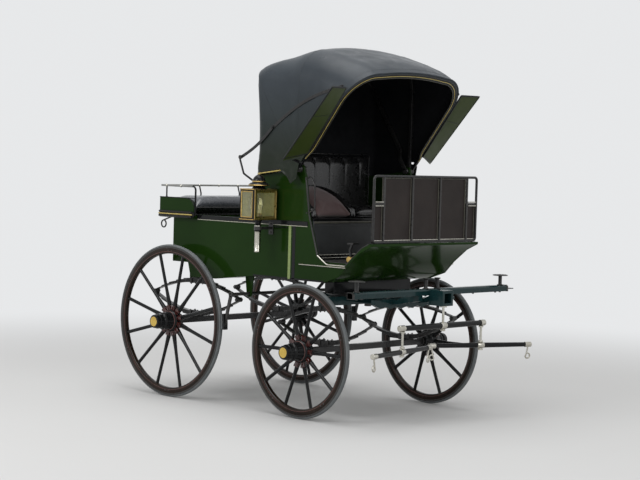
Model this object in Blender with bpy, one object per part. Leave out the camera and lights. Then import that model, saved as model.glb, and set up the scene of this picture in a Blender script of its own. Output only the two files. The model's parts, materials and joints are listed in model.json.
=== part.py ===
"""A demi mail phaeton: a four-wheeled carriage with a folding hood over the driving seat and a seat behind.

The carriage stands on the XY plane, +X is forward, +Y is its left side and +Z is up, all in metres.
Every piece is modelled in the carriage's own coordinates, whose zero is on the ground under the kingbolt,
and hangs from one root empty that stands the finished carriage over the centre of its box.
"""

import math

import bmesh
import bpy
from mathutils import Matrix, Vector

GAP = 0.0003  # between two pieces that touch
BITE = 0.004  # how far a joined shape reaches into the one that holds it
RIGHT, LEFT = -1, 1

# Wheels and axles
WHEELBASE = 1.349
TRACK = 1.350
REAR_WHEEL_RADIUS = 0.560
FRONT_WHEEL_RADIUS = 0.463
REAR_SPOKES = 12
FRONT_SPOKES = 10
TYRE_WIDTH = 0.034
TYRE_DEPTH = 0.026
FELLOE_WIDTH = 0.038
FELLOE_DEPTH = 0.042
SPOKE_WIDTH_AT_NAVE = 0.032
SPOKE_WIDTH_AT_FELLOE = 0.024
DISH = 0.020
NAVE_RADIUS = 0.080
NAVE_INNER_LENGTH = 0.088
NAVE_OUTER_LENGTH = 0.160
NAVE_BORE_RADIUS = 0.0225
NAVE_END_WALL = 0.025
AXLE_ARM_RADIUS = 0.0215
AXLE_BEAM = 0.042
AXLE_COLLAR_RADIUS = 0.036
AXLE_COLLAR_LENGTH = 0.012
WHEEL_FACETS = 32
NAVE_FACETS = 12

# Springs
SPRING_SPREAD = 0.420  # from the middle of the carriage to the middle of a spring
SPRING_BLOCK_WIDTH = 0.060
LEAF_WIDTH = 0.045
LEAF_THICKNESS = 0.0065
LEAF_COUNT = 5
LEAF_STEP = 0.18  # of the half length, by which each leaf is shorter than the last
EYE_RADIUS = 0.017
EYE_WIDTH = 0.062
REAR_SPRING_REACH = 0.460
REAR_SPRING_EYE_Z = 0.738
REAR_SPRING_RISE = 0.088
FRONT_SPRING_REACH = 0.440
FRONT_SPRING_EYE_Z = 0.645
FRONT_SPRING_RISE = 0.078
FRONT_SPRING_TILT = 3.9  # degrees, front eye up
CLIP_LENGTH = 0.100
CLIP_WALL = 0.006
EYE_SEAT = 0.006  # from the line of the eyes to the main leaf

# Turntable
BED_WIDTH = 0.090
BED_HALF_SPAN = 0.460
BED_DEPTH = 0.060
FUTCHELL_SPREAD = 0.140
FUTCHELL_WIDTH = 0.040
FUTCHELL_REAR_X = -0.330
FUTCHELL_BEND_X = 0.420
FUTCHELL_DEPTH = 0.045
REAR_BAR_WIDTH = 0.040
REAR_BAR_DEPTH = 0.030
BAR_SETDOWN = 0.002  # the cross bars lie this far under the bed's top
HORN_BAR_X = 0.350
HORN_BAR_HALF_SPAN = 0.330
HORN_BAR_THICKNESS = 0.035
RING_RADIUS = 0.300
RING_WIDTH = 0.040
RING_THICKNESS = 0.012
RING_FACETS = 36
TOP_BED_HALF_SPAN = 0.400
KINGBOLT_RADIUS = 0.014
KINGBOLT_CLEARANCE = 0.001
KINGBOLT_NUT_RADIUS = 0.026
KINGBOLT_NUT_HEIGHT = 0.022
SPLINTER_BAR_X = 0.587
SPLINTER_BAR_THICKNESS = 0.052
SPLINTER_BAR_DEPTH = 0.044
SPLINTER_BAR_HALF_SPAN = 0.815
SPLINTER_BAR_BOTTOM_Z = 0.868
SPLINTER_BAR_CHAMFER = 0.012
TIP_LENGTH = 0.070  # of the thin plate past the bar's left end
TIP_WIDTH = 0.040
TIP_THICKNESS = 0.006
ROLLER_BOLT_SPREADS = (0.060, 0.752)
ROLLER_BOLT_RADIUS = 0.013
ROLLER_BOLT_HEIGHT = 0.074
ROLLER_CAP_RADIUS = 0.022
ROLLER_CAP_THICKNESS = 0.006
TREAD_CAP_RADIUS = 0.055
POLE_SOCKET_LENGTH = 0.125
POLE_SOCKET_HALF_WIDTH = 0.055
POLE_SOCKET_DEPTH = 0.105
POLE_HOLE_HALF_WIDTH = 0.034
POLE_HOLE_DEPTH = 0.066
POLE_SOCKET_BACK = 0.010
POLE_SOCKET_SETDOWN = 0.004  # its top lies this far under the splinter bar's
POLE_KNOB_SETBACK = 0.030
POLE_KNOB_RADIUS = 0.012
POLE_KNOB_LENGTH = 0.038

# Swingletrees
TREE_X = 0.700
MAIN_TREE_HALF_SPAN = 0.447
MAIN_TREE_Z = 0.667
MAIN_TREE_RADIUS = 0.021
SINGLE_TREE_SPREAD = 0.412
SINGLE_TREE_HALF_SPAN = 0.400
SINGLE_TREE_Z = 0.510
SINGLE_TREE_RADIUS = 0.018
TREE_PIN_RADIUS = 0.0085
TREE_PIN_CLEARANCE = 0.0010
TREE_NUT_RADIUS = 0.017
TREE_NUT_HEIGHT = 0.013
TREE_PLATE_RADIUS = 0.024
TREE_PLATE_HEIGHT = 0.010
PIN_FACETS = 12
RIGHT_TREE_TURN = -12.9  # degrees, as the trees hang in the photograph
LEFT_TREE_TURN = 23.6
FERRULE_WALL = 0.003
FERRULE_LENGTH = 0.050
TRACE_HOOK_RADIUS = 0.0055
TRACE_HOOK_DROP = 0.100

# Body
BODY_HALF_WIDTH = 0.560
PANEL = 0.020
BODY_REAR_X = -1.470
NOTCH_X = -1.300
NOTCH_Z = 0.990
BODY_REAR_BOTTOM_Z = 0.888
BODY_FRONT_BOTTOM_Z = 0.935
RISE_START_X = -1.000
RISE_END_X = -0.600
WELL_FRONT_X = -0.575
BODY_TOP_Z = 1.345
REAR_SEAT_BOTTOM_Z = 1.315
PILLAR_FOOT_X = 0.030
PILLAR_FOOT_Z = 1.115
PILLAR_WAIST_X = -0.060
PILLAR_WAIST_Z = 1.390
PILLAR_TOP_X = -0.100
SEAT_SIDE_TOP_Z = 1.652
SILL_Z = 1.060
SILL_REAR_X = 0.120
SILL_FRONT_X = 0.292
FLOOR_FRONT_X = 0.302
FRONT_BOTTOM_X = 0.100
BOOT_CURVE = ((0.236, 0.982), (0.317, 1.066), (0.434, 1.159))  # underside of the toe board
TOE_RISE = (0.338, 1.102)  # where the side's front edge bends, above the underside
MAT_RISE = (0.338, 1.107)  # the same bend on the toe board
TOE_TOP_Z = 1.222
TOE_NOSE = 0.017
TOE_BEND = (0.440, 1.190)
DASH_X = 0.5185
DASH_SEAT = 0.024
SEAT_FRONT_X = -0.030
SEAT_DECK_Z = 1.350
FRONT_FLOOR_Z = 1.075

# Rear seat
REAR_SEAT_BACK_X = -1.584
REAR_SEAT_FRONT_X = -1.205
REAR_SEAT_HALF_WIDTH = 0.600
REAR_SEAT_TOP_Z = 1.462
REAR_CUSHION_HEIGHT = 0.142
REAR_CUSHION_FRONT_X = -1.206
RAIL_Z = 1.550
RAIL_RADIUS = 0.007
RAIL_INSET = 0.010
RAIL_POSTS_BACK = (-0.20, 0.20)
RAIL_SIDE_POST_SETBACK = 0.055
RAIL_POST_FOOT = 0.030
SCROLL_RADIUS = 0.026
SCROLL_IRON_RADIUS = 0.0055

# Dash
DASH_HALF_WIDTH = 0.545
DASH_TOP_Z = 1.685
DASH_TUBE_RADIUS = 0.009
DASH_CORNER = 0.022
DASH_PANEL_HALF_WIDTH = 0.433
DASH_INNER_UPRIGHT = 0.1445
DASH_CROSS_BAR_Z = 1.490
DASH_LEATHER_THICKNESS = 0.0055

# Front seat
CUSHION_SPLIT_Y = -0.102
CUSHION_HEIGHT = 0.078
CUSHION_SETBACK = 0.008
CUSHION_PARTING = 0.004
CUSHION_DRAW = 0.008  # how far the sides are drawn in at mid length
CROWN_POWER = 5.0
SEAM_SHARE = 0.42  # of the height, up to a cushion this high
SEAM_TOP_HEIGHT = 0.160
EDGE_ROLL = 0.42
SQUAB_ROLLS = 7
SQUAB_CHANNEL_DEPTH = 0.012
WEDGE_REAR_HEIGHT = 0.222
WEDGE_FRONT_HEIGHT = 0.050
WEDGE_ROUND = 2.2  # 1 is a straight slope; more leaves its back fuller
SQUAB_TOP_Z = 1.820
SQUAB_BACK_X = -0.553  # clear of the back leather's foot
SQUAB_THICKNESS = 0.075

# Hood
HOOD_PIVOT_X = -0.150
HOOD_PIVOT_Z = 1.705
HOOD_HALF_WIDTH = 0.600
LEATHER = 0.012
FRONT_BOW_ANGLE = 52.0
MID_BOW_ANGLE = 90.0
REAR_BOW_ANGLE = 123.0
FRONT_BOW_REACH = 0.875
MID_BOW_REACH = 0.862
REAR_BOW_REACH = 0.862
FRONT_BOW_CORNER = 0.270
MID_BOW_CORNER = 0.250
REAR_BOW_CORNER = 0.130
BACK_CORNER = 0.055
HOOD_ARCH = 0.026
HOOD_SAG = 0.018  # of the leather between two bows
HOOD_SEAM = 0.02  # degrees to each side of the middle bow
BACK_FOOT_X = -0.570  # where the back leather meets the seat back
FRONT_BOW_DEPTH = 0.040
BOW_DEPTH = 0.022
BOW_THICKNESS = 0.024
BOW_FOOT_RADIUS = 0.022
BOW_SPLAY_START = 0.100
BOW_SPLAY_END = 0.200
PIVOT_PIN_RADIUS = 0.008
PIVOT_PIN_INWARD = 0.026
PIVOT_PIN_OUTWARD = 0.003
FOOT_CLEARANCE = 0.001
BOW_FOOT_THICKNESS = 0.019
PIVOT_HOLE_RADIUS = 0.0095
EAR_RADIUS = 0.030
LEATHER_START = 0.215  # from the pivot, where the side leather begins
WING_WIDTH = 0.168
WING_THICKNESS = 0.010
WING_LOW, WING_HIGH = 0.060, 0.715
WING_TWIST = 0.026
WING_FLARE = 0.020

# Hood joint irons
PROP_X, PROP_Z = -0.700, 1.776
PROP_RADIUS = 0.007
PROP_BOSS_RADIUS = 0.014
KNUCKLE_X, KNUCKLE_Z = -0.390, 1.990
IRON_HEAD_X, IRON_HEAD_Z = 0.265, 2.270
IRON_WIDTH = 0.022
IRON_THICKNESS = 0.006
IRON_BOW = 0.045  # height of the upper iron's arch
LOWER_IRON_BOW = 0.018

# Grab irons on the front pillars, in the side view
GRAB_PATH = ((-0.098, 1.640), (-0.060, 1.655), (-0.020, 1.600), (-0.012, 1.430), (-0.075, 1.405))
GRAB_RADIUS = 0.006

# Lamps
LAMP_X = -0.425
LAMP_Y = 0.6925
LAMP_DEPTH = 0.150
LAMP_WIDTH = 0.215
LAMP_BOTTOM_Z = 1.347
LAMP_TOP_Z = 1.556
LAMP_WALL = 0.006
LAMP_FRAME = 0.016
LAMP_DOOR_THICKNESS = 0.010
LAMP_ARM_HALF = (0.012, 0.009)
LAMP_PAD_HALF = (0.022, 0.045)
LAMP_PAD_THICKNESS = 0.008
CHIMNEY_SHAPE = (  # (share of the radius, share of the rise)
    (0.62, 0.0),
    (0.55, 0.18),
    (1.0, 0.26),
    (0.96, 0.34),
    (0.66, 0.46),
    (0.60, 0.66),
    (0.34, 0.92),
)
TAIL_SHAPE = (  # (share of the radius, share of the fall)
    (1.5, 0.0),
    (0.9, 0.12),
    (1.15, 0.20),
    (1.15, 0.34),
    (1.0, 0.40),
    (1.0, 0.97),
)
CHIMNEY_TOP_Z = 1.662
CHIMNEY_RADIUS = 0.075
TAIL_BOTTOM_Z = 1.118
TAIL_RADIUS = 0.022

# Brake
BRAKE_SHAFT_X = -0.700
BRAKE_SHAFT_Z = 0.800
BRAKE_SHAFT_RADIUS = 0.012
BRAKE_CLEARANCE = 0.012
SHOE_HEIGHT = 0.110
SHOE_THICKNESS = 0.032
SHOE_Z = 0.600
BRAKE_SHAFT_CLEARANCE = 0.001
HANGER_Y = 0.500
HANGER_THICKNESS = 0.010
HANGER_RADIUS = 0.026
HANGER_FOOT = 0.090
PEDAL_X, PEDAL_Z = 0.235, 1.098
PEDAL_Y = -0.440
PEDAL_ARM = 0.110
PEDAL_WIDTH = 0.016
PEDAL_THICKNESS = 0.012
BARREL_LENGTH = 0.044
TREAD_LENGTH = 0.054
TREAD_WIDTH = 0.064
TREAD_THICKNESS = 0.010

FINISHES = {
    "green_paint": ((0.012, 0.030, 0.006), 0.18, 0.0),
    "teal_paint": ((0.010, 0.026, 0.028), 0.25, 0.0),
    "black_paint": ((0.006, 0.007, 0.007), 0.22, 0.0),
    "black_iron": ((0.010, 0.010, 0.011), 0.35, 0.6),
    "grey_rubber": ((0.060, 0.066, 0.068), 0.75, 0.0),
    "hood_leather": ((0.022, 0.028, 0.034), 0.42, 0.0),
    "flap_leather": ((0.028, 0.040, 0.008), 0.40, 0.0),
    "black_leather": ((0.014, 0.014, 0.015), 0.35, 0.0),
    "seat_cloth": ((0.085, 0.055, 0.058), 0.90, 0.0),
    "dash_leather": ((0.020, 0.014, 0.012), 0.45, 0.0),
    "nickel": ((0.62, 0.60, 0.50), 0.25, 1.0),
    "brass": ((0.55, 0.38, 0.12), 0.28, 1.0),
}


def make_finish(name):
    """A Principled material in the colour, roughness and metallic value listed for the finish."""
    found = bpy.data.materials.get(name)
    if found:
        return found
    colour, roughness, metallic = FINISHES[name]
    finish = bpy.data.materials.new(name)
    finish.use_nodes = True
    shader = finish.node_tree.nodes["Principled BSDF"]
    shader.inputs["Base Color"].default_value = (*colour, 1.0)
    shader.inputs["Roughness"].default_value = roughness
    shader.inputs["Metallic"].default_value = metallic
    return finish


def make_solid(name, vertices, faces, finish):
    """A closed mesh object in the carriage's coordinates, with its faces turned outwards."""
    mesh = bpy.data.meshes.new(name)
    mesh.from_pydata([tuple(vertex) for vertex in vertices], [], faces)
    work = bmesh.new()
    work.from_mesh(mesh)
    bmesh.ops.recalc_face_normals(work, faces=work.faces)
    if work.calc_volume(signed=True) < 0:
        bmesh.ops.reverse_faces(work, faces=work.faces)
    work.to_mesh(mesh)
    work.free()
    mesh.materials.append(make_finish(finish))
    solid = bpy.data.objects.new(name, mesh)
    bpy.context.scene.collection.objects.link(solid)
    return solid


def lay_out(axis, a, b, along):
    """A point from its distance along an axis and its two other values, in X, Y, Z order."""
    return {"X": (along, a, b), "Y": (a, along, b), "Z": (a, b, along)}[axis]


def make_prism(name, outline, low, high, axis, finish):
    """An outline extruded along an axis: its points hold the other two axes, in X, Y, Z order."""
    count = len(outline)
    vertices = [lay_out(axis, a, b, low) for a, b in outline]
    vertices += [lay_out(axis, a, b, high) for a, b in outline]
    faces = [list(range(count)), list(range(2 * count - 1, count - 1, -1))]
    faces += [[i, (i + 1) % count, count + (i + 1) % count, count + i] for i in range(count)]
    return make_solid(name, vertices, faces, finish)


def make_box(name, x, y, z, finish):
    """A box between two values on each axis."""
    outline = [(x[0], y[0]), (x[1], y[0]), (x[1], y[1]), (x[0], y[1])]
    return make_prism(name, outline, z[0], z[1], "Z", finish)


def make_turned(name, profile, centre, axis, facets, finish, flat_down=False):
    """A profile of (radius, distance) turned about an axis through a centre. It is closed by itself, or open
    with both ends on the axis. flat_down sets a facet, not a corner, at the bottom of the wheel."""
    offset = math.pi / facets if flat_down else 0.0
    closed = profile[0][0] > 0
    vertices, rings = [], []
    for radius, distance in profile:
        if radius == 0:
            rings.append([len(vertices)] * facets)
            vertices.append(turned_point(0, 0, distance, centre, axis))
            continue
        rings.append(list(range(len(vertices), len(vertices) + facets)))
        for step in range(facets):
            angle = 2 * math.pi * step / facets - math.pi / 2 + offset
            vertices.append(turned_point(radius, angle, distance, centre, axis))
    faces = []
    for i in range(len(rings) if closed else len(rings) - 1):
        first, second = rings[i], rings[(i + 1) % len(rings)]
        for step in range(facets):
            after = (step + 1) % facets
            corners = [first[step], first[after], second[after], second[step]]
            faces.append(list(dict.fromkeys(corners)))
    return make_solid(name, vertices, faces, finish)


def turned_point(radius, angle, distance, centre, axis):
    """A point of a turned shape: the angle starts at the first of the two other axes."""
    local = lay_out(axis, radius * math.cos(angle), radius * math.sin(angle), distance)
    return tuple(c + d for c, d in zip(centre, local))


def make_pin(name, centre, axis, low, high, radius, facets, finish):
    """A plain cylinder between two distances from its centre."""
    profile = [(0, low), (radius, low), (radius, high), (0, high)]
    return make_turned(name, profile, centre, axis, facets, finish)


def make_tube(name, path, radius, sides, finish, closed=False):
    """A round bar along a path of points, its section carried along without twist. Its ends are capped, or
    meet in a flat loop."""
    points = [Vector(point) for point in path]
    ends = points[1:] + points[:1] if closed else points[1:]
    headings = [(after - before).normalized() for before, after in zip(points, ends)]
    side = headings[0].orthogonal().normalized()
    vertices = []
    for i, point in enumerate(points):
        before = headings[i - 1 if i or closed else 0]
        after = headings[min(i, len(headings) - 1)]
        mean = (before + after).normalized()
        if i > 0:
            side = headings[i - 1].rotation_difference(after) @ side
        across = (side - mean * side.dot(mean)).normalized()
        up = mean.cross(across)
        for step in range(sides):
            angle = 2 * math.pi * (step + 0.5) / sides
            vertices.append(point + radius * (math.cos(angle) * across + math.sin(angle) * up))
    faces = []
    if not closed:
        faces = [list(range(sides)), list(range(len(vertices) - 1, len(vertices) - 1 - sides, -1))]
    for i in range(len(headings)):
        first, second = i * sides, (i + 1) % len(points) * sides
        for step in range(sides):
            after = (step + 1) % sides
            faces.append([first + step, first + after, second + after, second + step])
    return make_solid(name, vertices, faces, finish)


def round_corners(path, radius, steps):
    """The path with each inner corner replaced by an arc of the given radius."""
    points = [Vector(point) for point in path]
    rounded = [points[0]]
    for before, corner, after in zip(points, points[1:], points[2:]):
        back, ahead = (before - corner).normalized(), (after - corner).normalized()
        half = back.angle(ahead) / 2
        reach = radius / math.tan(half)
        middle = corner + (back + ahead).normalized() * (radius / math.sin(half))
        start = (corner + back * reach - middle).normalized()
        end = (corner + ahead * reach - middle).normalized()
        for step in range(steps + 1):
            rounded.append(middle + radius * start.slerp(end, step / steps))
    return rounded + [points[-1]]


def combine(base, others, operation="UNION"):
    """Joins other solids to the base, or cuts them from it, and keeps the result as the base's own mesh."""
    finish = base.active_material
    for other in others:
        modifier = base.modifiers.new(operation.lower(), "BOOLEAN")
        modifier.operation = operation
        modifier.object = other
    bpy.context.view_layer.update()
    graph = bpy.context.evaluated_depsgraph_get()
    mesh = bpy.data.meshes.new_from_object(base.evaluated_get(graph))
    base.modifiers.clear()
    base.data = mesh
    tidy = bmesh.new()
    tidy.from_mesh(mesh)
    bmesh.ops.remove_doubles(tidy, verts=tidy.verts, dist=0.00002)
    bmesh.ops.dissolve_limit(tidy, angle_limit=math.radians(0.2), verts=tidy.verts, edges=tidy.edges)
    bmesh.ops.dissolve_degenerate(tidy, dist=0.00002, edges=tidy.edges)
    bmesh.ops.triangulate(tidy, faces=tidy.faces)
    tidy.to_mesh(mesh)
    tidy.free()
    mesh.polygons.foreach_set("material_index", [0] * len(mesh.polygons))
    mesh.materials.clear()
    mesh.materials.append(finish)
    for other in others:
        bpy.data.objects.remove(other)
    return base


def make_joint(name, place, parent=None):
    """An empty on a joint's axis, which carries the pieces that turn or slide about it."""
    empty = bpy.data.objects.new(name, None)
    empty.empty_display_size = 0.1
    bpy.context.scene.collection.objects.link(empty)
    hang(empty, parent)
    empty.matrix_world = Matrix.Translation(place)
    bpy.context.view_layer.update()
    return empty


def hang(piece, parent):
    """Parents a piece without moving it."""
    if parent is not None:
        piece.parent = parent
        piece.matrix_parent_inverse = parent.matrix_world.inverted()


def mount_piece(piece, joint):
    """Gives a piece its origin on its joint's axis, and hangs it there."""
    place = joint.matrix_world.translation.copy()
    piece.data.transform(Matrix.Translation(-place))
    piece.parent = joint
    smooth(piece)
    return piece


def smooth(piece):
    piece.data.shade_smooth()
    piece.data.set_sharp_from_angle(angle=math.radians(35))


def side_word(side):
    return "right" if side == RIGHT else "left"


def span(first, second):
    return (min(first, second), max(first, second))


def arc(centre, radius, start, end, steps):
    """Points of an arc in a plane, its angles in degrees."""
    angles = [math.radians(start + (end - start) * step / steps) for step in range(steps + 1)]
    return [(centre[0] + radius * math.cos(a), centre[1] + radius * math.sin(a)) for a in angles]


# Wheels: the nave, spokes and felloe are one piece of woodwork, and the rubber tyre sits round it
def build_wheel(place, radius, spokes, side, joint):
    name = f"{place}_{side_word(side)}"
    centre_x = joint.matrix_world.translation.x
    rim_y = side * TRACK / 2
    centre = (centre_x, 0.0, radius)
    corner = 1 / math.cos(math.pi / WHEEL_FACETS)  # of a facetted ring, over the radius of its facets

    tread, seat = radius * corner, (radius - TYRE_DEPTH) * corner
    tyre = make_hoop(f"tyre_{name}", seat, tread, TYRE_WIDTH, rim_y, centre, "grey_rubber")
    outer = seat - GAP
    inner = outer - FELLOE_DEPTH
    felloe = make_hoop("felloe", inner, outer, FELLOE_WIDTH, rim_y, centre, "black_paint")

    nave = make_nave(centre, rim_y, side)
    spoke_set = make_spokes(centre, rim_y, side, spokes, NAVE_RADIUS * 0.5, inner + FELLOE_DEPTH / 2)
    wheel = combine(nave, [spoke_set, felloe])
    wheel.name = f"wheel_{name}"
    mount_piece(wheel, joint)
    mount_piece(tyre, joint)


def make_hoop(name, inner, outer, width, rim_y, centre, finish):
    """A hoop of square section that stands on a facet."""
    low, high = rim_y - width / 2, rim_y + width / 2
    section = [(inner, low), (outer, low), (outer, high), (inner, high)]
    return make_turned(name, section, centre, "Y", WHEEL_FACETS, finish, flat_down=True)


def make_nave(centre, rim_y, side):
    """The turned hub, bored from its inner end for the axle arm and closed at its nose."""
    root = -DISH
    outward = [
        (NAVE_BORE_RADIUS, -NAVE_INNER_LENGTH),
        (NAVE_RADIUS * 0.66, -NAVE_INNER_LENGTH),
        (NAVE_RADIUS * 0.78, root - 0.038),
        (NAVE_RADIUS, root - 0.022),
        (NAVE_RADIUS, root + 0.026),
        (NAVE_RADIUS * 0.78, NAVE_OUTER_LENGTH * 0.50),
        (NAVE_RADIUS * 0.62, NAVE_OUTER_LENGTH * 0.60),
        (NAVE_RADIUS * 0.62, NAVE_OUTER_LENGTH - 0.012),
        (NAVE_RADIUS * 0.50, NAVE_OUTER_LENGTH),
        (0.0, NAVE_OUTER_LENGTH),
    ]
    bore_end = NAVE_OUTER_LENGTH - NAVE_END_WALL
    profile = [(0.0, bore_end), (NAVE_BORE_RADIUS, bore_end)] + outward
    profile = [(r, rim_y + side * d) for r, d in profile]
    return make_turned("nave", profile, centre, "Y", NAVE_FACETS, "black_paint")


def make_spokes(centre, rim_y, side, count, start, end):
    """All the spokes of a wheel as one set of tapered six-sided bars that lean outwards by the dish."""
    vertices, faces = [], []
    for index in range(count):
        turn = Matrix.Rotation(-2 * math.pi * (index + 0.5) / count, 3, "Y")
        first = len(vertices)
        for reach, width, lean in ((start, SPOKE_WIDTH_AT_NAVE, -DISH), (end, SPOKE_WIDTH_AT_FELLOE, 0.0)):
            for step in range(6):
                angle = math.pi * step / 3
                across, deep = width / 2 * math.cos(angle), width * 0.62 * math.sin(angle)
                point = turn @ Vector((across, 0.0, reach))
                vertices.append((centre[0] + point.x, rim_y + side * lean + deep, centre[2] + point.z))
        faces.append([first + i for i in range(6)])
        faces.append([first + 11 - i for i in range(6)])
        faces += [[first + i, first + (i + 1) % 6, first + 6 + (i + 1) % 6, first + 6 + i] for i in range(6)]
    return make_solid("spokes", vertices, faces, "black_paint")


def build_axle(name, centre_x, centre_z, joint):
    """A square beam with a collar and a round arm at each end, which the naves run on."""
    nave_end = TRACK / 2 - NAVE_INNER_LENGTH
    collar = nave_end - GAP
    arm_end = TRACK / 2 + NAVE_OUTER_LENGTH - NAVE_END_WALL - GAP
    half = AXLE_BEAM / 2
    beam_end = collar - AXLE_COLLAR_LENGTH / 2
    beam_x, beam_z = (centre_x - half, centre_x + half), (centre_z - half, centre_z + half)
    axle = make_box(name, beam_x, (-beam_end, beam_end), beam_z, "black_iron")
    centre = (centre_x, 0.0, centre_z)
    arms = []
    for side in (RIGHT, LEFT):
        profile = [(0, collar - AXLE_COLLAR_LENGTH), (AXLE_COLLAR_RADIUS, collar - AXLE_COLLAR_LENGTH)]
        profile += [(AXLE_COLLAR_RADIUS, collar), (AXLE_ARM_RADIUS, collar)]
        profile += [(AXLE_ARM_RADIUS, arm_end), (0, arm_end)]
        profile = [(r, side * d) for r, d in profile]
        arms.append(make_turned("arm", profile, centre, "Y", NAVE_FACETS, "black_iron"))
    mount_piece(combine(axle, arms), joint)


# Springs: an elliptic spring is two packs of leaves that meet in an eye at each end
def leaf_pack_outline(reach, sag):
    """One half of a spring, sagging upwards: the main leaf inside, each next leaf shorter and outside it."""
    steps = 10
    stations = [2 * step / steps - 1 for step in range(steps + 1)]
    inner = [(reach * u, sag * (1 - u * u)) for u in stations]
    ends = [1 - LEAF_STEP * i for i in range(1, LEAF_COUNT)]
    cuts = sorted({*stations, *ends, *(-end for end in ends)})
    outer = []
    for u in cuts:
        level = sag * (1 - u * u)
        thick = sum(abs(u) < end - 1e-9 for end in ends) + 1
        thicker = sum(abs(u) <= end + 1e-9 for end in ends) + 1
        leaves = [thick, thicker] if u < 0 else [thicker, thick]
        for count in dict.fromkeys(leaves):
            outer.append((reach * u, level + count * LEAF_THICKNESS))
    return inner + outer[::-1]


def build_spring(name, axle, eye_z, reach, rise, tilt, y, joint):
    """One spring: its lower clip sits on the axle's beam and its upper clip carries the block or bed above."""
    centre_x, axle_z = axle
    seat = axle_z + AXLE_BEAM / 2 + GAP
    top = spring_top(eye_z, rise)
    drop = rise - (top - eye_z) + (eye_z - seat)
    low_y, high_y = y - LEAF_WIDTH / 2, y + LEAF_WIDTH / 2
    upper = [(x, z + EYE_SEAT) for x, z in leaf_pack_outline(reach, rise)]
    lower = [(x, -z - EYE_SEAT) for x, z in leaf_pack_outline(reach, drop)]
    spring = make_prism(name, upper, low_y, high_y, "Y", "black_iron")
    pieces = [make_prism("lower", lower, low_y, high_y, "Y", "black_iron")]
    for end in (-1, 1):
        eye = (end * reach, y, 0.0)
        pieces.append(make_pin("eye", eye, "Y", -EYE_WIDTH / 2, EYE_WIDTH / 2, EYE_RADIUS, 8, "black_iron"))
    turn = Matrix.Rotation(-math.radians(tilt), 4, "Y")
    for piece in [spring, *pieces]:
        piece.data.transform(Matrix.Translation((centre_x, 0.0, eye_z)) @ turn)
    long = (centre_x - CLIP_LENGTH / 2, centre_x + CLIP_LENGTH / 2)
    wide = (low_y - CLIP_WALL, high_y + CLIP_WALL)
    tall = LEAF_COUNT * LEAF_THICKNESS + 2 * CLIP_WALL
    for z in ((seat, seat + tall), (top - tall, top)):
        pieces.append(make_box("clip", long, wide, z, "black_iron"))
    mount_piece(combine(spring, pieces), joint)


def spring_top(eye_z, rise):
    """The height of the upper clip's top face."""
    return eye_z + rise + EYE_SEAT + LEAF_COUNT * LEAF_THICKNESS + CLIP_WALL


# Turntable: the bottom carriage that the front axle's springs carry, and the rings it turns on
def bed_levels():
    """The heights of the turntable, from the top of the front springs up to the body's floor."""
    bed_bottom = spring_top(FRONT_SPRING_EYE_Z, FRONT_SPRING_RISE) + GAP
    ring_bottom = bed_bottom + BED_DEPTH + GAP
    upper_ring = ring_bottom + RING_THICKNESS + GAP
    return bed_bottom, ring_bottom, upper_ring


def build_turntable(joint, root):
    bed_bottom, ring_bottom, upper_ring = bed_levels()
    bed_top = ring_bottom - GAP
    half = BED_WIDTH / 2
    wide = (-BED_HALF_SPAN, BED_HALF_SPAN)
    bed = make_box("front_bed", (-half, half), wide, (bed_bottom, bed_top), "teal_paint")
    pieces = []
    bar_bottom = SPLINTER_BAR_BOTTOM_Z - GAP
    bar_front = SPLINTER_BAR_X + SPLINTER_BAR_THICKNESS / 2
    middle, bend = bed_top - FUTCHELL_DEPTH, bed_top - 0.030
    futchell = [(FUTCHELL_REAR_X, bed_top), (FUTCHELL_REAR_X, bed_top - 0.032), (-0.10, middle)]
    futchell += [(0.30, middle), (FUTCHELL_BEND_X, bend), (bar_front, bar_bottom - 0.036)]
    futchell += [(bar_front, bar_bottom), (0.50, bar_bottom), (FUTCHELL_BEND_X, bed_top), (0.30, bed_top)]
    for side in (RIGHT, LEFT):
        y = side * FUTCHELL_SPREAD
        low, high = y - FUTCHELL_WIDTH / 2, y + FUTCHELL_WIDTH / 2
        pieces.append(make_prism("futchell", futchell, low, high, "Y", "teal_paint"))
    pieces.append(make_horn_bar(bed_top))
    rear_x = (FUTCHELL_REAR_X + 0.01, FUTCHELL_REAR_X + 0.01 + REAR_BAR_WIDTH)
    rear_y = math.sqrt(RING_RADIUS**2 - (RING_RADIUS - RING_WIDTH / 2) ** 2) + FUTCHELL_SPREAD
    rear_z = (bed_top - REAR_BAR_DEPTH, bed_top - BAR_SETDOWN)
    pieces.append(make_box("rear_bar", rear_x, (-rear_y, rear_y), rear_z, "teal_paint"))
    combine(bed, pieces)
    hole = KINGBOLT_RADIUS + KINGBOLT_CLEARANCE
    cutter = make_pin("hole", (0, 0, 0), "Z", bed_bottom - 0.05, bed_top + 0.05, hole, 16, "black_iron")
    combine(bed, [cutter], "DIFFERENCE")
    mount_piece(bed, joint)

    mount_piece(make_ring("ring_lower", ring_bottom, "black_iron"), joint)
    build_top_bed(upper_ring, root)
    build_kingbolt(bed_bottom, root)
    build_splinter_bar(joint)
    build_pole_socket(joint)


def make_horn_bar(bed_top):
    """The cross bar ahead of the ring, with a waved lower edge."""
    waves = 6
    low = bed_top - 0.062
    steps = waves * 4
    edge = []
    for step in range(steps + 1):
        share = step / steps
        y = HORN_BAR_HALF_SPAN * (2 * share - 1)
        edge.append((y, low + 0.007 * math.cos(2 * math.pi * waves * share) + 0.020 * (2 * share - 1) ** 4))
    top = bed_top - BAR_SETDOWN
    outline = edge + [(HORN_BAR_HALF_SPAN, top), (-HORN_BAR_HALF_SPAN, top)]
    half = HORN_BAR_THICKNESS / 2
    return make_prism("horn_bar", outline, HORN_BAR_X - half, HORN_BAR_X + half, "X", "teal_paint")


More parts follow.
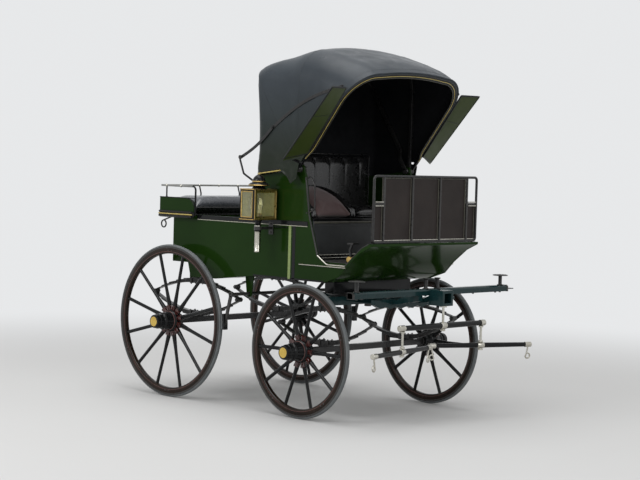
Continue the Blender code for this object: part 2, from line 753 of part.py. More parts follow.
def make_ring(name, bottom, finish):
    inner, top = RING_RADIUS - RING_WIDTH, bottom + RING_THICKNESS
    section = [(inner, bottom), (RING_RADIUS, bottom), (RING_RADIUS, top), (inner, top)]
    return make_turned(name, section, (0, 0, 0), "Z", RING_FACETS, finish)


def build_top_bed(upper_ring, root):
    """The upper ring and the cross timber that bolts it to the body's floor."""
    ring = make_ring("top_bed", upper_ring, "black_iron")
    top = BODY_FRONT_BOTTOM_Z - GAP
    half = BED_WIDTH / 2
    timber_y, timber_z = (-TOP_BED_HALF_SPAN, TOP_BED_HALF_SPAN), (upper_ring + BITE, top)
    timber = make_box("timber", (-half, half), timber_y, timber_z, "black_iron")
    combine(ring, [timber])
    hole = KINGBOLT_RADIUS + KINGBOLT_CLEARANCE
    cutter = make_pin("hole", (0, 0, 0), "Z", upper_ring - 0.05, top + 0.05, hole, 16, "black_iron")
    combine(ring, [cutter], "DIFFERENCE")
    mount_piece(ring, root)


def build_kingbolt(bed_bottom, root):
    """The pin that the whole turntable turns about, with its nut under the bed."""
    top = BODY_FRONT_BOTTOM_Z - 2 * GAP
    nut_top = bed_bottom - GAP
    nut_bottom = nut_top - KINGBOLT_NUT_HEIGHT
    profile = [(0, nut_bottom), (KINGBOLT_NUT_RADIUS, nut_bottom), (KINGBOLT_NUT_RADIUS, nut_top)]
    profile += [(KINGBOLT_RADIUS, nut_top), (KINGBOLT_RADIUS, top), (0, top)]
    mount_piece(make_turned("kingbolt", profile, (0, 0, 0), "Z", PIN_FACETS, "black_iron"), root)


def build_splinter_bar(joint):
    """The bar that the horses pull by, with its roller bolts: the near outer one is capped by a tread."""
    half = SPLINTER_BAR_THICKNESS / 2
    bottom, top = SPLINTER_BAR_BOTTOM_Z, SPLINTER_BAR_BOTTOM_Z + SPLINTER_BAR_DEPTH
    back, front, chamfer = SPLINTER_BAR_X - half, SPLINTER_BAR_X + half, SPLINTER_BAR_CHAMFER
    section = [(back, bottom), (front, bottom), (front, top - chamfer), (front - chamfer, top), (back, top)]
    reach = SPLINTER_BAR_HALF_SPAN
    bar = make_prism("splinter_bar", section, -reach, reach, "Y", "teal_paint")
    pieces = []
    inner, outer = ROLLER_BOLT_SPREADS
    caps = {
        -outer: TREAD_CAP_RADIUS,
        -inner: ROLLER_CAP_RADIUS,
        inner: ROLLER_CAP_RADIUS,
        outer: ROLLER_CAP_RADIUS,
    }
    for y, cap in caps.items():
        high = ROLLER_BOLT_HEIGHT
        under = high - ROLLER_CAP_THICKNESS
        profile = [(0, -BITE), (ROLLER_BOLT_RADIUS, -BITE), (ROLLER_BOLT_RADIUS, under - 0.002), (cap, under)]
        profile += [(cap, high), (0, high)]
        pieces.append(make_turned("roller", profile, (SPLINTER_BAR_X, y, top), "Z", 12, "black_iron"))
    tip_x = (SPLINTER_BAR_X - TIP_WIDTH / 2, SPLINTER_BAR_X + TIP_WIDTH / 2)
    tip_y, tip_z = (reach - BITE, reach + TIP_LENGTH), (bottom + 0.014, bottom + 0.014 + TIP_THICKNESS)
    pieces.append(make_box("tip", tip_x, tip_y, tip_z, "black_iron"))
    mount_piece(combine(bar, pieces), joint)


def pole_socket_levels():
    rear = SPLINTER_BAR_X + SPLINTER_BAR_THICKNESS / 2 + GAP
    top = SPLINTER_BAR_BOTTOM_Z + SPLINTER_BAR_DEPTH - POLE_SOCKET_SETDOWN
    return rear, rear + POLE_SOCKET_LENGTH, top - POLE_SOCKET_DEPTH, top


def build_pole_socket(joint):
    """A square iron socket on the front of the splinter bar, open at its front for a pole."""
    rear, front, bottom, top = pole_socket_levels()
    width = POLE_SOCKET_HALF_WIDTH
    socket = make_box("pole_socket", (rear, front), (-width, width), (bottom, top), "teal_paint")
    middle = (bottom + top) / 2
    hole, deep = POLE_HOLE_HALF_WIDTH, POLE_HOLE_DEPTH / 2
    hole_x, hole_z = (rear + POLE_SOCKET_BACK, front + 0.05), (middle - deep, middle + deep)
    cutter = make_box("hole", hole_x, (-hole, hole), hole_z, "black_iron")
    combine(socket, [cutter], "DIFFERENCE")
    centre = (front - POLE_KNOB_SETBACK, 0, middle)
    knob_y = (width - BITE, width + POLE_KNOB_LENGTH)
    knob = make_pin("knob", centre, "Y", *knob_y, POLE_KNOB_RADIUS, 8, "black_iron")
    mount_piece(combine(socket, [knob]), joint)


def make_collared_pin(name, centre, radius, collars):
    """An upright pin with a nut or collar at each (low, high, radius): the outer two are at its ends."""
    profile = [(0, collars[0][0])]
    for low, high, wide in collars:
        profile += [(radius, low), (wide, low), (wide, high), (radius, high)]
    profile = [profile[0], *profile[2:-1], (0, collars[-1][1])]
    return make_turned(name, profile, centre, "Z", PIN_FACETS, "nickel")


# Swingletrees: the main tree hangs under the pole socket and carries a single tree for each horse
def make_bar_profile(half_span, radius):
    """A bar that swells at its middle and at its ends, where the ferrules are."""
    band = radius + FERRULE_WALL
    side = [(band, 0.0), (band, FERRULE_LENGTH / 2), (radius, FERRULE_LENGTH / 2 + 0.002)]
    side += [(radius * 0.86, half_span - FERRULE_LENGTH), (radius * 0.98, half_span - FERRULE_LENGTH + 0.002)]
    side += [(radius * 0.98, half_span), (0.0, half_span)]
    return [(r, -d) for r, d in reversed(side[1:])] + side[1:]


def build_trees(turntable):
    _, _, socket_bottom, _ = pole_socket_levels()
    pin_top = socket_bottom - GAP
    band = MAIN_TREE_RADIUS + FERRULE_WALL
    collars = [(MAIN_TREE_Z - band - GAP - TREE_NUT_HEIGHT, MAIN_TREE_Z - band - GAP, TREE_NUT_RADIUS)]
    collars.append((pin_top - TREE_PLATE_HEIGHT, pin_top, TREE_PLATE_RADIUS))
    bolt = make_collared_pin("tree_bolt", (TREE_X, 0, 0), TREE_PIN_RADIUS, collars)
    mount_piece(bolt, turntable)

    main_joint = make_joint("main_tree_axis", (TREE_X, 0.0, MAIN_TREE_Z), turntable)
    profile = make_bar_profile(MAIN_TREE_HALF_SPAN, MAIN_TREE_RADIUS)
    main = make_turned("main_swingletree", profile, (TREE_X, 0, MAIN_TREE_Z), "Y", 8, "black_paint")
    hole = TREE_PIN_RADIUS + TREE_PIN_CLEARANCE
    cutters = [make_pin("hole", (TREE_X, 0, MAIN_TREE_Z), "Z", -0.1, 0.1, hole, 12, "nickel")]
    combine(main, cutters, "DIFFERENCE")
    mount_piece(main, main_joint)
    for side, turn in ((RIGHT, RIGHT_TREE_TURN), (LEFT, LEFT_TREE_TURN)):
        build_single_tree(side, turn, main_joint)


def build_single_tree(side, turn, main_joint):
    """A single tree on its link, turned about the link as the photograph shows it."""
    y = side * SINGLE_TREE_SPREAD
    word = side_word(side)
    band = SINGLE_TREE_RADIUS + FERRULE_WALL
    nut_top = SINGLE_TREE_Z - band - GAP
    link_top = MAIN_TREE_Z - MAIN_TREE_RADIUS - GAP
    shoulder = SINGLE_TREE_Z + band + GAP
    collars = [(nut_top - TREE_NUT_HEIGHT, nut_top, TREE_NUT_RADIUS)]
    collars.append((shoulder, shoulder + TREE_NUT_HEIGHT, TREE_NUT_RADIUS))
    collars.append((link_top - TREE_PLATE_HEIGHT, link_top, TREE_NUT_RADIUS))
    link = make_collared_pin(f"tree_link_{word}", (TREE_X, y, 0), TREE_PIN_RADIUS, collars)
    mount_piece(link, main_joint)

    joint = make_joint(f"single_tree_{word}_axis", (TREE_X, y, SINGLE_TREE_Z), main_joint)
    profile = make_bar_profile(SINGLE_TREE_HALF_SPAN, SINGLE_TREE_RADIUS)
    tree = make_turned(f"single_tree_{word}", profile, (0, 0, 0), "Y", 8, "black_paint")
    hooks = []
    for end in (-1, 1):
        hooks.append(make_trace_hook(end * (SINGLE_TREE_HALF_SPAN - FERRULE_LENGTH / 2), end))
    combine(tree, hooks)
    hole = TREE_PIN_RADIUS + TREE_PIN_CLEARANCE
    combine(tree, [make_pin("hole", (0, 0, 0), "Z", -0.1, 0.1, hole, 12, "nickel")], "DIFFERENCE")
    place = Matrix.Translation((TREE_X, y, SINGLE_TREE_Z))
    tree.data.transform(place @ Matrix.Rotation(-math.radians(turn), 4, "Z"))
    mount_piece(tree, joint)


def make_trace_hook(y, end):
    """The cock eye for a trace: an iron that drops from the ferrule and curls back on itself."""
    drop = -TRACE_HOOK_DROP + 0.020
    path = [(0, y, 0), (0, y, -0.030), (0, y - end * 0.010, drop + 0.010)]
    curl = arc((y, drop), 0.018, 200 if end > 0 else -20, 470 if end > 0 else -290, 8)
    path += [(0, b, c) for b, c in curl]
    return make_tube("hook", path, TRACE_HOOK_RADIUS, 5, "nickel")


# Body: two sides on a floor, with the panels, deck and toe board between them
def toe_nose():
    """The blunt front end of the toe board, with a level seat on it for the dash."""
    front, rear = DASH_X + DASH_SEAT / 2, DASH_X - DASH_SEAT / 2
    return [(front, TOE_TOP_Z - TOE_NOSE), (front, TOE_TOP_Z), (rear, TOE_TOP_Z), TOE_BEND]


def body_side_outline():
    outline = [(BODY_REAR_X, NOTCH_Z), (NOTCH_X, NOTCH_Z), (NOTCH_X + 0.030, BODY_REAR_BOTTOM_Z)]
    outline += [(RISE_START_X, BODY_REAR_BOTTOM_Z), (RISE_END_X, BODY_FRONT_BOTTOM_Z)]
    outline += [(FRONT_BOTTOM_X, BODY_FRONT_BOTTOM_Z), *BOOT_CURVE]
    outline += [*toe_nose(), TOE_RISE, (SILL_FRONT_X, SILL_Z), (SILL_REAR_X, SILL_Z)]
    outline += [(PILLAR_FOOT_X, PILLAR_FOOT_Z), (PILLAR_WAIST_X, PILLAR_WAIST_Z)]
    outline += [(PILLAR_TOP_X, SEAT_SIDE_TOP_Z), (HOOD_PIVOT_X + EAR_RADIUS, HOOD_PIVOT_Z)]
    outline += arc((HOOD_PIVOT_X, HOOD_PIVOT_Z), EAR_RADIUS, 30, 150, 4)
    outline += [(HOOD_PIVOT_X - EAR_RADIUS, HOOD_PIVOT_Z), (HOOD_PIVOT_X - EAR_RADIUS * 1.6, SEAT_SIDE_TOP_Z)]
    outline += [(BACK_FOOT_X, SEAT_SIDE_TOP_Z), (WELL_FRONT_X, BODY_TOP_Z)]
    outline += [(REAR_SEAT_FRONT_X + GAP, BODY_TOP_Z), (REAR_SEAT_FRONT_X + GAP, REAR_SEAT_BOTTOM_Z)]
    return outline + [(BODY_REAR_X, REAR_SEAT_BOTTOM_Z)]


def build_body_side(side, root):
    """A side with the pin of the hood's hinge, the prop for its joint iron and a grab iron on the pillar."""
    inner, outer = BODY_HALF_WIDTH - PANEL, BODY_HALF_WIDTH
    y = span(side * inner, side * outer)
    panel = make_prism(f"body_side_{side_word(side)}", body_side_outline(), y[0], y[1], "Y", "green_paint")
    pin = span(side * (inner - PIVOT_PIN_INWARD), side * (HOOD_HALF_WIDTH + PIVOT_PIN_OUTWARD))
    pivot = (HOOD_PIVOT_X, 0, HOOD_PIVOT_Z)
    pieces = [make_pin("pin", pivot, "Y", pin[0], pin[1], PIVOT_PIN_RADIUS, 12, "black_iron")]
    root_y, iron_y = side * (outer - 0.008), side * (prop_face() + PROP_RADIUS)
    prop = [(-0.545, root_y, 1.600), (-0.600, side * (outer + 0.012), 1.605), (-0.660, iron_y, 1.660)]
    prop += [(PROP_X, iron_y, PROP_Z - 0.020), (PROP_X, iron_y, PROP_Z)]
    prop = make_tube("prop", round_corners(prop, 0.020, 2), PROP_RADIUS, 6, "black_iron")
    boss = span(iron_y - PROP_RADIUS, iron_y + PROP_RADIUS)
    boss = make_pin("boss", (PROP_X, 0, PROP_Z), "Y", *boss, PROP_BOSS_RADIUS, 10, "black_iron")
    grab = [(x, root_y, z) for x, z in GRAB_PATH]
    grab = make_tube("grab", round_corners(grab, 0.022, 2), GRAB_RADIUS, 5, "black_iron")
    mount_piece(combine(panel, [*pieces, prop, boss, grab]), root)


def prop_face():
    """How far out the prop stands: outside the lower joint iron, which is outside the upper one."""
    return HOOD_HALF_WIDTH + 2 * IRON_THICKNESS + 3 * GAP


def build_floor(root):
    """The bottom boards follow the lower edge of the sides. They carry the spring blocks and brake hangers."""
    deep = PANEL
    rear = BODY_REAR_X + GAP
    bottom = [(rear, NOTCH_Z), (NOTCH_X, NOTCH_Z), (NOTCH_X + 0.030, BODY_REAR_BOTTOM_Z)]
    bottom += [(RISE_START_X, BODY_REAR_BOTTOM_Z), (RISE_END_X, BODY_FRONT_BOTTOM_Z)]
    bottom += [(FRONT_BOTTOM_X - 0.020, BODY_FRONT_BOTTOM_Z)]
    top = [(FRONT_BOTTOM_X - 0.020, BODY_FRONT_BOTTOM_Z + deep), (RISE_END_X, BODY_FRONT_BOTTOM_Z + deep)]
    top += [(RISE_START_X, BODY_REAR_BOTTOM_Z + deep), (NOTCH_X + 0.052, BODY_REAR_BOTTOM_Z + deep)]
    top += [(NOTCH_X + 0.022, NOTCH_Z + deep), (rear, NOTCH_Z + deep)]
    inside = BODY_HALF_WIDTH - PANEL - GAP
    floor = make_prism("body_floor", bottom + top, -inside, inside, "Y", "green_paint")
    pieces, cutters = [], []
    block_bottom = spring_top(REAR_SPRING_EYE_Z, REAR_SPRING_RISE) + GAP
    for side in (RIGHT, LEFT):
        y = side * SPRING_SPREAD
        block = (y - SPRING_BLOCK_WIDTH / 2, y + SPRING_BLOCK_WIDTH / 2)
        half = CLIP_LENGTH / 2
        x = (-WHEELBASE - half, -WHEELBASE + half)
        pieces.append(make_box("block", x, block, (block_bottom, NOTCH_Z + deep / 2), "green_paint"))
        low, high = span(side * HANGER_Y, side * (HANGER_Y - HANGER_THICKNESS))
        outline = arc((BRAKE_SHAFT_X, BRAKE_SHAFT_Z), HANGER_RADIUS, 180, 360, 8)
        outline += [(BRAKE_SHAFT_X + end * HANGER_FOOT / 2, BODY_FRONT_BOTTOM_Z) for end in (1, -1)]
        pieces.append(make_prism("hanger", outline, low, high, "Y", "green_paint"))
        hole, centre = BRAKE_SHAFT_RADIUS + BRAKE_SHAFT_CLEARANCE, (BRAKE_SHAFT_X, 0, BRAKE_SHAFT_Z)
        cutters.append(make_pin("hole", centre, "Y", low - 0.01, high + 0.01, hole, 12, "green_paint"))
    combine(floor, pieces)
    mount_piece(combine(floor, cutters, "DIFFERENCE"), root)


def build_panels(root):
    inside = BODY_HALF_WIDTH - PANEL - GAP
    wide = (-inside, inside)
    rear = (BODY_REAR_X + GAP, BODY_REAR_X + PANEL)
    rear_z = (NOTCH_Z + PANEL + GAP, REAR_SEAT_BOTTOM_Z - GAP)
    mount_piece(make_box("rear_panel", rear, wide, rear_z, "green_paint"), root)
    back = (WELL_FRONT_X, WELL_FRONT_X + PANEL)
    back_z = (BODY_FRONT_BOTTOM_Z + PANEL + GAP, SEAT_SIDE_TOP_Z)
    mount_piece(make_box("seat_back_panel", back, wide, back_z, "green_paint"), root)
    deck = (WELL_FRONT_X + PANEL + GAP, SEAT_FRONT_X)
    mount_piece(make_box("seat_deck", deck, wide, (SEAT_DECK_Z, SEAT_DECK_Z + PANEL), "black_paint"), root)
    fall = (SEAT_FRONT_X - PANEL, SEAT_FRONT_X - GAP)
    fall_z = (BODY_FRONT_BOTTOM_Z + PANEL + GAP, SEAT_DECK_Z - GAP)
    mount_piece(make_box("seat_fall", fall, wide, fall_z, "black_leather"), root)


def build_toe_board(root):
    """The front floor, the sloping toe board and the curved underside, as one bent board."""
    inside = BODY_HALF_WIDTH - PANEL - GAP
    start = FRONT_BOTTOM_X - 0.020 + GAP
    outline = [(start, BODY_FRONT_BOTTOM_Z), (FRONT_BOTTOM_X, BODY_FRONT_BOTTOM_Z), *BOOT_CURVE]
    outline += [*toe_nose(), MAT_RISE, (FLOOR_FRONT_X, FRONT_FLOOR_Z), (SEAT_FRONT_X, FRONT_FLOOR_Z)]
    outline += [(SEAT_FRONT_X, FRONT_FLOOR_Z - PANEL), (0.275, FRONT_FLOOR_Z - PANEL), (0.215, 1.004)]
    outline += [(start, BODY_FRONT_BOTTOM_Z + PANEL)]
    board = make_prism("toe_board", outline, -inside, inside, "Y", "black_paint")
    mount_piece(board, root)


# Rear seat
def build_rear_seat(root):
    """An open-fronted box on the body's rear end, with a scrolled iron under each back corner."""
    back, front = REAR_SEAT_BACK_X, REAR_SEAT_FRONT_X
    wide, low, high = REAR_SEAT_HALF_WIDTH, REAR_SEAT_BOTTOM_Z + GAP, REAR_SEAT_TOP_Z
    frame = make_box("rear_seat_frame", (back, front), (-wide, wide), (low, high), "green_paint")
    hollow = (-wide + PANEL, wide - PANEL)
    cutter = make_box("hollow", (back + PANEL, front + 0.1), hollow, (low + PANEL, high + 0.1), "green_paint")
    combine(frame, [cutter], "DIFFERENCE")
    scrolls = []
    for side in (RIGHT, LEFT):
        y = side * (wide - 0.030)
        centre = (back + 0.016, low - 0.052)
        curl = arc(centre, SCROLL_RADIUS, 110, 430, 9)
        path = [(back + 0.106, y, low + 0.008)]
        path += [(x, y, z) for x, z in curl]
        scrolls.append(make_tube("scroll", path, SCROLL_IRON_RADIUS, 6, "black_iron"))
    mount_piece(combine(frame, scrolls), root)

    build_cushion(
        "rear_cushion",
        (back + PANEL + GAP, REAR_CUSHION_FRONT_X),
        (-wide + PANEL + 3 * GAP, wide - PANEL - 3 * GAP),
        low + PANEL + GAP,
        lambda x, y: REAR_CUSHION_HEIGHT,
        (6, 16),
        "black_leather",
        root,
    )
    build_rear_rail(root)


def build_rear_rail(root):
    """A round iron rail round three sides of the seat, its front ends brought down to the box."""
    back, front = REAR_SEAT_BACK_X - RAIL_INSET, REAR_SEAT_FRONT_X + RAIL_RADIUS + GAP
    y = REAR_SEAT_HALF_WIDTH - PANEL / 2
    foot = REAR_SEAT_BOTTOM_Z + 0.02
    path = [(front, -y, foot), (front, -y, RAIL_Z), (back, -y, RAIL_Z)]
    path += [(x, -side_y, z) for x, side_y, z in reversed(path)]
    rail = make_tube("rear_rail", round_corners(path, 0.030, 3), RAIL_RADIUS, 6, "black_iron")
    posts = []
    post_x = back + RAIL_INSET + PANEL / 2
    spots = [(post_x, post_y) for post_y in RAIL_POSTS_BACK]
    spots += [(post_x + RAIL_SIDE_POST_SETBACK, -y), (post_x + RAIL_SIDE_POST_SETBACK, y)]
    for x, post_y in spots:
        lean = back if abs(post_y) < y else x
        path = [(x, post_y, REAR_SEAT_TOP_Z + GAP), (x, post_y, REAR_SEAT_TOP_Z + RAIL_POST_FOOT)]
        path += [(lean, post_y, RAIL_Z)]
        posts.append(make_tube("post", path, RAIL_RADIUS * 0.8, 6, "black_iron"))
    mount_piece(combine(rail, posts), root)


# Cushions: a crowned top over drawn-in sides, flat where the cushion rests
def build_cushion(name, x_span, y_span, bottom, height, counts, finish, joint, channels=None):
    rows, columns = counts
    vertices, top_index, low_index = [], {}, {}
    for row in range(rows + 1):
        for column in range(columns + 1):
            u, v = 2 * row / rows - 1, 2 * column / columns - 1
            edge = row in (0, rows) or column in (0, columns)
            x = mix(x_span[0], x_span[1], (round_out(u, rows) + 1) / 2)
            y = mix(y_span[0], y_span[1], (round_out(v, columns) + 1) / 2)
            if row in (0, rows):
                x -= math.copysign(CUSHION_DRAW * (1 - v**4), u)
            if column in (0, columns):
                y -= math.copysign(CUSHION_DRAW * (1 - u**4), v)
            tall = height(x, y)
            seam = bottom + SEAM_SHARE * min(tall, SEAM_TOP_HEIGHT)
            dome = ((1 - abs(u) ** CROWN_POWER) * (1 - abs(v) ** CROWN_POWER)) ** 0.45
            dip = channels(u, v) if channels and not edge else 0.0
            top_index[row, column] = len(vertices)
            vertices.append((x, y, seam + (bottom + tall - seam) * dome - dip))
            if edge:
                low_index[row, column] = top_index[row, column]
            else:
                low_index[row, column] = len(vertices)
                vertices.append((x, y, bottom))
    faces = []
    for row in range(rows):
        for column in range(columns):
            corners = [(row, column), (row + 1, column), (row + 1, column + 1), (row, column + 1)]
            faces.append([top_index[corner] for corner in corners])
            faces.append([low_index[corner] for corner in reversed(corners)])
    cushion = make_solid(name, vertices, faces, finish)
    if joint is not None:
        mount_piece(cushion, joint)
    return cushion


def mix(first, second, share):
    return first + (second - first) * share


def round_out(value, count):
    """Moves the rows next to an edge closer to it, so that the edge rolls over tightly."""
    near = 1 - 2 / count
    if abs(abs(value) - near) > 1e-6:
        return value
    return math.copysign(near + (1 - near) * EDGE_ROLL, value)


def build_front_cushions(root):
    inside = BODY_HALF_WIDTH - PANEL - 3 * GAP
    deck = SEAT_DECK_Z + PANEL + GAP
    back = SQUAB_BACK_X + SQUAB_THICKNESS + GAP
    front = SEAT_FRONT_X - CUSHION_SETBACK
    build_cushion(
        "front_cushion",
        (back, front),
        (CUSHION_SPLIT_Y + CUSHION_PARTING / 2, inside),
        deck,
        lambda x, y: CUSHION_HEIGHT,
        (9, 10),
        "black_leather",
        root,
    )

    def wedge(x, y):
        share = (x - back) / (front - back)
        return mix(WEDGE_REAR_HEIGHT, WEDGE_FRONT_HEIGHT, min(max(share, 0.0), 1.0) ** WEDGE_ROUND)

    build_cushion(
        "wedge_cushion",
        (back, front),
        (-inside, CUSHION_SPLIT_Y - CUSHION_PARTING / 2),
        deck,
        wedge,
        (10, 9),
        "seat_cloth",
        root,
    )


def build_squab(root):
    """The padded back: its upper half is sewn into upright rolls. It is made lying down and stood up."""
    inside = BODY_HALF_WIDTH - PANEL - 3 * GAP
    bottom = SEAT_DECK_Z + PANEL + GAP
    tall = SQUAB_TOP_Z - bottom

    def channels(u, v):
        upper = max(0.0, min(1.0, (u + 0.1) * 3))
        return SQUAB_CHANNEL_DEPTH * abs(math.sin(math.pi * SQUAB_ROLLS * v / 2)) ** 6 * upper

    squab = build_cushion(
        "back_squab",
        (0.0, tall),
        (-inside, inside),
        0.0,
        lambda x, y: SQUAB_THICKNESS,
        (8, 21),
        "black_leather",
        None,
        channels,
    )
    stand = Matrix(((0, 0, 1, SQUAB_BACK_X), (0, -1, 0, 0), (1, 0, 0, bottom), (0, 0, 0, 1)))
    squab.data.transform(stand)
    mount_piece(squab, root)


# Dash
def build_dash(root):
    """A frame of round iron with a leather panel behind it, open in its upper side bays."""
    tube, x = DASH_TUBE_RADIUS, DASH_X
    low, high, wide = TOE_TOP_Z + GAP + tube, DASH_TOP_Z - tube, DASH_HALF_WIDTH - tube
    loop = [(x, 0.0, low), (x, wide, low), (x, wide, high), (x, -wide, high)]
    loop += [(x, -wide, low), (x, 0.0, low)]
    loop = round_corners(loop, DASH_CORNER, 3)[1:]
    frame = make_tube("dash_frame", loop, tube, 6, "black_iron", closed=True)
    pieces = []
    for y in (-DASH_PANEL_HALF_WIDTH, -DASH_INNER_UPRIGHT, DASH_INNER_UPRIGHT, DASH_PANEL_HALF_WIDTH):
        pieces.append(make_tube("upright", [(x, y, low), (x, y, high)], tube * 0.85, 6, "black_iron"))
    for side in (RIGHT, LEFT):
        start = side * (DASH_PANEL_HALF_WIDTH - tube / 3)
        path = [(x, start, DASH_CROSS_BAR_Z), (x, side * wide, DASH_CROSS_BAR_Z)]
        pieces.append(make_tube("cross_bar", path, tube * 0.8, 6, "black_iron"))
    mount_piece(combine(frame, pieces), root)

    inner, outer = DASH_PANEL_HALF_WIDTH, DASH_HALF_WIDTH - tube
    bottom, top, step = TOE_TOP_Z + GAP + 0.004, DASH_TOP_Z - tube, DASH_CROSS_BAR_Z
    outline = [(-outer, bottom), (outer, bottom), (outer, step), (inner, step), (inner, top)]
    outline += [(-inner, top), (-inner, step), (-outer, step)]
    back = DASH_X - tube - GAP - DASH_LEATHER_THICKNESS
    leather = make_prism("dash_leather", outline, back, back + DASH_LEATHER_THICKNESS, "X", "dash_leather")
    mount_piece(leather, root)


# Hood: ribs in planes that all pass through the hinge, at an angle above the forward horizontal
def rib_outline(reach, half_width, corner, arch, start, steps=4):
    """Half-round-cornered arch in (sideways, outwards from the hinge), from the right foot to the left."""
    points = [(-half_width, start)]
    level = reach - arch - corner
    points += arc((corner - half_width, level), corner, 180, 90, steps)
    flat = half_width - corner
    for share in (0.25, 0.5, 0.75):
        points.append((flat * (2 * share - 1), reach - arch * (2 * share - 1) ** 2))
    return points + [(-y, s) for y, s in reversed(points[: steps + 2])]


def rib_shape(angle):
    """(reach, corner, arch) of the leather's outside at an angle, over the three bows and down the back."""
    if angle <= REAR_BOW_ANGLE:
        stops = [FRONT_BOW_ANGLE, MID_BOW_ANGLE, REAR_BOW_ANGLE]
        reaches = [FRONT_BOW_REACH, MID_BOW_REACH, REAR_BOW_REACH]
        corners = [FRONT_BOW_CORNER, MID_BOW_CORNER, REAR_BOW_CORNER]
        first = 0 if angle <= MID_BOW_ANGLE else 1
        share = (angle - stops[first]) / (stops[first + 1] - stops[first])
        share = min(max(share, 0.0), 1.0)
        ease = share * share * (3 - 2 * share)
        reach = mix(reaches[first], reaches[first + 1], ease) - HOOD_SAG * math.sin(math.pi * share) ** 2
        return reach, mix(corners[first], corners[first + 1], ease), HOOD_ARCH
    top = REAR_BOW_ANGLE + bow_half_angle()
    if angle <= top:
        return REAR_BOW_REACH, REAR_BOW_CORNER, HOOD_ARCH
    turn = math.radians(top)
    top_x = HOOD_PIVOT_X + REAR_BOW_REACH * math.cos(turn)
    top_z = HOOD_PIVOT_Z + REAR_BOW_REACH * math.sin(turn)
    lean = (top_x - BACK_FOOT_X) / (top_z - HOOD_PIVOT_Z)
    turn = math.radians(angle)
    reach = (BACK_FOOT_X - HOOD_PIVOT_X) / (math.cos(turn) - lean * math.sin(turn))
    share = min((angle - top) / (180 - top), 1.0)
    return reach, mix(REAR_BOW_CORNER, BACK_CORNER, share), HOOD_ARCH * (1 - share)


def bow_half_angle():
    """Degrees at the hinge, a little over half a bow's thickness: the leather lies level over each bow."""
    return math.degrees(math.atan(BOW_THICKNESS / 2 / (MID_BOW_REACH - 3 * BOW_DEPTH)))


def rib_point(angle, y, outwards, normal=0.0):
    """A point in a rib's plane, or off it along the plane's normal, which points rearwards."""
    turn = math.radians(angle)
    x = HOOD_PIVOT_X + outwards * math.cos(turn) - normal * math.sin(turn)
    return (x, y, HOOD_PIVOT_Z + outwards * math.sin(turn) + normal * math.cos(turn))


def build_hood_leather(name, angles, joint):
    """A closed skin between the outside and the inside of the leather, over a range of rib angles."""
    outer_rows, inner_rows = [], []
    for angle in angles:
        reach, corner, arch = rib_shape(angle)
        start = min(LEATHER_START, reach - arch - corner - 0.02)
        outer = rib_outline(reach, HOOD_HALF_WIDTH, corner, arch, start)
        inner = rib_outline(reach - LEATHER, HOOD_HALF_WIDTH - LEATHER, corner - LEATHER, arch, start)
        outer_rows.append([rib_point(angle, y, s) for y, s in outer])
        inner_rows.append([rib_point(angle, y, s) for y, s in inner])
    across, along = len(outer_rows[0]), len(angles)
    vertices = [point for row in outer_rows + inner_rows for point in row]
    inside = across * along
    faces = []
    for row in range(along - 1):
        for column in range(across - 1):
            a, b = row * across + column, (row + 1) * across + column
            faces.append([a, a + 1, b + 1, b])
            faces.append([inside + b, inside + b + 1, inside + a + 1, inside + a])
        for column in (0, across - 1):
            a, b = row * across + column, (row + 1) * across + column
            faces.append([a, b, inside + b, inside + a])
    for row in (0, along - 1):
        for column in range(across - 1):
            a = row * across + column
            faces.append([a, a + 1, inside + a + 1, inside + a])
    mount_piece(make_solid(name, vertices, faces, "hood_leather"), joint)


def build_bow(name, angle, depth, foot, joint):
    """A bow under the leather: its legs are set over at the foot, so that the feet stack on the hinge pin."""
    reach, corner, arch = rib_shape(angle)
    cover = LEATHER + 2 * GAP
    outer_wide, inner_wide = HOOD_HALF_WIDTH - cover, HOOD_HALF_WIDTH - cover - depth
    outer = rib_outline(reach - cover, outer_wide, corner - LEATHER, arch, BOW_SPLAY_END)
    inner = rib_outline(reach - cover - depth, inner_wide, corner - LEATHER - depth, arch, BOW_SPLAY_END)
    foot_in, foot_out = foot
    leg = [(foot_out, 0.0), (foot_out, BOW_SPLAY_START)]
    inner_leg = [(foot_in, 0.0), (foot_in, BOW_SPLAY_START)]
    outline = [(-y, s) for y, s in leg] + outer + leg[::-1] + inner_leg + inner[::-1]
    outline += [(-y, s) for y, s in inner_leg[::-1]]
    half = BOW_THICKNESS / 2
    count = len(outline)
    vertices = [rib_point(angle, y, s, face) for face in (-half, half) for y, s in outline]
    faces = [list(range(count)), list(range(2 * count - 1, count - 1, -1))]
    faces += [[i, (i + 1) % count, count + (i + 1) % count, count + i] for i in range(count)]
    bow = make_solid(name, vertices, faces, "black_iron")
    feet, cutters = [], []
    pivot = (HOOD_PIVOT_X, 0, HOOD_PIVOT_Z)
    for side in (RIGHT, LEFT):
        low, high = span(side * foot_in, side * foot_out)
        feet.append(make_pin("foot", pivot, "Y", low, high, BOW_FOOT_RADIUS, 16, "black_iron"))
        hole = make_pin("hole", pivot, "Y", low - 0.02, high + 0.02, PIVOT_HOLE_RADIUS, 12, "black_iron")
        cutters.append(hole)
    combine(bow, feet)
    mount_piece(combine(bow, cutters, "DIFFERENCE"), joint)


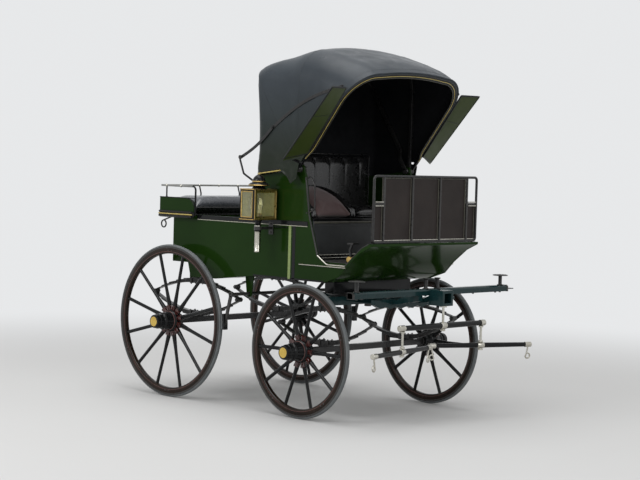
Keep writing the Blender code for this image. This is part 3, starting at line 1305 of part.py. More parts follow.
def build_wing(side, joint):
    """A leather-covered board beside the front bow, turned a little forward at its head."""
    inner, outer = HOOD_HALF_WIDTH + GAP, HOOD_HALF_WIDTH + WING_WIDTH
    low, high = WING_LOW + LEATHER_START * 0.4, WING_HIGH
    corners = [(inner, low, 0.0), (outer, WING_LOW, WING_TWIST)]
    corners += [(outer, high + WING_FLARE, -WING_TWIST), (inner, high, 0.0)]
    half = WING_THICKNESS / 2
    shift = BOW_THICKNESS / 2
    vertices = []
    for face in (-half, half):
        for y, s, normal in corners:
            vertices.append(rib_point(FRONT_BOW_ANGLE, side * y, s, normal - shift + face))
    faces = [[0, 1, 2, 3], [7, 6, 5, 4], [0, 1, 5, 4], [1, 2, 6, 5], [2, 3, 7, 6], [3, 0, 4, 7]]
    mount_piece(make_solid(f"hood_wing_{side_word(side)}", vertices, faces, "flap_leather"), joint)


def make_strap(name, path, width, y, finish):
    """A flat iron of even width along a path in the side view, with round ends."""
    points = [Vector(point) for point in path]
    left, right = [], []
    for i, point in enumerate(points):
        heading = (points[min(i + 1, len(points) - 1)] - points[max(i - 1, 0)]).normalized()
        across = Vector((-heading.y, heading.x)) * width / 2
        left.append(tuple(point + across))
        right.append(tuple(point - across))
    head, tail = points[-1], points[0]
    ahead = math.degrees(math.atan2((head - points[-2]).y, (head - points[-2]).x))
    behind = math.degrees(math.atan2((points[1] - tail).y, (points[1] - tail).x))
    outline = right + arc(head, width / 2, ahead - 90, ahead + 90, 6)[1:-1] + left[::-1]
    outline += arc(tail, width / 2, behind + 90, behind + 270, 6)[1:-1]
    return make_prism(name, outline, y[0], y[1], "Y", finish)


def build_joint_irons(side, root, hood_front):
    """The two irons that lock the hood open. They meet at the knuckle, where this linkage is left open."""
    word = side_word(side)
    first = HOOD_HALF_WIDTH + GAP
    upper_y = span(side * first, side * (first + IRON_THICKNESS))
    lower_y = span(side * (first + IRON_THICKNESS + GAP), side * (first + 2 * IRON_THICKNESS + GAP))

    knuckle = (KNUCKLE_X, KNUCKLE_Z)
    lower_joint = make_joint(f"iron_lower_{word}_axis", (PROP_X, side * first, PROP_Z), root)
    path = bowed_path((PROP_X, PROP_Z), knuckle, -LOWER_IRON_BOW, 5)
    strap = make_strap(f"hood_iron_lower_{word}", path, IRON_WIDTH, lower_y, "black_iron")
    mount_piece(strap, lower_joint)

    upper_joint = make_joint(f"iron_upper_{word}_axis", (IRON_HEAD_X, side * first, IRON_HEAD_Z), hood_front)
    path = bowed_path(knuckle, (IRON_HEAD_X, IRON_HEAD_Z), IRON_BOW, 7)
    strap = make_strap(f"hood_iron_upper_{word}", path, IRON_WIDTH, upper_y, "black_iron")
    mount_piece(strap, upper_joint)


def bowed_path(start, end, bow, steps):
    """Points in the side view from one end to the other, bowed to the left of the way they run."""
    dx, dz = end[0] - start[0], end[1] - start[1]
    length = math.hypot(dx, dz)
    path = []
    for step in range(steps + 1):
        share = step / steps
        bend = bow * math.sin(math.pi * share)
        path.append((start[0] + dx * share - dz / length * bend, start[1] + dz * share + dx / length * bend))
    return path


def build_hood(root):
    pivot = (HOOD_PIVOT_X, 0.0, HOOD_PIVOT_Z)
    front = make_joint("hood_front_axis", pivot, root)
    mid = make_joint("hood_mid_axis", pivot, root)
    rear = make_joint("hood_rear_axis", pivot, root)
    ear_in, ear_out = BODY_HALF_WIDTH - PANEL, BODY_HALF_WIDTH
    mid_foot = (ear_out + FOOT_CLEARANCE, ear_out + FOOT_CLEARANCE + BOW_FOOT_THICKNESS)
    front_foot = (mid_foot[1] + FOOT_CLEARANCE, mid_foot[1] + FOOT_CLEARANCE + BOW_FOOT_THICKNESS)
    rear_foot = (ear_in - FOOT_CLEARANCE - BOW_FOOT_THICKNESS, ear_in - FOOT_CLEARANCE)
    build_bow("hood_bow_front", FRONT_BOW_ANGLE, FRONT_BOW_DEPTH, front_foot, front)
    build_bow("hood_bow_mid", MID_BOW_ANGLE, BOW_DEPTH, mid_foot, mid)
    build_bow("hood_bow_rear", REAR_BOW_ANGLE, BOW_DEPTH, rear_foot, rear)
    edge = math.degrees(math.atan(BOW_THICKNESS / 2 / FRONT_BOW_REACH))
    level = bow_half_angle()
    between = spread_evenly(FRONT_BOW_ANGLE + level, MID_BOW_ANGLE - level, 3)
    ribs = [FRONT_BOW_ANGLE - edge, *between, MID_BOW_ANGLE - HOOD_SEAM]
    build_hood_leather("hood_leather_front", ribs, front)
    drop = (HOOD_PIVOT_Z - SEAT_SIDE_TOP_Z - GAP) / (HOOD_PIVOT_X - BACK_FOOT_X)
    between = spread_evenly(MID_BOW_ANGLE + level, REAR_BOW_ANGLE - level, 3)
    back = spread_evenly(REAR_BOW_ANGLE + level, 180, 3)
    ribs = [MID_BOW_ANGLE + HOOD_SEAM, *between, *back, 180 + math.degrees(math.atan(drop))]
    build_hood_leather("hood_leather_rear", ribs, root)
    for side in (RIGHT, LEFT):
        build_wing(side, front)
        build_joint_irons(side, root, front)


def spread_evenly(start, end, steps):
    return [mix(start, end, step / steps) for step in range(steps + 1)]


# Lamps
def build_lamp(side, root):
    """A square carriage lamp: a side window, a glazed door at the front, a chimney and a candle tube."""
    word = side_word(side)
    x = (LAMP_X - LAMP_DEPTH / 2, LAMP_X + LAMP_DEPTH / 2 - LAMP_DOOR_THICKNESS - GAP)
    y = span(side * (LAMP_Y - LAMP_WIDTH / 2), side * (LAMP_Y + LAMP_WIDTH / 2))
    z = (LAMP_BOTTOM_Z, LAMP_TOP_Z)
    case = make_box(f"lamp_{word}", x, y, z, "black_iron")
    wall, frame = LAMP_WALL, LAMP_FRAME
    inner_z = (z[0] + wall, z[1] - wall)
    inside = make_box("inside", (x[0] + wall, x[1] + 0.05), (y[0] + wall, y[1] - wall), inner_z, "black_iron")
    combine(case, [inside], "DIFFERENCE")
    outer = side * (LAMP_Y + LAMP_WIDTH / 2)
    window_x, window_z = (x[0] + frame, x[1] - frame), (z[0] + frame, z[1] - frame)
    window = make_box("window", window_x, (outer - 0.02, outer + 0.02), window_z, "black_iron")
    combine(case, [window], "DIFFERENCE")
    top = LAMP_TOP_Z - BITE
    rise = CHIMNEY_TOP_Z - top
    chimney = [(CHIMNEY_RADIUS * wide, rise * share) for wide, share in CHIMNEY_SHAPE]
    chimney = [(0, 0), *chimney, (0, rise)]
    pieces = [make_turned("chimney", chimney, (LAMP_X, side * LAMP_Y, top), "Z", 12, "black_iron")]
    start = LAMP_BOTTOM_Z + BITE
    fall = start - TAIL_BOTTOM_Z
    tail = [(TAIL_RADIUS * wide, -fall * share) for wide, share in TAIL_SHAPE]
    tail = [(0, 0), *tail, (0, -fall)]
    pieces.append(make_turned("tail", tail, (LAMP_X, side * LAMP_Y, start), "Z", 8, "black_iron"))
    arm_z = LAMP_BOTTOM_Z - fall * 0.27
    against = side * (BODY_HALF_WIDTH + GAP)
    arm, pad = LAMP_ARM_HALF, LAMP_PAD_HALF
    arm_x, pad_x = (LAMP_X - arm[0], LAMP_X + arm[0]), (LAMP_X - pad[0], LAMP_X + pad[0])
    arm_y, pad_y = span(against, side * LAMP_Y), span(against, side * (BODY_HALF_WIDTH + LAMP_PAD_THICKNESS))
    pieces.append(make_box("arm", arm_x, arm_y, (arm_z - arm[1], arm_z + arm[1]), "black_iron"))
    pieces.append(make_box("pad", pad_x, pad_y, (arm_z - pad[1], arm_z + pad[1]), "black_iron"))
    mount_piece(combine(case, pieces), root)

    front = x[1] + GAP
    hinge_y = side * (LAMP_Y - LAMP_WIDTH / 2)
    hinge = (front + LAMP_DOOR_THICKNESS, hinge_y, (z[0] + z[1]) / 2)
    door_joint = make_joint(f"lamp_door_{word}_axis", hinge, root)
    door = make_box(f"lamp_door_{word}", (front, front + LAMP_DOOR_THICKNESS), y, z, "brass")
    mount_piece(door, door_joint)


# Brake
def shoe_face_x():
    """Where the rear tyre's front face is at the shoe's height, plus the brake's clearance."""
    rise = SHOE_Z - REAR_WHEEL_RADIUS
    return -WHEELBASE + math.sqrt(REAR_WHEEL_RADIUS**2 - rise**2) + BRAKE_CLEARANCE


def build_brake(root):
    """A cross shaft in two hangers, with an arm and a block before each rear tyre, and the driver's pedal."""
    joint = make_joint("brake_shaft_axis", (BRAKE_SHAFT_X, 0.0, BRAKE_SHAFT_Z), root)
    pivot = (BRAKE_SHAFT_X, 0, BRAKE_SHAFT_Z)
    reach = TRACK / 2
    shaft = make_pin("brake_shaft", pivot, "Y", -reach, reach, BRAKE_SHAFT_RADIUS, 10, "black_iron")
    pieces = []
    face = shoe_face_x()
    for side in (RIGHT, LEFT):
        y = side * reach
        block = span(y - TYRE_WIDTH * 0.55, y + TYRE_WIDTH * 0.55)
        radius = REAR_WHEEL_RADIUS + BRAKE_CLEARANCE
        half = math.degrees(SHOE_HEIGHT / 2 / radius)
        tilt = math.degrees(math.asin((SHOE_Z - REAR_WHEEL_RADIUS) / radius))
        centre = (-WHEELBASE, REAR_WHEEL_RADIUS)
        outline = arc(centre, radius, tilt - half, tilt + half, 4)
        outline += arc(centre, radius + SHOE_THICKNESS, tilt + half, tilt - half, 2)
        pieces.append(make_prism("shoe", outline, block[0], block[1], "Y", "black_paint"))
        arm = [(BRAKE_SHAFT_X - 0.010, BRAKE_SHAFT_Z), (face + 0.014, SHOE_Z - 0.02)]
        arm += [(face + 0.032, SHOE_Z - 0.02), (BRAKE_SHAFT_X + 0.010, BRAKE_SHAFT_Z)]
        pieces.append(make_prism("arm", arm, y - 0.007, y + 0.007, "Y", "black_iron"))
    mount_piece(combine(shaft, pieces), joint)

    pedal_joint = make_joint("brake_pedal_axis", (PEDAL_X, PEDAL_Y, PEDAL_Z), root)
    top = PEDAL_Z + PEDAL_ARM
    path = [(PEDAL_X, PEDAL_Z), (PEDAL_X - 0.010, PEDAL_Z + PEDAL_ARM * 0.6), (PEDAL_X + 0.012, top)]
    arm_y = (PEDAL_Y - PEDAL_THICKNESS / 2, PEDAL_Y + PEDAL_THICKNESS / 2)
    pedal = make_strap("brake_pedal", path, PEDAL_WIDTH, arm_y, "brass")
    tread_x = (PEDAL_X - 0.008, PEDAL_X - 0.008 + TREAD_LENGTH)
    tread_y = (PEDAL_Y - TREAD_WIDTH / 2, PEDAL_Y + TREAD_WIDTH / 2)
    tread = make_box("tread", tread_x, tread_y, (top - BITE, top - BITE + TREAD_THICKNESS), "brass")
    barrel_radius = PEDAL_Z - FRONT_FLOOR_Z - GAP
    half = BARREL_LENGTH / 2
    barrel = make_pin("barrel", (PEDAL_X, PEDAL_Y, PEDAL_Z), "Y", -half, half, barrel_radius, 12, "brass")
    mount_piece(combine(pedal, [tread, barrel]), pedal_joint)


def build_running_gear(root):
    steer = make_joint("steer_axis", (0.0, 0.0, FRONT_WHEEL_RADIUS), root)
    build_turntable(steer, root)
    build_trees(steer)
    front = make_joint("front_axle_slide", (0.0, 0.0, FRONT_WHEEL_RADIUS), steer)
    rear = make_joint("rear_axle_slide", (-WHEELBASE, 0.0, REAR_WHEEL_RADIUS), root)
    build_axle("front_axle", 0.0, FRONT_WHEEL_RADIUS, front)
    build_axle("rear_axle", -WHEELBASE, REAR_WHEEL_RADIUS, rear)
    for side in (RIGHT, LEFT):
        word = side_word(side)
        y = side * SPRING_SPREAD
        shape = (FRONT_SPRING_EYE_Z, FRONT_SPRING_REACH, FRONT_SPRING_RISE, FRONT_SPRING_TILT)
        build_spring(f"front_spring_{word}", (0.0, FRONT_WHEEL_RADIUS), *shape, y, steer)
        shape = (REAR_SPRING_EYE_Z, REAR_SPRING_REACH, REAR_SPRING_RISE, 0.0)
        build_spring(f"rear_spring_{word}", (-WHEELBASE, REAR_WHEEL_RADIUS), *shape, y, root)
        hub = side * TRACK / 2
        front_wheel = make_joint(f"wheel_front_{word}_axis", (0.0, hub, FRONT_WHEEL_RADIUS), front)
        rear_wheel = make_joint(f"wheel_rear_{word}_axis", (-WHEELBASE, hub, REAR_WHEEL_RADIUS), rear)
        build_wheel("front", FRONT_WHEEL_RADIUS, FRONT_SPOKES, side, front_wheel)
        build_wheel("rear", REAR_WHEEL_RADIUS, REAR_SPOKES, side, rear_wheel)


def centre_on_origin(root):
    """Moves the carriage so that the middle of its box stands over the origin."""
    bpy.context.view_layer.update()
    corners = []
    for piece in bpy.context.scene.objects:
        if piece.type == "MESH":
            corners += [piece.matrix_world @ Vector(corner) for corner in piece.bound_box]
    low = [min(corner[axis] for corner in corners) for axis in range(3)]
    high = [max(corner[axis] for corner in corners) for axis in range(3)]
    root.location = (-(low[0] + high[0]) / 2, -(low[1] + high[1]) / 2, -low[2])


def main():
    for old in list(bpy.data.objects):
        bpy.data.objects.remove(old)
    root = make_joint("phaeton", (0.0, 0.0, 0.0))
    build_running_gear(root)
    build_floor(root)
    for side in (RIGHT, LEFT):
        build_body_side(side, root)
        build_lamp(side, root)
    build_panels(root)
    build_toe_board(root)
    build_rear_seat(root)
    build_front_cushions(root)
    build_squab(root)
    build_dash(root)
    build_hood(root)
    build_brake(root)
    centre_on_origin(root)
    bpy.context.view_layer.update()


main()
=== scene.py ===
# Demi mail phaeton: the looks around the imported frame, in metres, with +X forward and +Y to its left
import json
import math

import bmesh
import bpy
from mathutils import Matrix, Vector, noise

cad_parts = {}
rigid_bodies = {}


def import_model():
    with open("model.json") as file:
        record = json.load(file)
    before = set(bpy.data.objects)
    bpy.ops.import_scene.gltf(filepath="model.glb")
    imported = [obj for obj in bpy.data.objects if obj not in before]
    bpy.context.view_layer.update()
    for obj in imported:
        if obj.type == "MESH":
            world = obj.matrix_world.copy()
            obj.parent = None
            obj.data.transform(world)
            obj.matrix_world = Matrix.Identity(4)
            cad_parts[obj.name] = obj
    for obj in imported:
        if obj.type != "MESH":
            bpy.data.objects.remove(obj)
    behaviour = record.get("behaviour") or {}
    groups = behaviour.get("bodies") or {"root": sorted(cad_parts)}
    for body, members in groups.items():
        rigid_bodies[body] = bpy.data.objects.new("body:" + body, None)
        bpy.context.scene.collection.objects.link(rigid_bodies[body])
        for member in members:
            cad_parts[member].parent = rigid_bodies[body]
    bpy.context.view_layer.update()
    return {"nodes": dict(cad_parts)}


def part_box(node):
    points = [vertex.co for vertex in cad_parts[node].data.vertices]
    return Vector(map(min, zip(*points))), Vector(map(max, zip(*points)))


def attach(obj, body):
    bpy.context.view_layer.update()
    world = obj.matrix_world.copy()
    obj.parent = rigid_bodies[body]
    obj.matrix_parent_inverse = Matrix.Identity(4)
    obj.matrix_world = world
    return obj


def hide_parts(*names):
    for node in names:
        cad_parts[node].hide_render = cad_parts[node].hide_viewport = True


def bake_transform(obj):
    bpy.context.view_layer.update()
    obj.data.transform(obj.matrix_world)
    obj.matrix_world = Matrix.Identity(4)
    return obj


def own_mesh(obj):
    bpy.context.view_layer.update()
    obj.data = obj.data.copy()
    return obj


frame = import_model()
packedNodes = set(frame["nodes"].values())
for old in list(bpy.data.objects):  # the startup scene's own cube, lamp and camera
    if old.type in ("CAMERA", "LIGHT") or (old.type == "MESH" and old not in packedNodes):
        bpy.data.objects.remove(old)
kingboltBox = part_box("kingbolt")
origin = (kingboltBox[0] + kingboltBox[1]) / 2  # measures below count from the ground under the kingbolt
origin.z = 0.0
right, left = -1, 1
sideWords = {right: "right", left: "left"}
print("frame loaded:", len(frame["nodes"]), "nodes")


# Node helpers
def addNode(tree, kind, inputs=None, **values):
    node = tree.nodes.new(kind)
    inputs = dict(inputs or {})
    for key, value in values.items():  # lower-case words are properties, the others inputs
        if key[0].islower():
            setattr(node, key, value)
        else:
            inputs[key.replace("_", " ")] = value
    for key, value in inputs.items():  # a socket is linked, a plain value is set
        if isinstance(value, bpy.types.NodeSocket):
            tree.links.new(value, node.inputs[key])
        else:
            node.inputs[key].default_value = value
    return node


def mixColours(tree, share, first, second):
    return addNode(tree, "ShaderNodeMix", {0: share, 6: first, 7: second}, data_type="RGBA").outputs[2]


def maths(tree, operation, first, second):
    return addNode(tree, "ShaderNodeMath", {0: first, 1: second}, operation=operation).outputs[0]


def seenRays(tree):  # rays from the camera, in gloss and through glass
    rays = addNode(tree, "ShaderNodeLightPath").outputs
    seen = maths(tree, "MAXIMUM", rays["Is Camera Ray"], rays["Is Glossy Ray"])
    return maths(tree, "MAXIMUM", seen, rays["Is Transmission Ray"])


def newMaterial(name):
    material = bpy.data.materials.new(name)
    material.use_nodes = True
    tree = material.node_tree
    return material, tree, tree.nodes["Principled BSDF"], addNode(tree, "ShaderNodeTexCoord").outputs["Object"]


def addObject(name, data):
    item = bpy.data.objects.new(name, data)
    bpy.context.scene.collection.objects.link(item)
    return item


def spanned(tree, socket, low, high, start=0.3, end=0.7):  # a noise's middle range spread between two values
    node = addNode(
        tree, "ShaderNodeMapRange", {"Value": socket}, From_Min=start, From_Max=end, To_Min=low, To_Max=high
    )
    return node.outputs[0]


# Finishes: patch is the size of the colour's drift, grain the fine relief, fold the broad one
finishes = {
    "greenPaint": {
        "colour": (0.0085, 0.0265, 0.0032), "second": (0.0120, 0.0360, 0.0050), "patch": 1.6, "rough": (0.10, 0.20),
        "coat": 0.12, "gloss": 0.03
    },
    "flapGreen": {
        "colour": (0.030, 0.046, 0.008), "second": (0.040, 0.058, 0.012), "patch": 5.0, "rough": (0.34, 0.50),
        "grain": (900, 0.10), "gloss": 0.25
    },
    "stripeGreen": {
        "colour": (0.17, 0.24, 0.055), "second": (0.22, 0.29, 0.08), "patch": 8.0, "rough": (0.20, 0.34), "coat": 0.6
    },
    "tealPaint": {
        "colour": (0.0050, 0.021, 0.0230), "second": (0.009, 0.033, 0.035), "patch": 4.0, "rough": (0.16, 0.32),
        "coat": 0.20, "gloss": 0.15
    },
    "blackPaint": {
        "colour": (0.0050, 0.0055, 0.0060), "second": (0.0090, 0.0095, 0.0100), "patch": 5.0, "rough": (0.12, 0.26),
        "coat": 0.18, "gloss": 0.12
    },
    "rimPaint": {
        "colour": (0.0075, 0.0055, 0.0040), "second": (0.0240, 0.0130, 0.0075), "patch": 9.0, "rough": (0.14, 0.30),
        "coat": 0.10, "gloss": 0.15
    },
    "redLine": {
        "colour": (0.070, 0.013, 0.008), "second": (0.105, 0.020, 0.012), "patch": 20.0, "rough": (0.22, 0.36),
        "coat": 0.6
    },
    "redTint": {
        "colour": (0.038, 0.0075, 0.0065), "second": (0.060, 0.011, 0.008), "patch": 20.0, "rough": (0.20, 0.34),
        "coat": 0.6
    },
    "goldLine": {
        "colour": (0.46, 0.35, 0.075), "second": (0.58, 0.46, 0.13), "patch": 26.0, "rough": (0.26, 0.42), "coat": 0.4
    },
    "creamLine": {
        "colour": (0.42, 0.42, 0.33), "second": (0.52, 0.51, 0.42), "patch": 24.0, "rough": (0.28, 0.44), "coat": 0.3
    },
    "yellowCap": {
        "colour": (0.52, 0.33, 0.030), "second": (0.62, 0.43, 0.060), "patch": 30.0, "rough": (0.22, 0.40),
        "coat": 0.5
    },
    "blackIron": {
        "colour": (0.0080, 0.0080, 0.0085), "second": (0.0170, 0.0165, 0.0165), "patch": 11.0, "rough": (0.22, 0.44),
        "grain": (420, 0.10), "coat": 0.2, "wear": (0.070, 0.068, 0.064), "gloss": 0.3
    },
    "nickel": {
        "colour": (0.60, 0.585, 0.53), "second": (0.44, 0.42, 0.36), "patch": 17.0, "rough": (0.16, 0.34),
        "metal": 1.0, "grain": (600, 0.05)
    },
    "brass": {
        "colour": (0.66, 0.47, 0.170), "second": (0.52, 0.35, 0.110), "patch": 21.0, "rough": (0.24, 0.38),
        "metal": 1.0
    },
    "railSteel": {
        "colour": (0.36, 0.36, 0.34), "second": (0.26, 0.26, 0.25), "patch": 19.0, "rough": (0.24, 0.40), "metal": 1.0
    },
    # painted reflection: a pale yellow-green diffuse colour in place of the silvered shine inside the lamp
    "lampLining": {
        "colour": (0.40, 0.40, 0.12), "second": (0.62, 0.60, 0.26), "patch": 24.0, "rough": (0.22, 0.40), "coat": 0.3
    },
    "mirror": {
        "colour": (0.78, 0.78, 0.74), "second": (0.68, 0.68, 0.62), "patch": 30.0, "rough": (0.06, 0.14), "metal": 1.0
    },
    "greyRubber": {
        "colour": (0.105, 0.115, 0.120), "second": (0.155, 0.165, 0.168), "patch": 7.0, "rough": (0.60, 0.85),
        "grain": (700, 0.30), "gloss": 0.3
    },
    # painted reflection: the hood's colour is lifted to a pale blue-grey as a painted sky sheen, and its low tone is
    # a painted dark ground reflection towards the foot
    "hoodLeatherPaintedSheen": {
        "colour": (0.0240, 0.0310, 0.0385), "second": (0.0380, 0.0475, 0.0570), "patch": 3.2, "rough": (0.27, 0.43),
        "leather": (330, 0.22), "fold": (7.0, 0.45, 0.004), "gloss": 0.24, "low": (0.0060, 0.0115, 0.0042, 1.78, 2.28)
    },
    "hoodLining": {
        "colour": (0.0065, 0.0072, 0.0085), "second": (0.0105, 0.0110, 0.0125), "patch": 6.0, "rough": (0.72, 0.92),
        "weave": 1500, "fold": (6.0, 0.30, 0.003), "gloss": 0.1
    },
    "wingLeather": {
        "colour": (0.0065, 0.0078, 0.0085), "second": (0.0120, 0.0140, 0.0150), "patch": 5.0, "rough": (0.26, 0.42),
        "leather": (420, 0.16), "gloss": 0.25
    },
    "blackLeather": {
        "colour": (0.0085, 0.0085, 0.0092), "second": (0.0155, 0.0150, 0.0155), "patch": 6.0, "rough": (0.22, 0.36),
        "leather": (360, 0.24), "fold": (16.0, 0.35, 0.003), "coat": 0.45, "coatRough": 0.16, "gloss": 0.45
    },
    # painted highlight: the blue-grey colour above the low heights stands in for the sky's sheen on the cushion's
    # top; below them the leather is black
    "rearLeatherPaintedSheen": {
        "colour": (0.0420, 0.0470, 0.0560), "second": (0.0620, 0.0690, 0.0820), "patch": 6.0, "rough": (0.20, 0.34),
        "leather": (360, 0.20), "fold": (14.0, 0.35, 0.003), "coat": 0.5, "coatRough": 0.14, "gloss": 0.5,
        "low": (0.0080, 0.0080, 0.0088, 1.375, 1.425)
    },
    "fallLeather": {
        "colour": (0.0260, 0.0285, 0.0290), "second": (0.0430, 0.0470, 0.0480), "patch": 8.0, "rough": (0.34, 0.52),
        "leather": (340, 0.24), "fold": (12.0, 0.40, 0.003), "gloss": 0.5
    },
    "seatCloth": {
        "colour": (0.082, 0.047, 0.047), "second": (0.112, 0.068, 0.066), "patch": 7.0, "rough": (0.86, 0.97),
        "weave": 900, "fold": (9.0, 0.30, 0.004), "sheen": 0.35
    },
    "dashLeather": {
        "colour": (0.0165, 0.0115, 0.0100), "second": (0.0260, 0.0190, 0.0165), "patch": 5.0, "rough": (0.30, 0.46),
        "leather": (340, 0.20), "fold": (11.0, 0.25, 0.003), "gloss": 0.18
    },
    "beadLeather": {
        "colour": (0.070, 0.067, 0.052), "second": (0.115, 0.110, 0.088), "patch": 18.0, "rough": (0.26, 0.40),
        "grain": (500, 0.10), "coat": 0.1, "gloss": 0.3
    },
    "thread": {
        "colour": (0.030, 0.029, 0.028), "second": (0.055, 0.053, 0.050), "patch": 40.0, "rough": (0.60, 0.80),
        "grain": (1500, 0.30)
    },
    "floorMat": {
        "colour": (0.020, 0.019, 0.018), "second": (0.034, 0.033, 0.031), "patch": 9.0, "rough": (0.55, 0.80),
        "grain": (260, 0.35)
    },
    "wax": {"colour": (0.72, 0.69, 0.58), "second": (0.80, 0.77, 0.66), "patch": 30.0, "rough": (0.35, 0.50)},
}


shaderInputs = (  # the shader's input, its word in a finish, and the value where a finish doesn't name it
    ("Metallic", "metal", 0.0),
    ("Coat Weight", "coat", 0.0),
    ("Coat Roughness", "coatRough", 0.06),
    ("Specular IOR Level", "gloss", 0.5),
    ("Sheen Weight", "sheen", 0.0),
)


def makeRelief(tree, place, finish):  # one Bump node after another, from the fine grain to the broad folds
    normal = None
    layers = []
    if "grain" in finish:
        scale, strength = finish["grain"]
        noise = addNode(tree, "ShaderNodeTexNoise", {"Vector": place}, Scale=scale, Detail=3.0)
        layers.append((noise.outputs[0], strength, 0.0004))
    if "leather" in finish:
        scale, strength = finish["leather"]
        cells = addNode(tree, "ShaderNodeTexVoronoi", {"Vector": place}, feature="DISTANCE_TO_EDGE", Scale=scale)
        pores = spanned(tree, cells.outputs["Distance"], 0.0, 1.0, 0.0, 0.22)
        layers.append((pores, strength, 0.0005))
    if "weave" in finish:
        threads = []
        for direction in ("X", "Y", "Z"):
            wave = addNode(
                tree, "ShaderNodeTexWave", {"Vector": place}, bands_direction=direction, Scale=finish["weave"] / 20
            )
            threads.append(wave.outputs["Fac"])
        total = maths(tree, "ADD", maths(tree, "MULTIPLY", threads[0], threads[1]), threads[2])
        layers.append((total, 0.20, 0.0006))
    if "fold" in finish:
        scale, strength, deep = finish["fold"]
        noise = addNode(tree, "ShaderNodeTexNoise", {"Vector": place}, Scale=scale, Detail=4.0, Distortion=0.6)
        layers.append((noise.outputs[0], strength, deep))
    for height, strength, deep in layers:
        bump = addNode(tree, "ShaderNodeBump", {"Height": height}, Strength=strength, Distance=deep)
        if normal is not None:
            tree.links.new(normal, bump.inputs["Normal"])
        normal = bump.outputs[0]
    return normal


def makeFinish(name):
    finish = finishes[name]
    material, tree, shader, place = newMaterial(name)
    drift = addNode(tree, "ShaderNodeTexNoise", {"Vector": place}, Scale=finish["patch"], Detail=6.0, Roughness=0.6)
    share = spanned(tree, drift.outputs[0], 0.0, 1.0)
    colour = mixColours(tree, share, (*finish["colour"], 1.0), (*finish["second"], 1.0))
    if "wear" in finish:  # corners rubbed brighter
        edge = addNode(tree, "ShaderNodeNewGeometry").outputs["Pointiness"]
        rubbed = spanned(tree, edge, 0.0, 0.5, 0.52, 0.62)
        colour = mixColours(tree, rubbed, colour, (*finish["wear"], 1.0))
    if "low" in finish:  # painted reflection: a darker tone towards the foot, between two heights, standing in for the dark ground reflected low down and the pale sky higher up
        height = addNode(tree, "ShaderNodeSeparateXYZ", {"Vector": place}).outputs["Z"]
        colour = mixColours(
            tree, spanned(tree, height, 0.0, 1.0, *finish["low"][3:]), (*finish["low"][:3], 1.0), colour
        )
    tree.links.new(colour, shader.inputs["Base Color"])
    smears = addNode(tree, "ShaderNodeTexNoise", {"Vector": place}, Scale=finish["patch"] * 3.3, Detail=5.0)
    tree.links.new(spanned(tree, smears.outputs[0], *finish["rough"]), shader.inputs["Roughness"])
    normal = makeRelief(tree, place, finish)
    if normal is not None:
        tree.links.new(normal, shader.inputs["Normal"])
    for label, key, usual in shaderInputs:
        shader.inputs[label].default_value = finish.get(key, usual)
    return material


def makeGlass():
    material, tree, shader, place = newMaterial("lampGlass")
    ripple = addNode(tree, "ShaderNodeTexNoise", {"Vector": place}, Scale=26.0, Detail=2.0)
    tint = mixColours(
        tree, spanned(tree, ripple.outputs[0], 0.0, 1.0), (0.95, 0.93, 0.72, 1.0), (0.90, 0.89, 0.62, 1.0)
    )
    tree.links.new(tint, shader.inputs["Base Color"])
    bump = addNode(tree, "ShaderNodeBump", {"Height": ripple.outputs[0]}, Strength=0.04, Distance=0.0006)
    tree.links.new(bump.outputs[0], shader.inputs["Normal"])
    shader.inputs["Transmission Weight"].default_value = 0.92
    shader.inputs["Roughness"].default_value = 0.04
    shader.inputs["IOR"].default_value = 1.45
    return material


paints = {name: makeFinish(name) for name in finishes}
paints["lampGlass"] = makeGlass()

# Camera, floor and lights
view = {
    "place": (8.4564, -9.2025, 1.7987), "heading": 134.196, "down": 2.723, "roll": 1.6046, "lens": 99.34,
    "farthest": 200.0
}
studio = {
    "floor": (0.66, 0.66, 0.655),
    "backdrop": (0.80, 0.81, 0.82),
    "fade": (2.4, 7.5),  # metres from the object, over which the floor runs into the backdrop
    "skyLight": 0.50,
    "floorSize": 60.0,
    "aim": (-0.4, 0, 1.1),  # what the lamps point at
    "lamps": (
        ("topLight", (-0.4, -0.5, 8.5), (6.0, 6.0), 330.0),
        ("keyLight", (-1.5, -9.0, 6.0), (5.0, 4.0), 300.0),
        ("fillLight", (9.5, -2.0, 6.0), (4.0, 4.0), 150.0),
    ),
}


def makeCamera():
    turn, down, roll = (math.radians(view[key]) for key in ("heading", "down", "roll"))
    ahead = Vector((math.cos(turn) * math.cos(down), math.sin(turn) * math.cos(down), -math.sin(down)))
    side = ahead.cross(Vector((0, 0, 1))).normalized()
    up = side.cross(ahead)
    side, up = math.cos(roll) * side + math.sin(roll) * up, math.cos(roll) * up - math.sin(roll) * side
    camera = addObject("camera", bpy.data.cameras.new("camera"))
    camera.data.lens = view["lens"]
    camera.data.clip_end = view["farthest"]
    turned = Matrix((side, up, -ahead)).transposed().to_4x4()
    camera.matrix_world = Matrix.Translation(origin + Vector(view["place"])) @ turned
    bpy.context.scene.camera = camera


def makeLamp(name, place, size, watts):
    lamp = bpy.data.lights.new(name, "AREA")
    lamp.shape = "RECTANGLE"
    lamp.size, lamp.size_y = size
    lamp.energy = watts
    light = addObject(name, lamp)
    light.location = origin + Vector(place)
    light.rotation_mode = "QUATERNION"
    light.rotation_quaternion = (Vector(studio["aim"]) + origin - light.location).to_track_quat("-Z", "Y")


def makeWorld():  # the backdrop's colour where it is seen, a plain sky for the rest
    world = bpy.data.worlds.new("studioSky")
    bpy.context.scene.world = world
    world.use_nodes = True
    tree = world.node_tree
    sky = tree.nodes["Background"]
    sky.inputs["Color"].default_value = (1.0, 1.0, 1.0, 1.0)
    sky.inputs["Strength"].default_value = studio["skyLight"]
    pale = addNode(tree, "ShaderNodeBackground", Color=(*studio["backdrop"], 1.0), Strength=1.0)
    both = addNode(tree, "ShaderNodeMixShader", {0: seenRays(tree), 1: sky.outputs[0], 2: pale.outputs[0]})
    tree.links.new(both.outputs[0], tree.nodes["World Output"].inputs["Surface"])


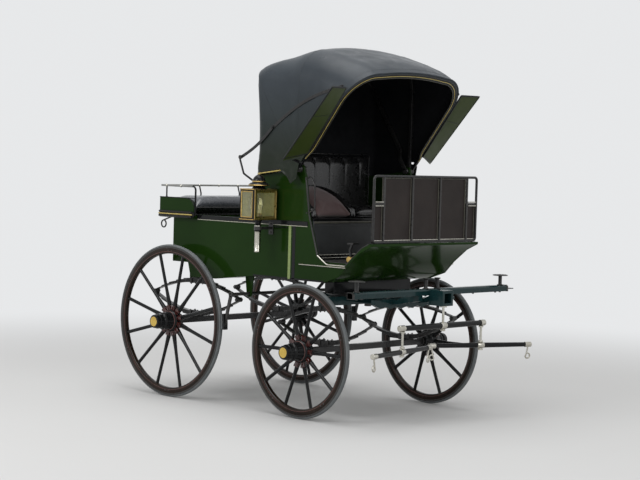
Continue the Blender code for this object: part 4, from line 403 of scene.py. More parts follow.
def makeFloor():
    half = studio["floorSize"] / 2
    mesh = bpy.data.meshes.new("floor")
    mesh.from_pydata([(-half, -half, 0), (half, -half, 0), (half, half, 0), (-half, half, 0)], [], [(0, 1, 2, 3)])
    floor = addObject("floor", mesh)
    material, tree, shader, place = newMaterial("paleFloor")
    drift = addNode(tree, "ShaderNodeTexNoise", {"Vector": place}, Scale=0.8, Detail=3.0)
    pale = (*studio["floor"], 1.0)
    colour = mixColours(tree, drift.outputs[0], pale, tuple(0.97 * value for value in pale[:3]) + (1.0,))
    tree.links.new(colour, shader.inputs["Base Color"])
    shader.inputs["Roughness"].default_value = 0.9
    shader.inputs["Specular IOR Level"].default_value = 0.1
    distance = addNode(tree, "ShaderNodeVectorMath", {0: place}, operation="LENGTH").outputs["Value"]
    low, high = studio["fade"]
    away = addNode(
        tree, "ShaderNodeMapRange", {"Value": distance}, interpolation_type="SMOOTHSTEP", From_Min=low, From_Max=high
    )
    share = maths(tree, "MULTIPLY", away.outputs[0], seenRays(tree))
    glow = addNode(tree, "ShaderNodeEmission", Color=(*studio["backdrop"], 1.0), Strength=1.0)
    both = addNode(tree, "ShaderNodeMixShader", {0: share, 1: shader.outputs[0], 2: glow.outputs[0]})
    tree.links.new(both.outputs[0], tree.nodes["Material Output"].inputs["Surface"])
    mesh.materials.append(material)


makeCamera()
makeWorld()
makeFloor()
for lampFacts in studio["lamps"]:
    makeLamp(*lampFacts)
bpy.context.scene.view_settings.view_transform = "Standard"
print("studio ready")


# Shape helpers
def mix(first, second, share):
    return first + (second - first) * share


def span(first, second):
    return (min(first, second), max(first, second))


def clamped(value):
    return min(max(value, 0.0), 1.0)


def smoothed(share):
    return share * share * (3 - 2 * share)


def arc(centre, radius, start, end, steps):
    turns = [math.radians(mix(start, end, step / steps)) for step in range(steps + 1)]
    return [(centre[0] + radius * math.cos(turn), centre[1] + radius * math.sin(turn)) for turn in turns]


def layOut(axis, a, b, along):
    return {"X": (along, a, b), "Y": (a, along, b), "Z": (a, b, along)}[axis]


def makePiece(name, vertices, faces, paint, soft=35):  # a closed mesh piece, its faces turned outwards
    mesh = bpy.data.meshes.new(name)
    mesh.from_pydata([tuple(origin + Vector(vertex)) for vertex in vertices], [], faces)
    work = bmesh.new()
    work.from_mesh(mesh)
    bmesh.ops.recalc_face_normals(work, faces=work.faces)
    work.to_mesh(mesh)
    work.free()
    mesh.materials.append(paints[paint])
    piece = addObject(name, mesh)
    smoothOver(piece, soft)
    return piece


def smoothOver(piece, soft):
    piece.data.shade_smooth()
    piece.data.set_sharp_from_angle(angle=math.radians(soft))


def makePrism(name, outline, low, high, axis, paint):
    count = len(outline)
    vertices = [layOut(axis, a, b, low) for a, b in outline] + [layOut(axis, a, b, high) for a, b in outline]
    faces = [list(range(count)), list(range(2 * count - 1, count - 1, -1))]
    faces += [[i, (i + 1) % count, count + (i + 1) % count, count + i] for i in range(count)]
    return makePiece(name, vertices, faces, paint)


def makeBlock(name, x, y, z, paint):
    return makePrism(name, [(x[0], y[0]), (x[1], y[0]), (x[1], y[1]), (x[0], y[1])], z[0], z[1], "Z", paint)


def makeTurned(name, profile, centre, axis, paint, facets=48, soft=35, bands=None):
    # a profile of (radius, distance); bands gives the paint of some of its faces, by their place in the profile
    closed = profile[0][0] > 0
    vertices, rings = [], []
    for radius, distance in profile:
        if radius == 0:
            rings.append([len(vertices)] * facets)
            vertices.append(Vector(centre) + Vector(layOut(axis, 0.0, 0.0, distance)))
            continue
        rings.append(list(range(len(vertices), len(vertices) + facets)))
        for step in range(facets):
            turn = 2 * math.pi * (step + 0.5) / facets - math.pi / 2
            local = layOut(axis, radius * math.cos(turn), radius * math.sin(turn), distance)
            vertices.append(Vector(centre) + Vector(local))
    faces, which = [], []
    for i in range(len(rings) if closed else len(rings) - 1):
        first, second = rings[i], rings[(i + 1) % len(rings)]
        for step in range(facets):
            after = (step + 1) % facets
            faces.append(list(dict.fromkeys([first[step], first[after], second[after], second[step]])))
            which.append(i)
    piece = makePiece(name, vertices, faces, paint, soft)
    for band, finish in (bands or {}).items():
        slotNumber = addPaint(piece, finish)
        for polygon, i in zip(piece.data.polygons, which):
            if i == band:
                polygon.material_index = slotNumber
    return piece


def ballProfile(radius, count):  # for makeTurned
    turns = [math.pi * i / count for i in range(1, count)]
    return [(0, -radius)] + [(radius * math.sin(t), -radius * math.cos(t)) for t in turns] + [(0, radius)]


def addPaint(piece, paint):
    if paints[paint].name not in piece.data.materials:
        piece.data.materials.append(paints[paint])
    return piece.data.materials.find(paints[paint].name)


def roundCorners(path, radius, steps=6):
    points = [Vector(point) for point in path]
    rounded = [points[0]]
    for before, corner, after in zip(points, points[1:], points[2:]):
        back, ahead = (before - corner).normalized(), (after - corner).normalized()
        half = back.angle(ahead) / 2
        if half > 1.56:
            rounded.append(corner)
            continue
        middle = corner + (back + ahead).normalized() * (radius / math.sin(half))
        start = (corner + back * (radius / math.tan(half)) - middle).normalized()
        end = (corner + ahead * (radius / math.tan(half)) - middle).normalized()
        rounded += [middle + radius * start.slerp(end, step / steps) for step in range(steps + 1)]
    return rounded + [points[-1]]


def roundRing(corners, radius):  # a closed line, for makeBars
    return roundCorners([*corners, *corners[:2]], radius, 4)[5:-1]


def joined(name, pieces):  # several pieces as one, with all their finishes
    base = pieces[0]
    for other in pieces:
        for material in other.data.materials:
            if material.name not in base.data.materials:
                base.data.materials.append(material)
    work = bmesh.new()
    for other in pieces:
        renumber = {i: base.data.materials.find(m.name) for i, m in enumerate(other.data.materials)}
        start = len(work.faces)
        work.from_mesh(other.data)
        work.faces.ensure_lookup_table()
        for face in work.faces[start:]:
            face.material_index = renumber[face.material_index]
    mesh = bpy.data.meshes.new(name)
    for material in base.data.materials:
        mesh.materials.append(material)
    work.to_mesh(mesh)
    work.free()
    for other in pieces[1:]:
        bpy.data.objects.remove(other)
    base.data = mesh
    base.name = name
    return base


def softenEdges(piece, width, segments=2, angle=32):  # a small rounding on every corner, applied
    bevel = piece.modifiers.new("edges", "BEVEL")
    bevel.width = width
    bevel.segments = segments
    bevel.limit_method = "ANGLE"
    bevel.angle_limit = math.radians(angle)
    bevel.harden_normals = True
    keepResult(piece)
    return piece


def keepResult(piece):
    bpy.context.view_layer.update()
    graph = bpy.context.evaluated_depsgraph_get()
    piece.data = bpy.data.meshes.new_from_object(piece.evaluated_get(graph))
    piece.modifiers.clear()
    return piece


def softBlock(name, x, y, z, paint, width, segments=2):
    return softenEdges(makeBlock(name, x, y, z, paint), width, segments)


def softPrism(name, outline, low, high, axis, paint, width, segments=2):
    return softenEdges(makePrism(name, outline, low, high, axis, paint), width, segments)


def paintAll(mesh, paint):
    mesh.materials.clear()
    mesh.materials.append(paints[paint])
    mesh.polygons.foreach_set("material_index", [0] * len(mesh.polygons))


def setOn(piece, body, *nodes, paint=None):  # the piece rides a body and stands for nodes, which it hides
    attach(piece, body)
    if nodes:
        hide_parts(*nodes)
    if paint is None:
        paint = piece.data.materials[0].name
    return piece


def softNode(node, paint, width, segments):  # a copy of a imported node's shape with rounded edges
    mesh = frame["nodes"][node].data.copy()
    work = bmesh.new()
    work.from_mesh(mesh)
    bmesh.ops.remove_doubles(work, verts=work.verts, dist=0.00003)
    bmesh.ops.dissolve_limit(work, angle_limit=math.radians(0.8), verts=work.verts, edges=work.edges)
    work.to_mesh(mesh)
    work.free()
    paintAll(mesh, paint)
    piece = addObject(node + "_dressed", mesh)
    smoothOver(piece, 35)
    return softenEdges(piece, width, segments)


def dressNode(node, body, paint, width, segments=2):
    return setOn(softNode(node, paint, width, segments), body, node)


# Geometry Nodes: each tree is built once, and its modifier's result is kept as a plain mesh
def newTree(name, inputs):
    tree = bpy.data.node_groups.new(name, "GeometryNodeTree")
    tree.interface.new_socket("Geometry", in_out="INPUT", socket_type="NodeSocketGeometry")
    for label, kind, value in inputs:
        socket = tree.interface.new_socket(label, in_out="INPUT", socket_type="NodeSocket" + kind)
        if value is not None:
            socket.default_value = value
    tree.interface.new_socket("Geometry", in_out="OUTPUT", socket_type="NodeSocketGeometry")
    start = tree.nodes.new("NodeGroupInput")
    return tree, start.outputs


def endTree(tree, geometry, given):
    smooth = addNode(tree, "GeometryNodeSetShadeSmooth", {"Geometry": geometry})
    realised = addNode(tree, "GeometryNodeRealizeInstances", {"Geometry": smooth.outputs[0]})
    painted = {"Geometry": realised.outputs[0], "Material": given["Finish"]}
    painted = addNode(tree, "GeometryNodeSetMaterial", painted)
    addNode(tree, "NodeGroupOutput", {0: painted.outputs[0]})
    return tree


def runTree(piece, tree, paint, soft=35, **values):
    modifier = piece.modifiers.new("shape", "NODES")
    modifier.node_group = tree
    sockets = {item.name: item.identifier for item in tree.interface.items_tree if item.in_out == "INPUT"}
    modifier[sockets["Finish"]] = paints[paint]
    for label, value in values.items():
        modifier[sockets[label]] = value
    keepResult(piece)
    paintAll(piece.data, paint)
    smoothOver(piece, soft)
    return piece


def makePathMesh(name, paths, closed=False):  # the lines that a tree follows
    vertices, edges = [], []
    for path in paths:
        first = len(vertices)
        vertices += [tuple(origin + Vector(point)) for point in path]
        edges += [(first + i, first + i + 1) for i in range(len(path) - 1)]
        if closed:
            edges.append((len(vertices) - 1, first))
    mesh = bpy.data.meshes.new(name)
    mesh.from_pydata(vertices, edges, [])
    return addObject(name, mesh)


def makeBarTree():  # a round bar, bead or piping along each line
    tree, given = newTree(
        "roundBar", [("Radius", "Float", 0.006), ("Sides", "Int", 12), ("Finish", "Material", None)]
    )
    curve = addNode(tree, "GeometryNodeMeshToCurve", {"Mesh": given["Geometry"]})
    ring = addNode(
        tree, "GeometryNodeCurvePrimitiveCircle", {"Resolution": given["Sides"], "Radius": given["Radius"]}
    )
    links = {"Curve": curve.outputs[0], "Profile Curve": ring.outputs[0]}
    bar = addNode(tree, "GeometryNodeCurveToMesh", links, Fill_Caps=True)
    return endTree(tree, bar.outputs[0], given)


def makeStitchTree():  # small rounded stitches lying along each line
    inputs = [
        ("Length", "Float", 0.006), ("Pitch", "Float", 0.009), ("Thickness", "Float", 0.0006),
        ("Finish", "Material", None)
    ]
    tree, given = newTree("stitches", inputs)
    curve = addNode(tree, "GeometryNodeMeshToCurve", {"Mesh": given["Geometry"]})
    links = {"Curve": curve.outputs[0], "Length": given["Pitch"]}
    points = addNode(tree, "GeometryNodeCurveToPoints", links, mode="LENGTH")
    links = {"Radius": given["Thickness"], "Depth": given["Length"]}
    thread = addNode(tree, "GeometryNodeMeshCylinder", links, Vertices=6)
    links = {
        "Points": points.outputs["Points"], "Instance": thread.outputs["Mesh"], "Rotation": points.outputs["Rotation"]
    }
    stitches = addNode(tree, "GeometryNodeInstanceOnPoints", links)
    return endTree(tree, stitches.outputs[0], given)


def makeHeadTree():  # bolt, nut, rivet or screw heads, one on each point along its stored direction
    inputs = [
        ("Radius", "Float", 0.006), ("Height", "Float", 0.004), ("Sides", "Int", 6), ("Finish", "Material", None)
    ]
    tree, given = newTree("heads", inputs)
    links = {"Vertices": given["Sides"], "Radius Bottom": given["Radius"], "Depth": given["Height"]}
    links["Radius Top"] = maths(tree, "MULTIPLY", given["Radius"], 0.72)
    head = addNode(tree, "GeometryNodeMeshCone", links)
    facing = addNode(tree, "GeometryNodeInputNamedAttribute", data_type="FLOAT_VECTOR", Name="facing")
    turned = addNode(tree, "FunctionNodeAlignRotationToVector", {"Vector": facing.outputs[0]}, axis="Z")
    points = addNode(tree, "GeometryNodeMeshToPoints", {"Mesh": given["Geometry"]})
    links = {"Points": points.outputs[0], "Instance": head.outputs["Mesh"], "Rotation": turned.outputs[0]}
    heads = addNode(tree, "GeometryNodeInstanceOnPoints", links)
    return endTree(tree, heads.outputs[0], given)


trees = {"bar": makeBarTree(), "stitch": makeStitchTree(), "head": makeHeadTree()}


def makeBars(name, paths, radius, paint, sides=12, closed=False):
    return runTree(makePathMesh(name, paths, closed), trees["bar"], paint, 50, Radius=radius, Sides=sides)


def makeStitches(name, paths, pitch=0.009):
    return runTree(
        makePathMesh(name, paths), trees["stitch"], "thread", 60, Length=0.0055, Pitch=pitch, Thickness=0.0006
    )


def makeHeads(name, spots, radius, height, sides=6):  # spots are (point, direction)
    piece = makePathMesh(name, [[spot] for spot, _ in spots])
    facing = piece.data.attributes.new("facing", "FLOAT_VECTOR", "POINT")
    facing.data.foreach_set("vector", [value for _, way in spots for value in Vector(way).normalized()])
    return runTree(piece, trees["head"], "blackIron", 30, Radius=radius, Height=height, Sides=sides)


print("kit ready")


# Wheels
wheels = {
    "front": {"x": 0.0, "radius": 0.463, "spokes": 10},
    "rear": {"x": -1.349, "radius": 0.560, "spokes": 12},
    "halfTrack": 0.675,
    "tyre": (0.034, 0.026),  # width, depth
    "felloe": (0.038, 0.042),
    "nave": 0.080,
    "dish": 0.020,
    "spokeWidths": (0.031, 0.021),  # at the nave and in the middle
    "facets": 96,
    "bore": 0.0225,
    "boreDepth": 0.134,
    "naveShape": (  # share of the nave's radius, distance out from the rim's middle
        (0.60, -0.088), (0.66, -0.084), (0.70, -0.066), (0.78, -0.058), (0.98, -0.044), (1, -0.040), (1, 0.004),
        (0.97, 0.008), (0.90, 0.018), (0.86, 0.021), (0.86, 0.026), (0.80, 0.040), (0.76, 0.066), (0.78, 0.070),
        (0.78, 0.078), (0.70, 0.084), (0.64, 0.096), (0.62, 0.112), (0.68, 0.116), (0.68, 0.126), (0.64, 0.130),
        (0.62, 0.146), (0.60, 0.154), (0.54, 0.159), (0.44, 0.160), (0.43, 0.1592), (0.02, 0.1592), (0.0, 0.1592),
    ),
    "naveBands": {11: "redLine", 27: "yellowCap", 28: "yellowCap", 29: "yellowCap"},
    "tyreFoot": (0.006, 0.86),  # distance out from the channel, share of the half width
    "crown": ((0.012, 0.92), (0.006, 0.86), (0.0015, 0.56), (0, 0.20)),  # distance in from the tread, share
    "rimShape": ((0.017, 1.0), (0.014, 1.0), (0.008, 0.94), (0.002, 0.72), (0, 0.42)),  # out from the rim's inside
    "jointReach": 0.55,  # of the rim's depth, where the bolts of its joints sit
    "jointSpread": 0.035,  # radians
}


def makeSpokeTree():  # oval spokes round a hub on the Y axis, leaning outwards by the dish
    inputs = [("Count", "Int", 12), ("Centre", "Vector", None), ("Inner", "Float", 0.05), ("Outer", "Float", 0.5)]
    inputs += [
        ("Lean", "Float", 0.02), ("Thick", "Float", 0.03), ("Slim", "Float", 0.02), ("Finish", "Material", None)
    ]
    tree, given = newTree("spokes", inputs)
    foot = addNode(tree, "ShaderNodeCombineXYZ", {"Y": given["Lean"], "Z": given["Inner"]})
    head = addNode(tree, "ShaderNodeCombineXYZ", {"Z": given["Outer"]})
    line = addNode(tree, "GeometryNodeCurvePrimitiveLine", {"Start": foot.outputs[0], "End": head.outputs[0]})
    line = addNode(tree, "GeometryNodeResampleCurve", {"Curve": line.outputs[0]}, Count=14)
    along = addNode(tree, "GeometryNodeSplineParameter").outputs["Factor"]
    links = {"Value": along, "To Min": given["Thick"], "To Max": given["Slim"]}
    waist = addNode(tree, "ShaderNodeMapRange", links, interpolation_type="SMOOTHSTEP", From_Min=0.05, From_Max=0.45)
    line = addNode(tree, "GeometryNodeSetCurveRadius", {"Curve": line.outputs[0], "Radius": waist.outputs[0]})
    ring = addNode(tree, "GeometryNodeCurvePrimitiveCircle", Resolution=14, Radius=0.5)
    oval = addNode(tree, "GeometryNodeTransform", {"Geometry": ring.outputs[0]}, Scale=(1.24, 1.0, 1.0))
    links = {"Curve": line.outputs[0], "Profile Curve": oval.outputs[0], "Scale": waist.outputs[0]}
    spoke = addNode(tree, "GeometryNodeCurveToMesh", links, Fill_Caps=True)
    points = addNode(tree, "GeometryNodePoints", {"Count": given["Count"]})
    number = addNode(tree, "GeometryNodeInputIndex").outputs[0]
    share = maths(tree, "DIVIDE", maths(tree, "ADD", number, 0.5), given["Count"])
    turned = addNode(tree, "ShaderNodeCombineXYZ", {"Y": maths(tree, "MULTIPLY", share, -2 * math.pi)})
    links = {"Points": points.outputs[0], "Instance": spoke.outputs[0], "Rotation": turned.outputs[0]}
    spokes = addNode(tree, "GeometryNodeInstanceOnPoints", links)
    placed = addNode(tree, "GeometryNodeTransform", {"Geometry": spokes.outputs[0], "Translation": given["Centre"]})
    return endTree(tree, placed.outputs[0], given)


trees["spoke"] = makeSpokeTree()


def bothSides(profile, middle, half):  # from one side of the rim round to the other
    near = [(r, middle - half * share) for r, share in profile]
    return near + [(r, middle + half * share) for r, share in reversed(profile)]


def makeWheel(place, side):
    facts = wheels[place]
    name = f"{place}_{sideWords[side]}"
    x, radius, count = facts["x"], facts["radius"], facts["spokes"]
    rimY, centre = side * wheels["halfTrack"], (facts["x"], 0.0, facts["radius"])
    wide, deep = wheels["tyre"]
    seat, half = radius - deep, wide / 2
    facets = wheels["facets"]
    foot, share = wheels["tyreFoot"]
    crown = [(seat + foot, share)] + [(radius - inset, share) for inset, share in wheels["crown"]]
    tyre = makeTurned("tyre_" + name + "_rubber", bothSides(crown, rimY, half), centre, "Y", "greyRubber", facets, 50)
    setOn(tyre, "wheel_" + name, "tyre_" + name)
    lip, wall = half + 0.001, half - 0.002
    channel = [(seat, lip), (seat + 0.012, lip), (seat + 0.013, lip - 0.0015)]
    channel += [(seat + 0.013, wall), (seat + 0.004, wall)]
    channel = makeTurned("channel", bothSides(channel, rimY, 1), centre, "Y", "blackIron", facets)
    broad, thick = wheels["felloe"][0] / 2, wheels["felloe"][1]
    inner = seat - thick
    wood = [(seat - 0.0005, 0.96), (seat - 0.003, 1.0)] + [(inner + out, share) for out, share in wheels["rimShape"]]
    rim = bothSides(wood, rimY, broad)
    lines = {2: "redLine", len(rim) - 4: "redLine"}
    felloe = makeTurned("felloe", rim, centre, "Y", "rimPaint", facets, 28, lines)
    nave = makeNave(centre, rimY, side)
    spokes = makePathMesh("spokes", [[(0, 0, 0)]])
    broadest, slimmest = wheels["spokeWidths"]
    values = {"Count": count, "Inner": wheels["nave"] * 0.6, "Outer": inner + 0.008, "Lean": -side * wheels["dish"]}
    values |= {"Thick": broadest, "Slim": slimmest, "Centre": origin + Vector((x, rimY, radius))}
    spokes = runTree(spokes, trees["spoke"], "blackPaint", 40, **values)
    feet = makePathMesh("spokeFeet", [[(0, 0, 0)]])
    values |= {"Outer": wheels["nave"] + 0.034, "Thick": broadest + 0.0016, "Slim": broadest + 0.0004}
    values["Lean"] = -side * wheels["dish"] * 0.95
    feet = runTree(feet, trees["spoke"], "redTint", 40, **values)
    feet.data.transform(Matrix.Translation((0, -side * wheels["dish"] * 0.04, 0)))
    joints = []
    for index in range(count // 2):  # a bolt each side of every joint in the rim
        for offset in (-wheels["jointSpread"], wheels["jointSpread"]):
            turn = 2 * math.pi * index / (count // 2) + offset
            reach = inner + thick * wheels["jointReach"]
            spot = (x + reach * math.sin(turn), rimY + side * broad, radius + reach * math.cos(turn))
            joints.append((spot, (0, side, 0)))
    bolts = makeHeads("rimBolts", joints, 0.0055, 0.003, 8)
    wheel = joined("wheel_" + name + "_woodwork", [felloe, channel, nave, spokes, feet, bolts])
    setOn(wheel, "wheel_" + name, "wheel_" + name, paint="blackPaint")


def makeNave(centre, rimY, side):
    bore, end = wheels["bore"], wheels["naveShape"][0][1]
    shape = [(0.0, wheels["boreDepth"]), (bore, wheels["boreDepth"]), (bore, end)]
    shape += [(wheels["nave"] * share, d) for share, d in wheels["naveShape"]]
    shape = [(r, rimY + side * d) for r, d in shape]
    return makeTurned("nave", shape, centre, "Y", "blackPaint", 48, 28, wheels["naveBands"])


corners = [(place, side) for place in ("front", "rear") for side in (right, left)]
for wheelPlace, wheelSide in corners:
    makeWheel(wheelPlace, wheelSide)
print("wheels ready")

# Elliptic springs
springs = {
    "pin": 0.62,  # share of the eye's radius
    "band": 0.011,  # half of a clip's length
    "spread": 0.420, "leafWidth": 0.045, "leafThick": 0.0065, "leaves": 5, "step": 0.18, "eye": 0.017,
    "eyeWidth": 0.062, "clipLength": 0.100, "clipWall": 0.006, "seat": 0.006, "beam": 0.042,
    "rear": {
        "x": -1.349, "axle": 0.560, "reach": 0.460, "eyeZ": 0.738, "rise": 0.088, "tilt": 0.0, "body": "carriage",
        "fixedZ": 0.8705, "travel": 0.030
    },
    "front": {
        "x": 0.0, "axle": 0.463, "reach": 0.440, "eyeZ": 0.645, "rise": 0.078, "tilt": 3.9, "body": "turntable",
        "fixedZ": 0.7675, "travel": 0.015
    },
}


def makeLeafTree():  # a pack of leaves, each one outside the last and shorter than it
    inputs = [("Leaves", "Int", 5), ("Reach", "Float", 0.4), ("Sag", "Float", 0.08), ("Step", "Float", 0.18)]
    inputs += [("Thick", "Float", 0.006), ("Width", "Float", 0.045), ("Finish", "Material", None)]
    tree, given = newTree("leafPack", inputs)
    line = addNode(tree, "GeometryNodeCurvePrimitiveLine", Start=(-1, 0, 0), End=(1, 0, 0))
    line = addNode(tree, "GeometryNodeResampleCurve", {"Curve": line.outputs[0]}, Count=25)
    pack = addNode(
        tree, "GeometryNodeDuplicateElements", {"Geometry": line.outputs[0], "Amount": given["Leaves"]},
        domain="SPLINE"
    )
    number = pack.outputs["Duplicate Index"]
    stored = addNode(
        tree, "GeometryNodeStoreNamedAttribute", {"Geometry": pack.outputs[0], "Value": number}, data_type="INT",
        domain="CURVE", Name="leaf"
    )
    leaf = addNode(tree, "GeometryNodeInputNamedAttribute", data_type="INT", Name="leaf").outputs[0]
    place = addNode(tree, "ShaderNodeSeparateXYZ", {0: addNode(tree, "GeometryNodeInputPosition").outputs[0]})
    share = maths(tree, "SUBTRACT", 1.0, maths(tree, "MULTIPLY", leaf, given["Step"]))
    along = maths(tree, "MULTIPLY", place.outputs[0], share)
    drop = maths(tree, "SUBTRACT", 1.0, maths(tree, "MULTIPLY", along, along))
    level = maths(tree, "MULTIPLY", drop, given["Sag"])
    height = maths(tree, "ADD", level, maths(tree, "MULTIPLY", maths(tree, "ADD", leaf, 0.5), given["Thick"]))
    spot = addNode(tree, "ShaderNodeCombineXYZ", {"X": maths(tree, "MULTIPLY", along, given["Reach"]), "Z": height})
    bent = addNode(tree, "GeometryNodeSetPosition", {"Geometry": stored.outputs[0], "Position": spot.outputs[0]})
    upright = addNode(tree, "GeometryNodeSetCurveNormal", {"Curve": bent.outputs[0]}, mode="Z_UP")
    slim = maths(tree, "MULTIPLY", given["Thick"], 0.94)
    section = addNode(tree, "GeometryNodeCurvePrimitiveQuadrilateral", {"Width": given["Width"], "Height": slim})
    rounded = addNode(
        tree, "GeometryNodeFilletCurve", {"Curve": section.outputs[0]}, mode="POLY", Count=2, Radius=0.0012
    )
    leaves = addNode(
        tree, "GeometryNodeCurveToMesh", {"Curve": upright.outputs[0], "Profile Curve": rounded.outputs[0]},
        Fill_Caps=True
    )
    return endTree(tree, leaves.outputs[0], given)


trees["leaf"] = makeLeafTree()


def makeSpring(place, side):
    facts = springs[place]
    name = f"{place}_spring_{sideWords[side]}"
    y, thick, count = side * springs["spread"], springs["leafThick"], springs["leaves"]
    seat = facts["axle"] + springs["beam"] / 2
    top = facts["eyeZ"] + facts["rise"] + springs["seat"] + count * thick + springs["clipWall"]
    drop = facts["rise"] - (top - facts["eyeZ"]) + (facts["eyeZ"] - seat)
    turn = Matrix.Rotation(-math.radians(facts["tilt"]), 4, "Y")
    middle = Matrix.Translation(origin + Vector((facts["x"], y, facts["eyeZ"]))) @ turn
    pieces = []
    for sign, sag in ((1, facts["rise"]), (-1, drop)):
        pack = makePathMesh("pack", [[(0, 0, 0)]])
        values = {"Leaves": count, "Reach": facts["reach"], "Sag": sag, "Step": springs["step"], "Thick": thick}
        pack = runTree(pack, trees["leaf"], "blackIron", 30, **values, Width=springs["leafWidth"])
        way = Matrix.Rotation(0 if sign > 0 else math.pi, 4, "X")
        pack.data.transform(middle @ Matrix.Translation((0, 0, sign * springs["seat"])) @ way)
        pieces.append(pack)
    for end in (-1, 1):
        spot = middle @ Vector((end * facts["reach"], 0, 0)) - origin
        half, eye = springs["eyeWidth"] / 2, springs["eye"]
        pin = eye * springs["pin"]
        rod = [(0, -half), (pin, -half), (pin, 0.007 - half), (eye, 0.009 - half)]
        rod += [(r, -d) for r, d in reversed(rod)]
        pieces.append(makeTurned("eye", rod, spot, "Y", "blackIron", 24))
    length, wall, tall = springs["clipLength"], springs["clipWall"], count * thick + 2 * springs["clipWall"]
    nuts = []
    for low, way in ((seat, 1), (top - tall, -1)):
        wide = springs["leafWidth"] / 2 + wall
        x = facts["x"]
        for bolt in (-1, 1):  # two flat clips round the pack, bolted through a plate
            z = (low + 0.0006, low + tall - 0.0006)
            half = springs["band"]
            band = (x + bolt * length / 2 - half - bolt * half, x + bolt * length / 2 + half - bolt * half)
            pieces.append(softBlock("clip", band, (y - wide, y + wide), z, "blackIron", 0.0015))
            for edge in (-1, 1):
                spot = (x + bolt * (length / 2 - half), y + edge * (wide - 0.007), z[1] if way > 0 else z[0])
                nuts.append((spot, (0, 0, way)))
        plate = (low, low + wall) if way > 0 else (low + tall - wall, low + tall)
        pieces.append(
            softBlock("plate", (x - length / 2, x + length / 2), (y - wide, y + wide), plate, "blackIron", 0.001)
        )
    pieces.append(makeHeads("nuts", nuts, 0.0065, 0.007))
    spring = joined(name + "_leaves", pieces)
    setOn(spring, facts["body"], name)
    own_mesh(spring)


for springPlace, springSide in corners:
    makeSpring(springPlace, springSide)
for axleNode in ("front_axle", "rear_axle"):
    dressNode(axleNode, axleNode, "blackIron", 0.003, 3)
print("springs and axles ready")

# Turntable
turntable = {
    "ring": (0.300, 0.260), "ringThick": 0.012, "facets": 120, "bedHalf": 0.045, "bedSpan": 0.400, "bolts": 8
}


def makeRing(name, node, body, extra=()):
    low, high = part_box(node)[0].z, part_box(node)[0].z + turntable["ringThick"]
    outer, inner = turntable["ring"]
    soft = 0.0012
    section = [(inner, low + soft), (inner + soft, low), (outer - soft, low), (outer, low + soft)]
    section += [(outer, high - soft), (outer - soft, high), (inner + soft, high), (inner, high - soft)]
    ring = makeTurned(name, section, (0, 0, 0), "Z", "blackIron", turntable["facets"], 50)
    spots = []
    for index in range(turntable["bolts"]):
        turn = 2 * math.pi * (index + 0.5) / turntable["bolts"]
        reach, z = (inner + outer) / 2, low if node == "ring_lower" else high
        spots.append(((reach * math.cos(turn), reach * math.sin(turn), z), (0, 0, -1 if node == "ring_lower" else 1)))
    heads = makeHeads("ringBolts", spots, 0.0075, 0.004, 12)
    return setOn(joined(name, [ring, heads, *extra]), body, node)


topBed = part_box("top_bed")
timber = makeBlock(
    "timber",
    (-turntable["bedHalf"], turntable["bedHalf"]),
    (-turntable["bedSpan"], turntable["bedSpan"]),
    (topBed[0].z + turntable["ringThick"] - 0.003, topBed[1].z),
    "blackPaint",
)
makeRing("upperRing", "top_bed", "carriage", [softenEdges(timber, 0.004, 3)])
makeRing("lowerRing", "ring_lower", "turntable")
dressNode("front_bed", "turntable", "tealPaint", 0.003, 3)
dressNode("kingbolt", "carriage", "blackIron", 0.0015, 2)

# Splinter bar, pole socket and swingletrees
bars = {
    "splinter": {"x": 0.587, "half": 0.026, "bottom": 0.868, "deep": 0.044, "span": 0.815, "chamfer": 0.012},
    "rollers": {-0.752: 0.055, -0.060: 0.022, 0.060: 0.022, 0.752: 0.055},
    "roller": (0.013, 0.074, 0.006),  # radius, height, thickness of its plate
    "tread": ((-0.028, 0.038), (-0.010, 0.048), (0.010, 0.048), (0.028, 0.038)),  # place and half length of a bar
    "nuts": (-0.70, -0.45, -0.14, 0.14, 0.45, 0.70),
    "trees": {
        "x": 0.700, "mainZ": 0.667, "mainHalf": 0.447, "mainRadius": 0.021, "singleZ": 0.510, "singleHalf": 0.400
    },
    "single": {"radius": 0.018, "spread": 0.412, -1: -12.9, 1: 23.6},
    "ferrule": (0.003, 0.050),
    "hook": (0.0055, 0.100),
}


